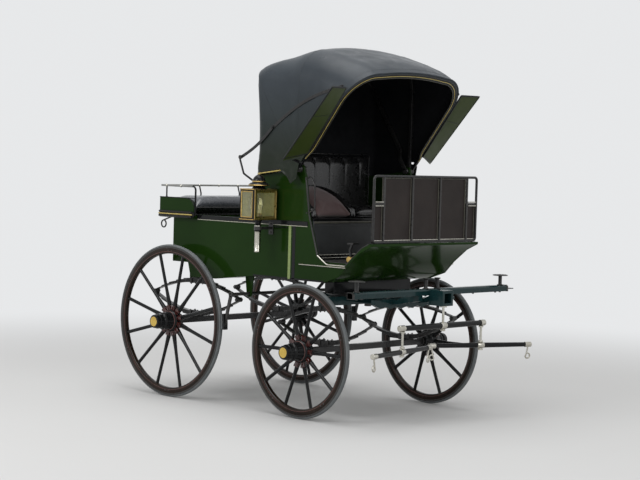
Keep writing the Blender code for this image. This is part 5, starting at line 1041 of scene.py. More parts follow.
def makeSplinterBar():
    facts = bars["splinter"]
    back, front, cut = facts["x"] - facts["half"], facts["x"] + facts["half"], facts["chamfer"]
    bottom, top = facts["bottom"], facts["bottom"] + facts["deep"]
    section = [(back, bottom), (front, bottom), (front, top - cut), (front - cut, top), (back, top)]
    bar = softPrism("bar", section, -facts["span"], facts["span"], "Y", "tealPaint", 0.003, 3)
    pieces, nuts = [bar], []
    radius, high, thick = bars["roller"]
    for y, cap in bars["rollers"].items():
        under = high - thick
        shape = [
            (0, -0.001), (radius * 1.7, -0.001), (radius * 1.7, 0.004), (radius * 1.1, 0.007), (radius, 0.010),
            (radius, under - 0.006)
        ]
        shape += [
            (radius * 1.25, under - 0.002), (cap * 0.97, under), (cap, under + 0.0015), (cap, high - 0.0015),
            (cap * 0.97, high), (0, high)
        ]
        pieces.append(makeTurned("roller", shape, (facts["x"], y, top), "Z", "blackIron", 40))
        nuts.append(((facts["x"], y, bottom), (0, 0, -1)))
        if cap > 0.03:  # raised bars on the tread's plate
            x, z = facts["x"], top + high
            lines = [[(x + d, y - reach, z), (x + d, y + reach, z)] for d, reach in bars["tread"]]
            pieces.append(makeBars("treadBars", lines, 0.0018, "blackIron", 8))
    for y in bars["nuts"]:
        nuts.append(((facts["x"], y, bottom), (0, 0, -1)))
    pieces.append(makeHeads("barNuts", nuts, 0.010, 0.008))
    tipX, tipY = (facts["x"] - 0.020, facts["x"] + 0.020), (facts["span"] - 0.004, facts["span"] + 0.070)
    pieces.append(softBlock("tip", tipX, tipY, (bottom + 0.014, bottom + 0.020), "blackIron", 0.0015))
    for end in (-1, 1):  # an iron band at each end of the bar
        y = span(end * facts["span"], end * (facts["span"] - 0.018))
        around = 0.0012
        section = [
            (back - around, bottom - around), (front + around, bottom - around), (front + around, top - cut + around)
        ]
        section += [(front - cut + around, top + around), (back - around, top + around)]
        pieces.append(softPrism("band", section, y[0], y[1], "Y", "blackIron", 0.0008))
    setOn(joined("splinterBar", pieces), "turntable", "splinter_bar")


def barProfile(halfSpan, radius):
    wall, length = bars["ferrule"]
    steps = [
        (radius + wall, 0.0), (radius + wall, length / 2 - 0.002), (radius + wall * 0.6, length / 2),
        (radius, length / 2 + 0.001)
    ]
    steps += [
        (mix(radius, radius * 0.86, share), mix(length / 2, halfSpan - length, share)) for share in (0.3, 0.7, 1.0)
    ]
    steps += [
        (radius * 1.02, halfSpan - length + 0.001), (radius * 1.02, halfSpan - 0.003), (radius * 0.9, halfSpan),
        (0.0, halfSpan)
    ]
    bandFaces = {0, 1, 2, 7, 8, 9}
    count = len(steps) - 1
    profile = [(r, -d) for r, d in reversed(steps[1:])] + steps[1:]
    bands = {}
    for face in range(len(profile) - 1):
        own = face - count + 1 if face >= count else count - 1 - face
        if face == count - 1 or own in bandFaces:
            bands[face] = "nickel"
    return profile, bands


def makeHook(y, end):  # the trace's cock eye: it drops from the ferrule and curls back on itself
    low = 0.020 - bars["hook"][1]
    path = [(0, y, -0.012), (0, y, -0.030), (0, y - end * 0.010, low + 0.010)]
    curl = arc((y, low), 0.018, 200 if end > 0 else -20, 470 if end > 0 else -290, 18)
    return path + [(0, b, c) for b, c in curl]


def makeTrees():
    facts = bars["trees"]
    profile, bands = barProfile(facts["mainHalf"], facts["mainRadius"])
    main = makeTurned("main", profile, (facts["x"], 0, facts["mainZ"]), "Y", "blackPaint", 32, 35, bands)
    setOn(joined("mainTree", [main]), "main_tree", "main_swingletree", paint="blackPaint")
    profile, bands = barProfile(facts["singleHalf"], bars["single"]["radius"])
    for side in (right, left):
        word = sideWords[side]
        pieces = [makeTurned("tree", profile, -origin, "Y", "blackPaint", 32, 35, bands)]
        hooks = [makeHook(end * (facts["singleHalf"] - bars["ferrule"][1] / 2), end) for end in (-1, 1)]
        hooks = makeBars("hooks", hooks, bars["hook"][0], "nickel", 14)
        hooks.data.transform(Matrix.Translation(-origin))
        tree = joined("singleTree_" + word, [*pieces, hooks])
        spot = origin + Vector((facts["x"], side * bars["single"]["spread"], facts["singleZ"]))
        tree.data.transform(Matrix.Translation(spot) @ Matrix.Rotation(-math.radians(bars["single"][side]), 4, "Z"))
        setOn(tree, "single_tree_" + word, "single_tree_" + word, paint="blackPaint")
        dressNode("tree_link_" + word, "main_tree", "nickel", 0.0012, 2)
    dressNode("tree_bolt", "turntable", "nickel", 0.0012, 2)


makeSplinterBar()
makeTrees()
dressNode("pole_socket", "turntable", "tealPaint", 0.003, 3)
print("turntable, splinter bar and trees ready")


# Body
body = {
    "half": 0.560,
    "panel": 0.020,
    "rear": [(-1.470, 0.990), (-1.300, 0.990), (-1.270, 0.888), (-1.000, 0.888), (-0.600, 0.935), (0.100, 0.935)],
    "boot": [  # under the toe board
        (0.236, 0.982), (0.317, 1.066), (0.434, 1.159), (0.5305, 1.205), (0.5305, 1.222), (0.5065, 1.222),
        (0.440, 1.190)
    ],
    "entry": [(0.338, 1.102), (0.292, 1.060), (0.120, 1.060), (0.030, 1.115), (-0.060, 1.390), (-0.100, 1.652)],
    "seat": [
        (-0.203, 1.6970), (-0.570, 1.6521), (-0.575, 1.345), (-1.2047, 1.345), (-1.2047, 1.315), (-1.470, 1.315)
    ],
    "pivot": (-0.150, 1.705),
    "ear": 0.030,
    "band": (1.312, 1.345),  # the black moulding along the top of the side
    "plates": (  # on the side: its span in x and z, how proud it stands, its finish and its edge
        ((-1.203, -0.066), (1.312, 1.345), 0.005, "blackPaint", 0.003),
        ((-0.2525, -0.2275), (0.938, 1.312), 0.0018, "stripeGreen", 0.0015),
        ((-0.214, -0.184), (0.940, 1.312), 0.0015, "blackPaint", 0.0015),
        ((-0.395, -0.262), (1.290, 1.2965), 0.0025, "blackPaint", 0.0015),
        ((-0.140, 0.300), (1.0445, 1.0520), 0.010, "nickel", 0.003),
        ((-0.600, 0.098), (0.9355, 0.9475), 0.0015, "blackPaint", 0.0015),
    ),
    "edgings": (  # line, rounding, radius and finish
        (((0.0285, 1.118), (0.120, 1.060), (0.292, 1.060)), 0.060, 0.0062, "nickel"),
        (((-0.101, 1.650), (-0.061, 1.390), (0.0285, 1.118)), 0.10, 0.0060, "blackIron"),
        (((0.292, 1.060), (0.338, 1.102), (0.440, 1.190), (0.505, 1.220)), 0.03, 0.0050, "blackIron"),
    ),
    "screws": ((-0.552, 1.590), (-0.552, 1.612), (-0.088, 1.640), (-0.078, 1.405)),
    "prop": [
        (-0.545, 0.552, 1.600), (-0.600, 0.572, 1.605), (-0.660, 0.6199, 1.660), (-0.700, 0.6199, 1.756),
        (-0.700, 0.6199, 1.776)
    ],
    "boss": ((0, -0.0070), (0.012, -0.0070), (0.014, -0.0050), (0.014, 0.0050), (0.012, 0.0070), (0, 0.0070)),
    "grab": [
        (-0.098, 0.552, 1.640), (-0.060, 0.552, 1.655), (-0.020, 0.552, 1.600), (-0.012, 0.552, 1.430),
        (-0.075, 0.552, 1.405)
    ],
}


def sideShape():
    px, pz = body["pivot"]
    ear = arc((px, pz), body["ear"], 20, 160, 14)
    return [
        *body["rear"], *body["boot"], *body["entry"], (px + body["ear"], pz), *ear, (px - body["ear"], pz),
        *body["seat"]
    ]


def eased(line, radius):  # a side-view line with its corners rounded
    return [(point.x, point.y) for point in roundCorners([Vector((x, z)).to_3d() for x, z in line], radius, 5)]


def makeSide(side):
    word = sideWords[side]
    outer = side * body["half"]
    y = span(outer, side * (body["half"] - body["panel"]))
    outline = [point for i, point in enumerate(sideShape()) if i == 0 or point != sideShape()[i - 1]]
    pieces = [softPrism("panel", outline, y[0], y[1], "Y", "greenPaint", 0.003, 3)]
    low, high = body["band"]
    for x, z, proud, *rest in body["plates"]:
        pieces.append(softBlock("plate", x, span(outer - side * 0.001, outer + side * proud), z, *rest))
    for z, radius in ((low - 0.0015, 0.0024), (high - 0.003, 0.0014)):
        line = [[(-1.198, outer + side * 0.0035, z), (-0.070, outer + side * 0.0035, z)]]
        pieces.append(makeBars("line", line, radius, "creamLine", 8))
    for line, rounding, radius, paint in body["edgings"]:
        line = [(x, outer - side * 0.004, z) for x, z in eased(line, rounding)]
        pieces.append(makeBars("edging", [line], radius, paint, 14))
    px, pz = body["pivot"]
    pinSpan = span(side * (body["half"] - body["panel"] - 0.026), side * 0.603)
    pin = [
        (0, pinSpan[0]), (0.007, pinSpan[0]), (0.008, pinSpan[0] + 0.001), (0.008, pinSpan[1] - 0.0015),
        (0.0065, pinSpan[1]), (0, pinSpan[1])
    ]
    pieces.append(makeTurned("pin", pin, (px, 0, pz), "Y", "blackIron", 24))
    prop = [(x, side * across, z) for x, across, z in body["prop"]]
    grab = [(x, side * across, z) for x, across, z in body["grab"]]
    pieces.append(makeBars("prop", [roundCorners(prop, 0.020)], 0.007, "blackIron", 14))
    pieces.append(makeBars("grab", [roundCorners(grab, 0.022)], 0.006, "blackIron", 14))
    bossX, bossY, bossZ = body["prop"][-1]
    pieces.append(makeTurned("boss", body["boss"], (bossX, side * bossY, bossZ), "Y", "blackIron", 28))
    screws = [((x, outer, z), (0, side, 0)) for x, z in body["screws"]]
    pieces.append(makeHeads("screws", screws, 0.0055, 0.006, 10))
    setOn(joined("bodySide_" + word, pieces), "carriage", "body_side_" + word, paint="greenPaint")


for bodySide in (right, left):
    makeSide(bodySide)
for plainNode in ("body_floor", "rear_panel", "seat_back_panel"):
    dressNode(plainNode, "carriage", "greenPaint", 0.002)
dressNode("seat_deck", "carriage", "blackPaint", 0.003)

rearDoor = {
    "x": -1.4715, "half": 0.430, "z": (1.035, 1.290), "corner": 0.012, "edge": 0.0035, "line": (0.030, 0.024),
    "hinges": (-0.28, 0.28), "strap": (1.010, 1.110), "screws": (1.052, 1.074, 1.096), "knobZ": 1.258,
    "knob": (
        (0, 0), (0.011, -0.001), (0.011, -0.003), (0.005, -0.005), (0.005, -0.012), (0.010, -0.016), (0.0105, -0.022),
        (0.006, -0.027), (0, -0.027)
    ),
}


def makeRearDoor():  # a framed door with its hinges and knob, let into the rear panel
    d = rearDoor
    x, half, (low, high) = d["x"], d["half"], d["z"]
    loop = [(x, -half, low), (x, half, low), (x, half, high), (x, -half, high)]
    pieces = [makeBars("doorEdge", [roundRing(loop, d["corner"])], d["edge"], "blackPaint", 10, closed=True)]
    for y in d["hinges"]:
        strap = softBlock("strap", (x - 0.0015, x + 0.003), (y - 0.011, y + 0.011), d["strap"], "blackIron", 0.001)
        knuckle = [[(x - 0.001, y + end, low - 0.004) for end in (-0.016, 0.016)]]
        screws = [((x - 0.0015, y, z), (-1, 0, 0)) for z in d["screws"]]
        pieces += [
            strap, makeBars("knuckle", knuckle, 0.0055, "blackIron"), makeHeads("screws", screws, 0.0035, 0.002, 10)
        ]
    pieces.append(makeTurned("knob", d["knob"], (x, 0, d["knobZ"]), "X", "brass", 24, 40))
    across, up = d["line"]
    lines = [[(x - 0.0005, -half + across, z), (x - 0.0005, half - across, z)] for z in (low + up, high - up)]
    lines += [[(x - 0.0005, y, low + up), (x - 0.0005, y, high - up)] for y in (-half + across, half - across)]
    pieces.append(makeBars("fineLine", lines, 0.0014, "stripeGreen", 6))
    setOn(joined("rearDoor", pieces), "carriage", paint="blackPaint")


seatFall = {
    "x": (-0.050, -0.0303), "half": 0.5397, "z": (0.9553, 1.3497),
    "fold": (-0.0325, 0.008, 1.340),  # x, inset, z
    "hem": (-0.0300, 0.008, 1.320),
    "stitches": (-0.0297, 0.010, 1.314),
}


def makeFall():  # the leather fall below the seat, folded over at its head and sewn
    half = seatFall["half"]

    def line(word):
        x, inset, z = seatFall[word]
        return [[(x, -half + inset, z), (x, half - inset, z)]]

    pieces = [softBlock("fall", seatFall["x"], (-half, half), seatFall["z"], "fallLeather", 0.005, 4)]
    # the fold in the paler bead leather is a painted highlight along the fall's bright upper edge
    pieces.append(makeBars("fold", line("fold"), 0.0085, "beadLeather", 20))
    pieces.append(makeBars("hem", line("hem"), 0.0016, "fallLeather", 8))
    pieces.append(makeStitches("stitches", line("stitches")))
    setOn(joined("seatFall", pieces), "carriage", "seat_fall", paint="blackLeather")


toeBoard = {
    "half": 0.532, "mat": (-0.022, 0.296), "matZ": (1.0748, 1.0795), "ribZ": 1.0800, "ribs": 13, "ribPitch": 0.022,
    "ribRadius": 0.0026, "ribInset": 0.020,
    "slope": [
        (0.304, 1.0765), (0.339, 1.1075), (0.4405, 1.1900), (0.4375, 1.1935), (0.3355, 1.1105), (0.300, 1.0795)
    ],
    "slopeRibs": ((0.3365, 0.4385), (1.1095, 1.1930), 8, 0.08, 0.115),  # in x, in z, count, first share, pitch
    "ledgeX": -0.0300, "ledges": ((1.1190, 0.014), (1.0985, 0.024)), "ledgeDeep": 0.007,  # height and length of each
}


def makeToeBoard():  # with a ribbed rubber mat and bright edges, one above another, on the riser under the seat
    t = toeBoard
    wide, edgeX = t["half"], t["half"] - t["ribInset"]
    pieces = [softNode("toe_board", "greenPaint", 0.002, 2)]
    pieces.append(softBlock("mat", t["mat"], (-wide, wide), t["matZ"], "floorMat", 0.0015))
    pieces.append(makePrism("slopeMat", t["slope"], -wide, wide, "Y", "floorMat"))
    spots = [(t["ribPitch"] * i, t["ribZ"]) for i in range(t["ribs"])]
    across, up, count, first, pitch = t["slopeRibs"]
    spots += [(mix(*across, first + pitch * i), mix(*up, first + pitch * i)) for i in range(count)]
    ribs = [[(x, -wide + t["ribInset"], z), (x, edgeX, z)] for x, z in spots]
    pieces.append(makeBars("matRibs", ribs, t["ribRadius"], "floorMat", 8))
    for z, deep in t["ledges"]:
        front = t["ledgeX"] + deep
        pieces.append(
            softBlock("ledge", (t["ledgeX"], front), (-wide, wide), (z - t["ledgeDeep"], z), "blackPaint", 0.002)
        )
        pieces.append(makeBars("edge", [[(front, -wide, z - 0.003), (front, wide, z - 0.003)]], 0.0042, "nickel", 10))
    setOn(joined("toeBoard", pieces), "carriage", "toe_board", paint="blackPaint")


makeRearDoor()
makeFall()
makeToeBoard()
print("body ready")

# Rear seat and its rail
rearSeat = {
    "back": -1.584, "front": -1.205, "half": 0.600, "wall": 0.020, "low": 1.3153, "high": 1.462,
    "scoop": (0.085, 0.055),  # length and depth of the side's rounded front corner
    "moulding": (1.3175, 1.3660),
    "railZ": 1.550, "railRadius": 0.007, "railBack": -1.594, "railFront": -1.1977, "bend": 0.030, "foot": 1.335,
    "ball": 0.0105,
    "sideBall": -1.36,
    "collar": ((0, 0.0), (0.012, 0.0), (0.012, 0.003), (0.009, 0.006), (0.0075, 0.009), (0, 0.009)),
    "posts": ((-1.574, -0.20), (-1.574, 0.20), (-1.519, -0.590), (-1.519, 0.590)),
}


def makeRearSeat():
    s = rearSeat
    wide, wall, low, high = s["half"], s["wall"], s["low"], s["high"]
    long, deep = s["scoop"]
    hollow = [(s["front"], low)] + [
        (s["front"] - long * (1 - math.sin(t)), high - deep * (1 - math.cos(t)))
        for t in [math.pi / 2 * (1 - i / 12) for i in range(13)]
    ]
    shape = hollow + [(s["back"], high), (s["back"], low)]
    pieces = []
    for side in (right, left):
        y = span(side * wide, side * (wide - wall))
        pieces.append(softPrism("cheek", shape, y[0], y[1], "Y", "greenPaint", 0.003, 3))
    inside = wide - wall
    x, y = (s["back"], s["back"] + wall), (0.002 - wide, wide - 0.002)
    pieces.append(softBlock("backBoard", x, y, (low, high), "greenPaint", 0.003, 3))
    x, y = (s["back"] + 0.002, s["front"]), (-inside - 0.001, inside + 0.001)
    pieces.append(softBlock("bottom", x, y, (low, low + wall), "greenPaint", 0.002))
    mouldLow, mouldHigh = s["moulding"]
    middle = (mouldLow + mouldHigh) / 2
    mouldings = (
        (middle, 0.0045, 0.0085, "goldLine"),
        (mouldHigh - 0.0075, 0.0075, 0.004, "blackPaint"),
        (mouldLow + 0.0095, 0.0095, 0.004, "blackPaint"),
    )
    for z, radius, out, paint in mouldings:
        start, end, edge = s["front"] - 0.010, s["back"] - out, wide + out
        path = [(start, -edge, z), (end, -edge, z), (end, edge, z), (start, edge, z)]
        pieces.append(makeBars("moulding", [roundCorners(path, 0.012, 4)], radius, paint, 12))
    for side in (right, left):  # the moulding's flat ground, round at its front end
        nose = arc((s["front"] - 0.014, middle), (mouldHigh - mouldLow) / 2, 90, -90, 10)
        ground = [(s["back"], mouldLow), (s["back"], mouldHigh), *nose]
        y = span(side * (wide - 0.001), side * (wide + 0.0055))
        pieces.append(softPrism("ground", ground, y[0], y[1], "Y", "blackPaint", 0.0012))
        edge = [(x, side * (wide - 0.001), z) for x, z in hollow[1:]]
        pieces.append(makeBars("scoopEdge", [edge], 0.0030, "blackPaint", 10))
        strap = span(side * (wide - wall), side * (wide + 0.002))
        pieces.append(
            softBlock("strap", (s["back"], s["railFront"]), strap, (high - 0.001, high + 0.005), "blackPaint", 0.0015)
        )
        y = side * (wide - 0.030)
        centre = (s["back"] + 0.016, low - 0.052)
        curl = arc(centre, 0.026, 110, 430, 30)
        path = [(s["back"] + 0.106, y, low + 0.004), *[(x, y, z) for x, z in curl]]
        pieces.append(makeBars("scroll", [path], 0.0055, "blackIron", 14))
    x = (s["back"] - 0.0055, s["back"] + 0.001)
    pieces.append(softBlock("backGround", x, (-wide, wide), (mouldLow, mouldHigh), "blackPaint", 0.0012))
    setOn(joined("rearSeatBox", pieces), "carriage", "rear_seat_frame", paint="greenPaint")


def makeRail():
    s = rearSeat
    radius, z, y = s["railRadius"], s["railZ"], s["half"] - s["wall"] / 2
    front, back, bend, foot = s["railFront"], s["railBack"], s["bend"], s["foot"]
    path = [(front - bend, -y, z), (back, -y, z), (back, y, z), (front - bend, y, z)]
    pieces = [makeBars("rail", [roundCorners(path, bend, 7)], radius, "railSteel", 16)]
    legs = [[(front, end, foot), (front, end, z), (front - bend - 0.001, end, z)] for end in (-y, y)]
    legs = [roundCorners(leg, bend - 0.0005, 7) for leg in legs]
    pieces.append(makeBars("legs", legs, radius, "blackPaint", 16))
    posts, balls = [], []
    for x, postY in s["posts"]:
        lean = s["railBack"] if abs(postY) < y - 0.01 else x
        posts.append([(x, postY, s["high"] - 0.001), (x, postY, s["high"] + 0.030), (lean, postY, z)])
        balls.append((lean, postY, z))
    balls += [(s["railBack"], 0.0, z), (s["sideBall"], -y, z), (s["sideBall"], y, z)]
    pieces.append(makeBars("posts", [roundCorners(path, 0.012, 4) for path in posts], radius * 0.8, "blackPaint", 14))
    for x, ballY, ballZ in balls:
        pieces.append(makeTurned("ball", ballProfile(s["ball"], 10), (x, ballY, ballZ), "Z", "nickel", 20, 60))
    for x, postY in s["posts"]:
        pieces.append(makeTurned("collar", s["collar"], (x, postY, s["high"]), "Z", "blackIron", 20))
    setOn(joined("rearRail", pieces), "carriage", "rear_rail", paint="blackIron")


makeRearSeat()
makeRail()
print("rear seat ready")

# Dash
dash = {
    "x": 0.5185, "half": 0.545, "low": 1.2223, "high": 1.685, "tube": 0.009, "corner": 0.022,
    "uprights": (-0.433, -0.1445, 0.1445, 0.433), "barZ": 1.490, "leather": 0.0055, "bead": 0.0036,
    "beadInset": 0.0125, "stitchInset": 0.0205, "nuts": (-0.50, -0.29, 0.0, 0.29, 0.50), "capsZ": (1.503, 1.477),
}


def makeDash():
    d = dash
    x, tube, post = d["x"], d["tube"], d["uprights"][-1]
    low, high, wide = d["low"] + tube, d["high"] - tube, d["half"] - tube
    loop = [(x, 0.0, low), (x, wide, low), (x, wide, high), (x, -wide, high), (x, -wide, low), (x, 0.0, low)]
    loop = roundCorners(loop, d["corner"], 7)[1:]
    pieces = [makeBars("loop", [loop], tube, "blackIron", 18, closed=True)]
    uprights = [[(x, y, low), (x, y, high)] for y in d["uprights"]]
    pieces.append(makeBars("uprights", uprights, tube * 0.85, "blackIron", 16))
    bars = [[(x, side * (post - tube / 3), d["barZ"]), (x, side * wide, d["barZ"])] for side in (right, left)]
    pieces.append(makeBars("crossBars", bars, tube * 0.8, "blackIron", 16))
    nuts = [((x, y, low - 0.004), (0, 0, -1)) for y in d["nuts"]]
    pieces.append(makeHeads("nuts", nuts, 0.010, 0.010))
    setOn(joined("dashFrame", pieces), "carriage", "dash_frame")

    back, front = x - tube - 0.0003 - d["leather"], x - tube - 0.0003
    bottom, top, step, inner, outer = d["low"] + 0.004, d["high"] - tube, d["barZ"], post, d["half"] - tube
    outline = [(-outer, bottom), (outer, bottom), (outer, step), (inner, step)]
    outline += [(inner, top), (-inner, top), (-inner, step), (-outer, step)]
    sheet = softPrism("sheet", outline, back, front, "X", "dashLeather", 0.0015, 2)
    bays = [(start, end, top) for start, end in zip(d["uprights"], d["uprights"][1:])]
    bays += [(-outer, -post, step), (post, outer, step)]
    beads, stitches = [], []

    def boxLine(bay, face, inset):
        start, end, head = bay
        corners = ((start + inset, bottom), (end - inset, bottom), (end - inset, head), (start + inset, head))
        return [(face, y, z + inset if z == bottom else z - inset) for y, z in corners]

    for bay in bays:
        for face in (front + 0.0012, back - 0.0012):
            beads.append(roundRing(boxLine(bay, face, d["beadInset"]), 0.007))
            line = boxLine(bay, face + (0.0008 if face < x - 0.012 else -0.0008), d["stitchInset"])
            stitches.append([*line, line[0]])
    bead = makeBars("bead", beads, d["bead"], "beadLeather", 10, closed=True)
    leather = joined("dashLeathers", [sheet, bead, makeStitches("dashStitches", stitches)])
    setOn(leather, "carriage", "dash_leather", paint="dashLeather")
    rail = [[(back - 0.001, side * post, z) for z in (step - 0.012, top)] for side in (right, left)]
    lipX, lipZ, capX = front + 0.0055, bottom + 0.0175, x + 0.0045
    lips = [[(lipX, start + 0.012, lipZ), (lipX, end - 0.012, lipZ)] for start, end, _ in bays]
    ends = [(side * (post + 0.010), side * (outer - 0.010)) for side in (right, left)]
    caps = [[(capX, start, z), (capX, end, z)] for start, end in ends for z in d["capsZ"]]
    strips = [makeBars("lips", lips, 0.0042, "nickel", 12), makeBars("caps", caps, 0.0040, "nickel", 12)]
    strips.append(makeBars("binding", rail, 0.0030, "beadLeather", 10))
    setOn(joined("dashStrips", strips), "carriage", paint="nickel")


makeDash()
print("dash ready")


# Cushions
cushions = {
    "seam": 0.42,  # of the height, where the edge's piping runs
    "seamMost": 0.16,  # the greatest height that counts for it
    "draw": 0.008,  # how far the edges are drawn in at mid length
    "seamSteps": 26,
    "rear": {"x": (-1.5637, -1.206), "y": (-0.5791, 0.5791), "bottom": 1.3356, "tall": 0.142},
    "passenger": {"x": (-0.4777, -0.038), "y": (-0.100, 0.5391), "bottom": 1.3703, "tall": 0.078},
    "driver": {"x": (-0.4777, -0.038), "y": (-0.5391, -0.104), "bottom": 1.3703, "tall": (0.222, 0.050)},
    "squab": {
        "back": -0.553, "thick": 0.075, "y": (-0.5391, 0.5391), "z": (1.3703, 1.820), "rolls": 7, "channel": 0.016,
        "split": 0.42
    },
    "wedgeRound": 2.2,
    "voxel": 0.009,
    "pressure": 4.0,
    "shrink": 0.005,
    "cap": 0.012,
    "frames": 20,
    "roll": 0.021,  # radius of the driver's rolls
}


def driverTop(x):
    low, high = cushions["driver"]["x"]
    rear, front = cushions["driver"]["tall"]
    return mix(rear, front, clamped((x - low) / (high - low)) ** cushions["wedgeRound"])


def seamHeight(tall):
    return cushions["seam"] * min(tall, cushions["seamMost"])


def drawnIn(xSpan, ySpan, u, v, inset=0.0):  # a place on a pad, whose edges are drawn in at mid length
    draw = cushions["draw"]
    x = mix(xSpan[0] + inset, xSpan[1] - inset, (u + 1) / 2) - draw * u * abs(u) ** 3 * (1 - v**4)
    return x, mix(ySpan[0] + inset, ySpan[1] - inset, (v + 1) / 2) - draw * v * abs(v) ** 3 * (1 - u**4)


def padShape(name, xSpan, ySpan, bottom, height, paint, rows=28, columns=40):
    # a crowned top and a tucked-in edge over a flat base, on a grid that is closer near the edges
    def place(i, count):
        return math.copysign(1 - (1 - abs(2 * i / count - 1)) ** 1.5, 2 * i / count - 1)

    vertices, top, low = [], {}, {}
    for row in range(rows + 1):
        for column in range(columns + 1):
            u, v = place(row, rows), place(column, columns)
            edge = row in (0, rows) or column in (0, columns)
            x, y = drawnIn(xSpan, ySpan, u, v)
            tall = height(x, y)
            seam = seamHeight(tall)
            dome = (max(0.0, 1 - abs(u) ** 5) * max(0.0, 1 - abs(v) ** 5)) ** 0.45
            top[row, column] = len(vertices)
            vertices.append((x, y, bottom + seam + (tall - seam) * dome))
            if edge:
                low[row, column] = top[row, column]
            else:
                low[row, column] = len(vertices)
                vertices.append((x, y, bottom + seam * (1 - dome) ** 2))
    faces = []
    for row in range(rows):
        for column in range(columns):
            corners = [(row, column), (row + 1, column), (row + 1, column + 1), (row, column + 1)]
            faces.append([top[corner] for corner in corners])
            faces.append([low[corner] for corner in reversed(corners)])
    return makePiece(name, vertices, faces, paint, 60)


def puffUp(pad):  # cloth under its own air pressure, from a slightly smaller shape, capped and kept
    remesh = pad.modifiers.new("even", "REMESH")
    remesh.mode = "VOXEL"
    remesh.voxel_size = cushions["voxel"]
    keepResult(pad)
    start = [vertex.co.copy() for vertex in pad.data.vertices]
    normals = [vertex.normal.copy() for vertex in pad.data.vertices]
    for vertex, normal in zip(pad.data.vertices, normals):
        vertex.co -= normal * cushions["shrink"]
    cloth = pad.modifiers.new("cloth", "CLOTH")
    cloth.settings.use_pressure = True
    cloth.settings.uniform_pressure_force = cushions["pressure"]
    cloth.settings.effector_weights.gravity = 0.0
    cloth.point_cache.frame_start = 1
    cloth.point_cache.frame_end = cushions["frames"]
    scene = bpy.context.scene
    for number in range(1, cushions["frames"] + 1):
        scene.frame_set(number)
    graph = bpy.context.evaluated_depsgraph_get()
    puffed = bpy.data.meshes.new_from_object(pad.evaluated_get(graph))
    pad.modifiers.clear()
    scene.frame_set(1)
    for vertex, base, moved in zip(pad.data.vertices, start, puffed.vertices):
        step = moved.co - base
        vertex.co = base + step * min(1.0, cushions["cap"] / max(step.length, 1e-6))
    bpy.data.meshes.remove(puffed)
    return pad


def makePad(name, node, pad, paint, extras, press=None):
    # puffed, pressed where it is sewn, flat where it rests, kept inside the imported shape, then smoothed
    puffUp(pad)
    low, high = (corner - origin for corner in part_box(node))
    for vertex in pad.data.vertices:
        place = vertex.co - origin
        if press:
            place += press(place)
        vertex.co = origin + Vector([min(max(place[axis], low[axis]), high[axis]) for axis in range(3)])
    relax = pad.modifiers.new("relax", "SMOOTH")
    relax.factor, relax.iterations = 0.5, 2
    finer = pad.modifiers.new("finer", "SUBSURF")
    finer.levels = finer.render_levels = 1
    keepResult(pad)
    paintAll(pad.data, paint)
    smoothOver(pad, 70)
    piece = joined(name, [pad, *extras])
    setOn(piece, "carriage", node, paint=paint)


def seamLine(xSpan, ySpan, height, inset=0.003):  # round a pad
    line, corners, steps = [], [(-1, -1), (1, -1), (1, 1), (-1, 1)], cushions["seamSteps"]
    for (u0, v0), (u1, v1) in zip(corners, corners[1:] + corners[:1]):
        for step in range(steps):
            u, v = mix(u0, u1, (step + 0.5) / steps), mix(v0, v1, (step + 0.5) / steps)
            line.append((*drawnIn(xSpan, ySpan, u, v, inset), height))
    return line


def plainPad(name, node, facts, paint="blackLeather"):
    tall, bottom = facts["tall"], facts["bottom"]
    pad = padShape(name, facts["x"], facts["y"], bottom, lambda x, y: tall, paint)
    seam = bottom + seamHeight(tall)
    line = seamLine(facts["x"], facts["y"], seam)
    lower = seamLine(facts["x"], facts["y"], bottom + 0.010, 0.007)
    extras = [makeBars("piping", [line], 0.0042, "blackLeather", 10, closed=True)]
    extras.append(makeBars("lowerPiping", [lower], 0.0030, "blackLeather", 8, closed=True))
    above = seamLine(facts["x"], facts["y"], seam + 0.0068, 0.0045)
    extras.append(makeStitches("stitches", [[*above, above[0]]]))
    makePad(name, node, pad, paint, extras)


def makeDriverPad():  # a wedge in cloth between two leather rolls
    facts = cushions["driver"]
    bottom, (rear, front), (low, high) = facts["bottom"], facts["x"], facts["y"]
    radius = cushions["roll"]
    middle = (low + radius * 1.5, high - radius * 1.5)
    pad = padShape("driverPad", facts["x"], middle, bottom, lambda x, y: driverTop(x) + 0.004, "seatCloth", 32, 34)
    extras = []
    for y in (low + radius, high - radius):
        path = []
        for step in range(26):
            x = mix(rear + radius, front - radius - 0.006, step / 25)
            path.append((x, y, bottom + max(driverTop(x) - radius - 0.004, radius)))
        path += [(front - radius - 0.001, y, bottom + radius * 0.90)]
        extras.append(makeBars("roll", [path], radius, "blackLeather", 28))
        for end in (path[0], path[-1]):
            extras.append(makeTurned("rollEnd", ballProfile(radius, 12), end, "Y", "blackLeather", 24, 60))
        side = span(y - 0.0175, y + 0.0175)
        board = [(x, z) for x, _, z in path] + [(front - radius, bottom), (rear + 0.004, bottom)]
        extras.append(softPrism("cheek", board, side[0], side[1], "Y", "blackLeather", 0.005, 3))
    for y in (middle[0] + 0.004, middle[1] - 0.004):
        spots = [mix(rear + 0.03, front - 0.03, i / 20) for i in range(21)]
        line = [(x, y, bottom + driverTop(x) * 0.86) for x in spots]
        extras.append(makeBars("piping", [line], 0.0034, "blackLeather", 8))
    makePad("driverPad", "wedge_cushion", pad, "seatCloth", extras)


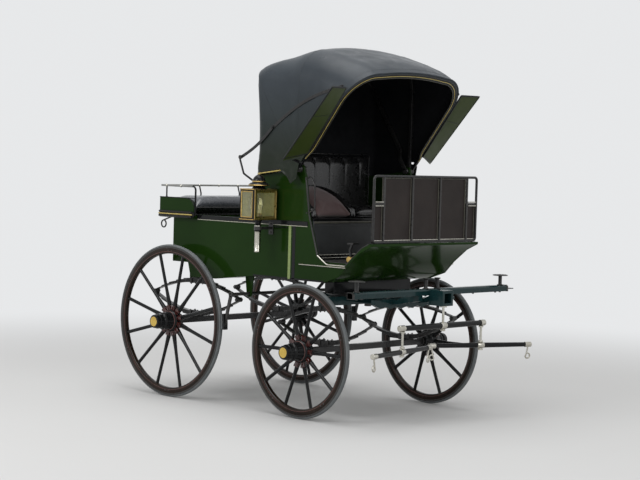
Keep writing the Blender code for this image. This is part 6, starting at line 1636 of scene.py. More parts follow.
def makeSquab():
    facts = cushions["squab"]
    back, thick, (low, high), (bottom, top) = facts["back"], facts["thick"], facts["y"], facts["z"]
    tall, split = top - bottom, facts["split"]
    lying = padShape("backPad", (0.0, tall), (low, high), 0.0, lambda x, y: thick, "blackLeather", 34, 98)
    for vertex in lying.data.vertices:
        place = vertex.co - origin
        vertex.co = origin + Vector((back + place.z, -place.y, bottom + place.x))

    def press(place):  # the channels between the upright rolls, and a hollow where the rolls begin
        v = place.y / high
        share = (v * facts["rolls"] + 1) / 2
        near = 1 - 2 * abs(share - round(share))
        level = (place.z - bottom) / tall
        upper = clamped((level - split) * 12) * clamped((0.97 - level) * 14)
        seam = math.exp(-(((level - split) / 0.022) ** 2))
        face = clamped((place.x - back - thick * 0.45) / (thick * 0.3))
        return Vector((-face * (facts["channel"] * near**3.2 * upper + 0.010 * seam), 0, 0))

    x, y, z = back + thick * 0.42 + 0.002, 0.004 - high, top - 0.004
    frameLine = [(x - 0.004, *spot) for spot in ((y, bottom + 0.01), (y, z), (-y, z), (-y, bottom + 0.01))]
    extras = [makeBars("piping", [roundCorners(frameLine, 0.020)], 0.0042, "blackLeather", 10)]
    x, z = back + thick - 0.0095, bottom + split * tall
    extras.append(makeStitches("stitches", [[(x, low + 0.03, z), (x, high - 0.03, z)]]))
    makePad("backPad", "back_squab", lying, "blackLeather", extras, press)


plainPad("rearPad", "rear_cushion", cushions["rear"], "rearLeatherPaintedSheen")
plainPad("passengerPad", "front_cushion", cushions["passenger"])
makeDriverPad()
makeSquab()
print("cushions ready")


# Hood: everything in it lies in planes through the hinge, at an angle above the forward horizontal
hood = {
    "pivot": (-0.150, 1.705),
    "half": 0.600,
    "leather": 0.012,
    "angles": (52.0, 90.0, 123.0),
    "reaches": (0.875, 0.862, 0.862),
    "corners": (0.270, 0.250, 0.130),
    "backCorner": 0.055,
    "arch": 0.026,
    "sag": 0.023,
    "backFoot": -0.570,
    "middleZ": 2.1,
    "footZ": 1.652,  # of the leather's lowest edge, on the seat's back
    "leatherStart": 0.070,  # from the pivot, where the side leather begins
    "bulge": 0.006,  # how far it stands out over the hinge
    "bowThick": 0.024,
    "bowDepth": {"front": 0.040, "mid": 0.022, "rear": 0.022},
    "feet": {"mid": (0.561, 0.580), "front": (0.581, 0.600), "rear": (0.520, 0.539)},
    "bends": ((0.132, -0.294), (-0.117, 0.276), (0.0, 0.19)),  # where each gore passes from its bow to the body
    "splay": (0.100, 0.200),
    "foot": (0.0095, 0.0205, 0.022),  # radii of a bow's foot: its bore, its face and its rim
    "faceLines": ((0.50, 0.0026, "goldLine"), (0.10, 0.0012, "beadLeather"), (0.92, 0.0014, "beadLeather")),
    "crease": 0.0060,  # how far the leather's folds stand up
    "fine": 3.0,  # degrees between two rows of the leather
    "columns": (12, 20),  # of the leather's mesh up each side and corner, and over the top
}
halfBow = hood["bowThick"] / 2
levelBand = math.degrees(math.atan(halfBow / (hood["reaches"][2] - 3 * hood["bowDepth"]["rear"])))
lastAngle = 180 + math.degrees(
    math.atan((hood["pivot"][1] - hood["footZ"] - 0.0003) / (hood["pivot"][0] - hood["backFoot"]))
)
firstAngle = hood["angles"][0] - math.degrees(math.atan(halfBow / hood["reaches"][0]))


def ribShape(angle):  # reach, corner and arch of the leather's outside
    stops, reaches, corners = hood["angles"], hood["reaches"], hood["corners"]
    if angle <= stops[2]:
        first = 0 if angle <= stops[1] else 1
        share = clamped((angle - stops[first]) / (stops[first + 1] - stops[first]))
        ease = smoothed(share)
        reach = mix(reaches[first], reaches[first + 1], ease) - hood["sag"] * math.sin(math.pi * share) ** 2
        return reach, mix(corners[first], corners[first + 1], ease), hood["arch"]
    top = stops[2] + levelBand
    if angle <= top:
        return reaches[2], corners[2], hood["arch"]
    px, pz = hood["pivot"]
    turn = math.radians(top)
    topX, topZ = px + reaches[2] * math.cos(turn), pz + reaches[2] * math.sin(turn)
    lean = (topX - hood["backFoot"]) / (topZ - pz)
    turn = math.radians(angle)
    reach = (hood["backFoot"] - px) / (math.cos(turn) - lean * math.sin(turn))
    share = min((angle - top) / (180 - top), 1.0)
    return reach, mix(corners[2], hood["backCorner"], share), hood["arch"] * (1 - share)


def ribOutline(reach, half, corner, arch, start):  # an arch in (sideways, outwards), from the right foot to the left
    upright, across = hood["columns"]
    level = reach - arch - corner
    points = [(-half, mix(start, level, i / upright)) for i in range(upright)]
    points += arc((corner - half, level), corner, 180, 90, upright)
    flat = half - corner
    shares = [2 * i / across - 1 for i in range(1, across)]
    return points + [(flat * u, reach - arch * u**2) for u in shares] + [(-y, s) for y, s in reversed(points)]


def ribPoint(angle, y, outwards, normal=0.0):
    px, pz = hood["pivot"]
    turn = math.radians(angle)
    return (
        px + outwards * math.cos(turn) - normal * math.sin(turn), y,
        pz + outwards * math.sin(turn) + normal * math.cos(turn)
    )


def creased(angle, y, outwards, low, high):  # broad, soft folds that die out at the seams
    share = clamped((angle - low) / (high - low))
    along = noise.noise(Vector((angle * 0.055, y * 1.7 + 3.0, outwards * 1.9)))
    cross = noise.noise(Vector((angle * 0.16 + y * 2.0, y * 4.0, outwards * 4.5 + 7.0)))
    return hood["crease"] * (along * 1.5 + cross * 0.8) * math.sin(math.pi * share) ** 0.7


def makeGore(name, low, high, binding):  # one sewn width of the leather with its lining, between two rib angles
    count = max(4, round((high - low) / hood["fine"]))
    outside, inside = [], []
    wall = hood["leather"]
    for row in range(count + 1):
        angle = mix(low, high, row / count)
        reach, corner, arch = ribShape(angle)
        start = hood["leatherStart"]
        outer = ribOutline(reach, hood["half"], corner, arch, start)
        inner = ribOutline(reach - wall, hood["half"] - wall, corner - wall, arch, start)
        rowOut, rowIn = [], []
        for index, ((y, s), (yIn, sIn)) in enumerate(zip(outer, inner)):
            way = Vector((y - yIn, s - sIn)).normalized()
            lift = creased(angle, y, s, low, high) * min(
                1.0, 6.0 * (index + 1) / len(outer), 6.0 * (len(outer) - index) / len(outer)
            )
            lift += hood["bulge"] * clamped((0.24 - s) / 0.10)
            rowOut.append(ribPoint(angle, y + way.x * lift, s + way.y * lift))
            rowIn.append(ribPoint(angle, yIn + way.x * lift, sIn + way.y * lift))
        outside.append(rowOut)
        inside.append(rowIn)
    across = len(outside[0])
    vertices = [point for row in outside + inside for point in row]
    below = across * (count + 1)
    faces, insideFaces = [], set()
    for row in range(count):
        for column in range(across - 1):
            a, b = row * across + column, (row + 1) * across + column
            faces.append([a, a + 1, b + 1, b])
            insideFaces.add(len(faces))
            faces.append([below + b, below + b + 1, below + a + 1, below + a])
        for column in (0, across - 1):
            a, b = row * across + column, (row + 1) * across + column
            faces.append([a, b, below + b, below + a])
    for row in (0, count):
        for column in range(across - 1):
            a = row * across + column
            faces.append([a, a + 1, below + a + 1, below + a])
    gore = makePiece("gore", vertices, faces, "hoodLeatherPaintedSheen", 45)
    lining = addPaint(gore, "hoodLining")
    for index, polygon in enumerate(gore.data.polygons):
        if index in insideFaces:
            polygon.material_index = lining
    area = sum(polygon.area for polygon in gore.data.polygons if polygon.material_index == 0)
    long = sum((Vector(b) - Vector(a)).length for a, b in zip(outside[0], outside[0][1:]))
    deep = max(
        sum((Vector(outside[row + 1][column]) - Vector(outside[row][column])).length for row in range(count))
        for column in (0, across // 4, across // 2)
    )
    lines = [[row[column] for row in outside] for column in (0, across - 1)]
    bound = [gore, makeBars("hem", lines, 0.0045, "hoodLeatherPaintedSheen", 10), *binding(outside, inside)]
    return joined(name, bound), (max(long, area / deep), deep), area


def offRow(row, away):  # a row of points moved outwards from the hood's middle
    moved = []
    for x, y, z in row:
        way = Vector((0, y, z - hood["middleZ"]))
        way.z = max(way.z, 0.0)
        moved.append(tuple(Vector((x, y, z)) + way.normalized() * away))
    return moved


def frontBinding(outside, inside):  # a rolled edge over the front bow, with a line of stitches behind it
    roll = makeBars("roll", [outside[0]], 0.0052, "hoodLeatherPaintedSheen", 12)
    inner = makeBars("innerRoll", [inside[0]], 0.0048, "hoodLeatherPaintedSheen", 12)
    return [roll, inner, makeStitches("stitches", [offRow(outside[1], 0.0006)], pitch=0.010)]


def seamStitches(outside, _):
    return [makeStitches("stitches", [offRow(outside[0], 0.0012)], pitch=0.010)]


def footBinding(outside, inside):  # the gold line along the foot, over a black lace
    foot = [tuple(Vector(point) + Vector((0, 0, 0.006))) for point in outside[-1]]
    lace = [tuple(Vector(point) + Vector((0, 0, 0.018))) for point in outside[-1]]
    gold = makeBars("goldFoot", [offRow(foot, 0.0025)], 0.0046, "goldLine", 10)
    return [gold, makeBars("lace", [offRow(lace, 0.001)], 0.0032, "wingLeather", 8), *seamStitches(outside, inside)]


def layGore(name, low, high, binding, node):  # one width laid in place, standing for its node
    gore, flat, area = makeGore(name, low, high, binding)
    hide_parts(node)
    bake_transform(gore)


def makeHoodLeather():  # three widths, sewn over the middle and rear bows
    _, mid, rear = hood["angles"]
    px, pz = hood["pivot"]

    def level(x):
        return tuple(origin + Vector((x, 0, 2.2)))

    def behind(distance):  # from the rear bow's plane
        turn = math.radians(rear)
        return tuple(origin + Vector((px - distance * math.sin(turn), 0, pz + distance * math.cos(turn))))

    layGore(
        "hoodFrontLeather", firstAngle, mid, frontBinding, "hood_leather_front",
    )
    layGore(
        "hoodTopLeather", mid, rear, seamStitches, "hood_leather_rear",
    )
    layGore(
        "hoodBackLeather", rear, lastAngle, footBinding, "hood_leather_rear",
    )


def bowOutline(angle, depth, foot):
    reach, corner, arch = ribShape(angle)
    cover = hood["leather"] + 0.0006
    low, high = hood["splay"]
    outerHalf, innerHalf = hood["half"] - cover, hood["half"] - cover - depth
    outer = ribOutline(reach - cover, outerHalf, corner - hood["leather"], arch, high)
    inner = ribOutline(reach - cover - depth, innerHalf, corner - hood["leather"] - depth, arch, high)

    def leg(footY, half):
        points = [(footY, 0.0)]
        for i in range(9):
            share = i / 8
            points.append((mix(footY, half, smoothed(share)), mix(low, high - 0.004, share)))
        return points

    outerLeg, innerLeg = leg(foot[1], outerHalf), leg(foot[0], innerHalf)
    outside = [(-y, s) for y, s in outerLeg] + outer + outerLeg[::-1]
    inside = [(-y, s) for y, s in innerLeg] + inner + innerLeg[::-1]
    return outside, inside


def makeBow(name, word, angle, paint):
    depth, foot = hood["bowDepth"][word], hood["feet"][word]
    outside, inside = bowOutline(angle, depth, foot)
    half, count = halfBow, len(outside)
    vertices = [ribPoint(angle, y, s, face) for face in (-half, half) for y, s in outside + inside]
    faces, back = [], 2 * count
    for i in range(count - 1):
        j = i + 1
        faces += [[i, j, count + j, count + i], [back + i, back + count + i, back + count + j, back + j]]
        faces += [[i, back + i, back + j, j], [count + i, count + j, back + count + j, back + count + i]]
    for i in (0, count - 1):
        faces.append([i, count + i, back + count + i, back + i])
    pieces = [softenEdges(makePiece("bow", vertices, faces, paint), 0.0022, 3, 40)]
    for side in (right, left):
        low, high = span(side * foot[0], side * foot[1])
        bore, flat, rim = hood["foot"]
        ring = [(bore, low), (flat, low), (rim, low + 0.0015), (rim, high - 0.0015), (flat, high), (bore, high)]
        pieces.append(makeTurned("foot", ring, (hood["pivot"][0], 0, hood["pivot"][1]), "Y", "blackIron", 32))
    if word == "front":  # a gold line and a fine pale one on its broad face
        for share, radius, finish in hood["faceLines"]:
            line = [
                (mix(yo, yi, share), mix(so, si, share)) for (yo, so), (yi, si) in zip(outside, inside) if so > 0.03
            ]
            line = [ribPoint(angle, y, s, -half - 0.0002) for y, s in line]
            pieces.append(makeBars("faceLine", [line], radius, finish, 8))
    setOn(joined(name, pieces), "hood_" + word, "hood_bow_" + word, paint=paint)


wing = {
    "inner": 0.6003, "outer": 0.768, "foot": 0.146, "low": 0.060, "high": 0.715, "twist": 0.026, "flare": 0.020,
    "thick": 0.010, "cells": 12,
}


def makeWing(side):  # a leather-covered board beside the front bow, green on its face, bound in black
    foot = wing["foot"]
    corners = [(wing["inner"], foot, 0.0), (wing["outer"], wing["low"], wing["twist"])]
    corners += [(wing["outer"], wing["high"] + wing["flare"], -wing["twist"]), (wing["inner"], wing["high"], 0.0)]
    half, n = wing["thick"] / 2, wing["cells"]

    def spot(u, v, face):
        low = [mix(corners[0][k], corners[1][k], u) for k in range(3)]
        high = [mix(corners[3][k], corners[2][k], u) for k in range(3)]
        y, s, normal = (mix(low[k], high[k], v) for k in range(3))
        puff = 0.0012 * (1 - (2 * u - 1) ** 4) * (1 - (2 * v - 1) ** 4)
        return ribPoint(hood["angles"][0], side * y, s, normal - halfBow + face * (half - 0.0012 + puff))

    vertices = [spot(i / n, j / n, face) for face in (-1, 1) for j in range(n + 1) for i in range(n + 1)]
    total, faces = (n + 1) ** 2, []
    for j in range(n):
        for i in range(n):
            a = j * (n + 1) + i
            faces.append([a, a + 1, a + n + 2, a + n + 1])
            faces.append([total + a + n + 1, total + a + n + 2, total + a + 1, total + a])
    rim = [*range(n)] + [j * (n + 1) + n for j in range(n)]
    rim += [n * (n + 1) + n - i for i in range(n)] + [(n - j) * (n + 1) for j in range(n)]
    faces += [[a, b, total + b, total + a] for a, b in zip(rim, rim[1:] + rim[:1])]
    board = makePiece("board", vertices, faces, "wingLeather", 40)
    green = addPaint(board, "flapGreen")
    for index in range(0, 2 * n * n, 2):
        board.data.polygons[index].material_index = green
    border = [spot(u, v, 0) for u, v in ((0.012, 0.006), (0.988, 0.006), (0.988, 0.994), (0.012, 0.994))]
    pieces = [board, makeBars("binding", [roundRing(border, 0.010)], 0.0062, "wingLeather", 12, closed=True)]
    for face in (-1.12, 1.12):
        inset = [spot(u, v, face) for u, v in ((0.09, 0.03), (0.91, 0.03), (0.91, 0.97), (0.09, 0.97))]
        edges = zip(inset, inset[1:] + inset[:1])
        lines = [[tuple(Vector(a).lerp(Vector(b), i / 12)) for i in range(13)] for a, b in edges]
        pieces.append(makeStitches("stitches", lines, pitch=0.010))
    seam = [[spot(i / 12, 0.60, face * 1.05) for i in range(1, 12)] for face in (-1, 1)]
    pieces.append(makeBars("seam", seam, 0.0016, "wingLeather", 8))
    setOn(
        joined("hoodWing_" + sideWords[side], pieces), "hood_front", "hood_wing_" + sideWords[side],
        paint="wingLeather"
    )


# Joint irons
irons = {
    "prop": (-0.700, 1.776), "knuckle": (-0.390, 1.990), "head": (0.265, 2.270), "width": 0.022, "thick": 0.006,
    "upper": ("knuckle", "head", 0.045, 0.6003),  # its ends, bow and place
    "lower": ("prop", "knuckle", -0.018, 0.6066),
    "cap": ((0, 0.0), (0.0105, 0.0), (0.0105, 0.0015), (0.0080, 0.0042), (0.0040, 0.0056), (0, 0.0058)),
}


def strapOutline(path, width):
    points, ends = [Vector(point) for point in path], 12
    leftSide, rightSide = [], []
    for i, point in enumerate(points):
        heading = (points[min(i + 1, len(points) - 1)] - points[max(i - 1, 0)]).normalized()
        across = Vector((-heading.y, heading.x)) * width / 2
        leftSide.append(tuple(point + across))
        rightSide.append(tuple(point - across))
    ahead = math.degrees(math.atan2((points[-1] - points[-2]).y, (points[-1] - points[-2]).x))
    behind = math.degrees(math.atan2((points[1] - points[0]).y, (points[1] - points[0]).x))
    outline = rightSide + arc(points[-1], width / 2, ahead - 90, ahead + 90, ends)[1:-1] + leftSide[::-1]
    return outline + arc(points[0], width / 2, behind + 90, behind + 270, ends)[1:-1]


def bowedPath(start, end, bow, steps):
    dx, dz = end[0] - start[0], end[1] - start[1]
    long = math.hypot(dx, dz)
    path = []
    for i in range(steps + 1):
        bend = bow * math.sin(math.pi * i / steps)
        path.append((start[0] + dx * i / steps - dz / long * bend, start[1] + dz * i / steps + dx / long * bend))
    return path


def makeIrons(side):
    word = sideWords[side]
    for name in ("lower", "upper"):
        start, end, bow, inner = irons[name]
        path = bowedPath(irons[start], irons[end], bow, 20)
        face = side * (inner + irons["thick"])
        y = span(side * inner, face)
        pieces = [softPrism("strap", strapOutline(path, irons["width"]), y[0], y[1], "Y", "blackIron", 0.0022, 3)]
        spots = [irons["head"]] if name == "upper" else [irons["knuckle"], irons["prop"]]
        for x, z in spots:
            shape = [(radius, side * away) for radius, away in irons["cap"]]
            if name == "upper" or x == irons["knuckle"][0]:
                pieces.append(makeTurned("cap", shape, (x, face, z), "Y", "blackPaint", 24, 40))
            else:
                pieces.append(
                    makeTurned("cap", [(r, d * 0.1) for r, d in shape], (x, face, z), "Y", "blackIron", 24, 40)
                )
        iron = joined(f"hoodIron_{name}_{word}", pieces)
        setOn(iron, f"iron_{name}_{word}", f"hood_iron_{name}_{word}", paint="blackIron")


hingeFlap = {
    "cells": (16, 12), "y": 0.6155, "thick": 0.0022, "flat": (0.24, 0.16), "area": 0.0190,
    "top": ((-0.330, 1.728), (-0.250, 1.748), (-0.180, 1.762), (-0.115, 1.742)),
    "low": ((-0.290, 1.700), (-0.225, 1.650), (-0.185, 1.602), (-0.135, 1.640)),
}


def makeHingeFlap(side):  # the soft leather corner that hangs over the hinge
    (n, m), word = hingeFlap["cells"], sideWords[side]

    def along(line, u):
        u *= 3
        i = min(int(u), 2)
        return Vector(line[i]).lerp(Vector(line[i + 1]), u - i)

    rows = {}
    for face in (0, 1):
        for j in range(m + 1):
            for i in range(n + 1):
                u, v = i / n, j / m
                spot = along(hingeFlap["top"], u).lerp(along(hingeFlap["low"], u), v)
                wave = 0.004 * math.sin(u * 9.0 + 0.8) * v + 0.003 * noise.noise(Vector((u * 4, v * 3, side)))
                away = hingeFlap["y"] + 0.004 * v + wave + hingeFlap["thick"] * face
                rows[face, j, i] = (spot.x, side * away, spot.y)
    keys = {key: index for index, key in enumerate(rows)}
    faces = []
    for j in range(m):
        for i in range(n):
            corners = [(j, i), (j, i + 1), (j + 1, i + 1), (j + 1, i)]
            faces.append([keys[(0, *corner)] for corner in corners])
            faces.append([keys[(1, *corner)] for corner in reversed(corners)])
    rim = [(0, i) for i in range(n)] + [(j, n) for j in range(m)]
    rim += [(m, n - i) for i in range(n)] + [(m - j, 0) for j in range(m)]
    faces += [[keys[(0, *a)], keys[(0, *b)], keys[(1, *b)], keys[(1, *a)]] for a, b in zip(rim, rim[1:] + rim[:1])]
    flap = makePiece("flap", list(rows.values()), faces, "hoodLeatherPaintedSheen", 50)
    stitches = makeStitches("stitches", [[rows[1, m - 1, i] for i in range(1, n)]])
    edge = makeBars("edge", [[rows[1, m, i] for i in range(n + 1)]], 0.0022, "hoodLeatherPaintedSheen", 8)
    piece = joined("hingeFlap_" + word, [flap, edge, stitches])
    setOn(piece, "carriage", paint="hoodLeatherPaintedSheen")


bowNames = (
    ("hoodFrontBow", "front", "blackPaint"), ("hoodMidBow", "mid", "blackIron"), ("hoodRearBow", "rear", "blackIron")
)
for (bowName, bowWord, bowPaint), bowAngle in zip(bowNames, hood["angles"]):
    makeBow(bowName, bowWord, bowAngle, bowPaint)
makeHoodLeather()
for hoodSide in (right, left):
    makeWing(hoodSide)
    makeIrons(hoodSide)
    makeHingeFlap(hoodSide)
print("hood ready")


# Lamps
lamp = {
    "x": -0.425, "y": 0.6925, "depth": 0.150, "width": 0.215, "z": (1.347, 1.556), "wall": 0.006, "frame": 0.016,
    "door": 0.010, "chimneyTop": 1.662, "chimneyRadius": 0.075, "tailBottom": 1.118, "tailRadius": 0.022,
    "chimney": (  # share of its radius, share of its height
        (0.90, 0.0), (0.90, 0.03), (0.64, 0.05), (0.62, 0.09), (0.55, 0.17), (0.60, 0.19), (0.94, 0.225), (1.0, 0.25),
        (1.0, 0.275), (0.97, 0.295), (0.93, 0.34), (0.80, 0.40), (0.66, 0.44), (0.64, 0.47), (0.66, 0.485),
        (0.66, 0.52), (0.61, 0.545), (0.58, 0.64), (0.50, 0.76), (0.40, 0.84), (0.30, 0.90), (0.17, 0.94),
        (0.15, 0.965), (0.10, 0.985), (0.0, 1.0),
    ),
    "chimneyBrass": (8, 9, 15, 16, 23, 24),
    "tail": (
        (1.5, 0.0), (1.5, 0.02), (1.35, 0.04), (0.95, 0.08), (0.90, 0.14), (1.10, 0.17), (1.15, 0.19), (1.15, 0.22),
        (1.05, 0.24), (1.05, 0.33), (1.15, 0.345), (1.15, 0.375), (1.02, 0.39), (0.98, 0.41), (0.98, 0.95),
        (1.04, 0.96), (1.04, 0.985), (0.92, 1.0), (0.0, 1.0),
    ),
    "tailNickel": (7, 8, *range(12, 20)),
    "reflector": (
        (0, 0.002), (0.020, 0.003), (0.040, 0.008), (0.058, 0.016), (0.064, 0.021), (0.065, 0.0200), (0.058, 0.0145),
        (0.040, 0.0065), (0.020, 0.0015), (0, 0.0005),
    ),
    "candle": ((0, 0), (0.0115, 0), (0.0115, 0.078), (0.0095, 0.082), (0.003, 0.083), (0, 0.083)),
    "cup": (
        (0, 0), (0.021, 0), (0.021, 0.006), (0.015, 0.010), (0.0145, 0.030), (0.0165, 0.034), (0.0125, 0.036),
        (0, 0.036),
    ),
    "catch": ((0, 0), (0.0065, 0), (0.0065, 0.0012), (0.004, 0.0024), (0.0042, 0.0045), (0, 0.0050)),
    "socket": ((0.0225, -0.014), (0.027, -0.012), (0.027, 0.012), (0.0225, 0.014)),
    "armShare": 0.27,  # of the tail's length, down from the case
    "armDrop": 0.0011,
    "pad": (0.5603, 0.568),
    "doorRim": 0.019,
    "overlap": 0.003,  # of a pane behind its frame
    "glass": 0.0022,
}


def frameRing(name, box, width, thick, place, axis="X"):  # four mitred strips round an opening, sloped inwards
    (a0, a1), (b0, b1) = box
    profile = [
        (0.0, 0.0), (0.0, thick), (0.0022, thick + 0.0012), (width * 0.35, thick + 0.0012),
        (width * 0.55, thick * 0.55), (width - 0.0015, thick * 0.35), (width, 0.0)
    ]
    vertices, faces, count = [], [], len(profile)
    for a, b, sa, sb in ((a0, b0, 1, 1), (a1, b0, -1, 1), (a1, b1, -1, -1), (a0, b1, 1, -1)):
        for inset, lift in profile:
            p, q, h = a + sa * inset, b + sb * inset, place[0] + place[1] * lift
            vertices.append((h, p, q) if axis == "X" else (p, h, q))
    for corner in range(4):
        for i in range(count):
            a, b = corner * count + i, corner * count + (i + 1) % count
            c, d = ((corner + 1) % 4) * count + (i + 1) % count, ((corner + 1) % 4) * count + i
            faces.append([a, b, c, d])
    return makePiece(name, vertices, faces, "brass", 25)


def lampSides(side):  # the inner and the outer face of a lamp
    return side * (lamp["y"] - lamp["width"] / 2), side * (lamp["y"] + lamp["width"] / 2)


def makeLampCase(side):
    word, x, y = sideWords[side], lamp["x"], side * lamp["y"]
    back, front = x - lamp["depth"] / 2, x + lamp["depth"] / 2 - lamp["door"] - 0.0003
    low, high = lamp["z"]
    inner, outer = lampSides(side)
    wall, rim = lamp["wall"], lamp["frame"]
    wide = span(inner, outer)
    plates = [((back, back + wall), wide, (low, high)), ((back, front), wide, (low, low + wall))]
    plates += [
        ((back, front), wide, (high - wall, high)), ((back, front), span(inner, inner + side * wall), (low, high))
    ]
    pieces = [softBlock("plate", *plate, "blackPaint", 0.0015) for plate in plates]
    windowX, windowZ = (back + rim, front - rim), (low + rim, high - rim)
    post = span(outer - side * wall, outer)
    for px in ((back, windowX[0]), (windowX[1], front)):  # the corner posts beside the side window
        pieces.append(softBlock("post", px, post, (low, high), "blackPaint", 0.0015))
    for pz in ((low, windowZ[0]), (windowZ[1], high)):
        pieces.append(softBlock("rail", (windowX[0] - 0.001, windowX[1] + 0.001), post, pz, "blackPaint", 0.0012))
    lap = lamp["overlap"]
    window = ((windowX[0] - lap, windowX[1] + lap), (windowZ[0] - lap, windowZ[1] + lap))
    pieces.append(frameRing("sideFrame", window, 0.0065, 0.0024, (outer - side * 0.0006, side), "Y"))
    for rail in ((low + 0.0015, low - 0.0015), (high - 0.0015, high + 0.0015)):
        corners = [(back, inner), (front, inner), (front, outer), (back, outer)]
        pieces.append(
            makeBars("cornice", [[(a, b, sum(rail) / 2) for a, b in corners]], 0.0034, "brass", 10, closed=True)
        )
    pieces.append(
        makeTurned(
            "reflector", lamp["reflector"], (back + wall, y - side * 0.02, (low + high) / 2), "X", "mirror", 40, 50
        )
    )
    room, deep, tall = span(inner + side * wall, outer - side * wall), (back + wall, front), (low + wall, high - wall)
    sheets = (  # the linings of the inner side, the back, the bottom and the head, in a pale yellow-green that is a painted reflection standing in for their silvered shine seen through the glass
        ((back + 0.010, front - 0.002), span(inner + side * wall, inner + side * (wall + 0.0012)), tall),
        ((back + wall, back + wall + 0.0010), room, tall),
        (deep, room, (low + wall, low + wall + 0.0010)),
        (deep, room, (high - wall - 0.0010, high - wall)),
    )
    pieces += [makeBlock("lining", *sheet, "lampLining") for sheet in sheets]
    pieces.append(makeTurned("candle", lamp["candle"], (x + 0.012, y, low + wall + 0.012), "Z", "wax", 24, 40))
    pieces.append(makeTurned("cup", lamp["cup"], (x + 0.012, y, low + wall), "Z", "brass", 24, 35))
    rise, fall = lamp["chimneyTop"] - high, low - lamp["tailBottom"]
    chimney = [(0, -0.001)] + [(lamp["chimneyRadius"] * across, rise * share) for across, share in lamp["chimney"]]
    bands = dict.fromkeys(lamp["chimneyBrass"], "brass")
    pieces.append(makeTurned("chimney", chimney, (x, y, high), "Z", "blackPaint", 48, 30, bands))
    tail = [(0, 0.001)] + [(lamp["tailRadius"] * across, -fall * share) for across, share in lamp["tail"]]
    bands = dict.fromkeys(lamp["tailNickel"], "nickel")
    pieces.append(makeTurned("tail", tail, (x, y, low), "Z", "blackPaint", 40, 30, bands))
    armZ = low - fall * lamp["armShare"] - lamp["armDrop"]
    against, proud = (side * y for y in lamp["pad"])
    arm = softBlock(
        "arm", (x - 0.012, x + 0.012), span(against, y), (armZ - 0.009, armZ + 0.009), "blackIron", 0.004, 3
    )
    pad = softBlock(
        "pad", (x - 0.022, x + 0.022), span(against, proud), (armZ - 0.045, armZ + 0.045), "blackIron", 0.003, 3
    )
    bolts = makeHeads("bolts", [((x, proud, armZ + d), (0, side, 0)) for d in (-0.030, 0.030)], 0.0075, 0.008)
    pieces += [arm, pad, bolts, makeTurned("socket", lamp["socket"], (x, y, armZ), "Z", "blackIron", 32)]
    setOn(joined("lamp_" + word + "_case", pieces), "carriage", "lamp_" + word, paint="blackIron")
    inset = side * 0.0035
    glass = span(outer - inset, outer - inset - side * lamp["glass"])
    pane = makeBlock("lampPane_" + word, window[0], glass, window[1], "lampGlass")
    setOn(pane, "carriage", paint="lampGlass")


def makeLampDoor(side):
    word = sideWords[side]
    start = lamp["x"] + lamp["depth"] / 2 - lamp["door"]
    low, high = lamp["z"]
    inner, outer = lampSides(side)
    wide, rim = span(inner, outer), lamp["doorRim"]
    z = (low, high)
    body = lamp["door"] - 0.0035
    between = (wide[0] + rim - 0.001, wide[1] - rim + 0.001)
    strips = [
        ((wide[0], wide[0] + rim), z), ((wide[1] - rim, wide[1]), z), (between, (low, low + rim)),
        (between, (high - rim, high))
    ]
    pieces = [
        softBlock("stile", (start, start + body), across, upright, "blackPaint", 0.0012) for across, upright in strips
    ]
    pieces.append(
        frameRing(
            "doorFrame", ((wide[0] + 0.001, wide[1] - 0.001), (low + 0.001, high - 0.001)), 0.0215, 0.0022,
            (start + body, 1)
        )
    )
    for zHinge in (low + 0.035, high - 0.035):
        knuckle = [[(start + lamp["door"] - 0.004, inner + side * 0.0025, zHinge + end) for end in (-0.011, 0.011)]]
        pieces.append(makeBars("knuckle", knuckle, 0.0038, "brass", 12))
    pieces.append(
        makeTurned(
            "catch", lamp["catch"], (start + body + 0.0015, outer - side * 0.010, (low + high) / 2), "X", "brass", 20,
            35
        )
    )
    door = joined("lampDoor_" + word, pieces)
    setOn(door, "lamp_door_" + word, "lamp_door_" + word, paint="brass")
    pane = makeBlock(
        "lampDoorPane_" + word, (start + 0.002, start + 0.002 + lamp["glass"]),
        (wide[0] + rim - 0.004, wide[1] - rim + 0.004), (low + rim - 0.004, high - rim + 0.004), "lampGlass"
    )
    setOn(pane, "lamp_door_" + word, paint="lampGlass")


for lampSide in (right, left):
    makeLampCase(lampSide)
    makeLampDoor(lampSide)
print("lamps ready")

# Brake
brake = {
    "x": -0.700, "z": 0.800, "radius": 0.012, "halfTrack": 0.675, "clearance": 0.012, "high": 0.110, "thick": 0.032,
    "shoeZ": 0.600, "pedalFoot": 1.135, "rubberShare": 0.94, "blockHalf": 0.0187, "rubberHalf": 0.0165,
    "eye": ((0.0115, -0.009), (0.019, -0.009), (0.020, -0.007), (0.020, 0.007), (0.019, 0.009), (0.0115, 0.009)),
}


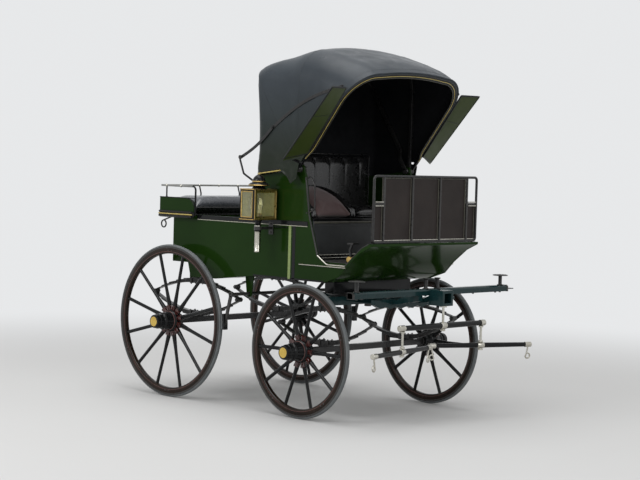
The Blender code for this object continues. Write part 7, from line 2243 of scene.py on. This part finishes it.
def makeBrake():
    wheelX, wheelR = wheels["rear"]["x"], wheels["rear"]["radius"]
    rise = brake["shoeZ"] - wheelR
    face = wheelX + math.sqrt(wheelR**2 - rise**2) + brake["clearance"]
    reach = brake["halfTrack"]
    shaft = [
        (0, -reach), (0.010, -reach), (brake["radius"], 0.002 - reach), (brake["radius"], reach - 0.002),
        (0.010, reach), (0, reach)
    ]
    pieces = [makeTurned("shaft", shaft, (brake["x"], 0, brake["z"]), "Y", "blackIron", 28)]
    for side in (right, left):
        y = side * reach
        radius = wheelR + brake["clearance"]
        half, tilt = math.degrees(brake["high"] / 2 / radius), math.degrees(math.asin(rise / radius))
        layers = (  # distances from the tread, half height, half width, finish and edge
            ("block", 0.012, brake["thick"], half, brake["blockHalf"], "blackPaint", 0.002),
            ("rubber", 0, 0.013, half * brake["rubberShare"], brake["rubberHalf"], "greyRubber", 0.0012),
        )
        for layer, near, far, reachUp, wide, paint, edge in layers:
            outline = arc((wheelX, wheelR), radius + near, tilt - reachUp, tilt + reachUp, 12)
            outline += arc((wheelX, wheelR), radius + far, tilt + reachUp, tilt - reachUp, 12)
            pieces.append(softPrism(layer, outline, y - wide, y + wide, "Y", paint, edge))
        foot = brake["shoeZ"] - 0.022
        arm = [
            (brake["x"] - 0.013, brake["z"]), (face + 0.010, foot), (face + 0.034, foot),
            (brake["x"] + 0.013, brake["z"])
        ]
        pieces.append(softPrism("arm", arm, y - 0.007, y + 0.007, "Y", "blackIron", 0.002))
        spot = (brake["x"], y - side * 0.002, brake["z"])
        pieces.append(makeTurned("eye", brake["eye"], spot, "Y", "blackIron", 28))
        bolt = ((face + 0.021, y + side * brake["blockHalf"], brake["shoeZ"]), (0, side, 0))
        pieces.append(makeHeads("bolt", [bolt], 0.008, 0.007))
    setOn(joined("brakeShaft", pieces), "brake_shaft", "brake_shaft", paint="blackIron")
    pedal = dressNode("brake_pedal", "brake_pedal", "blackIron", 0.0015, 2)  # brass only round its foot
    foot = addPaint(pedal, "brass")
    for face in pedal.data.polygons:
        if face.center.z < brake["pedalFoot"]:
            face.material_index = foot


makeBrake()
print("brake ready")


# Any node that no piece stands for yet
for nodeName, nodePiece in frame["nodes"].items():
    if not nodePiece.hide_render:
        nodePiece.data.materials.clear()
        nodePiece.data.materials.append(paints["blackPaint"])
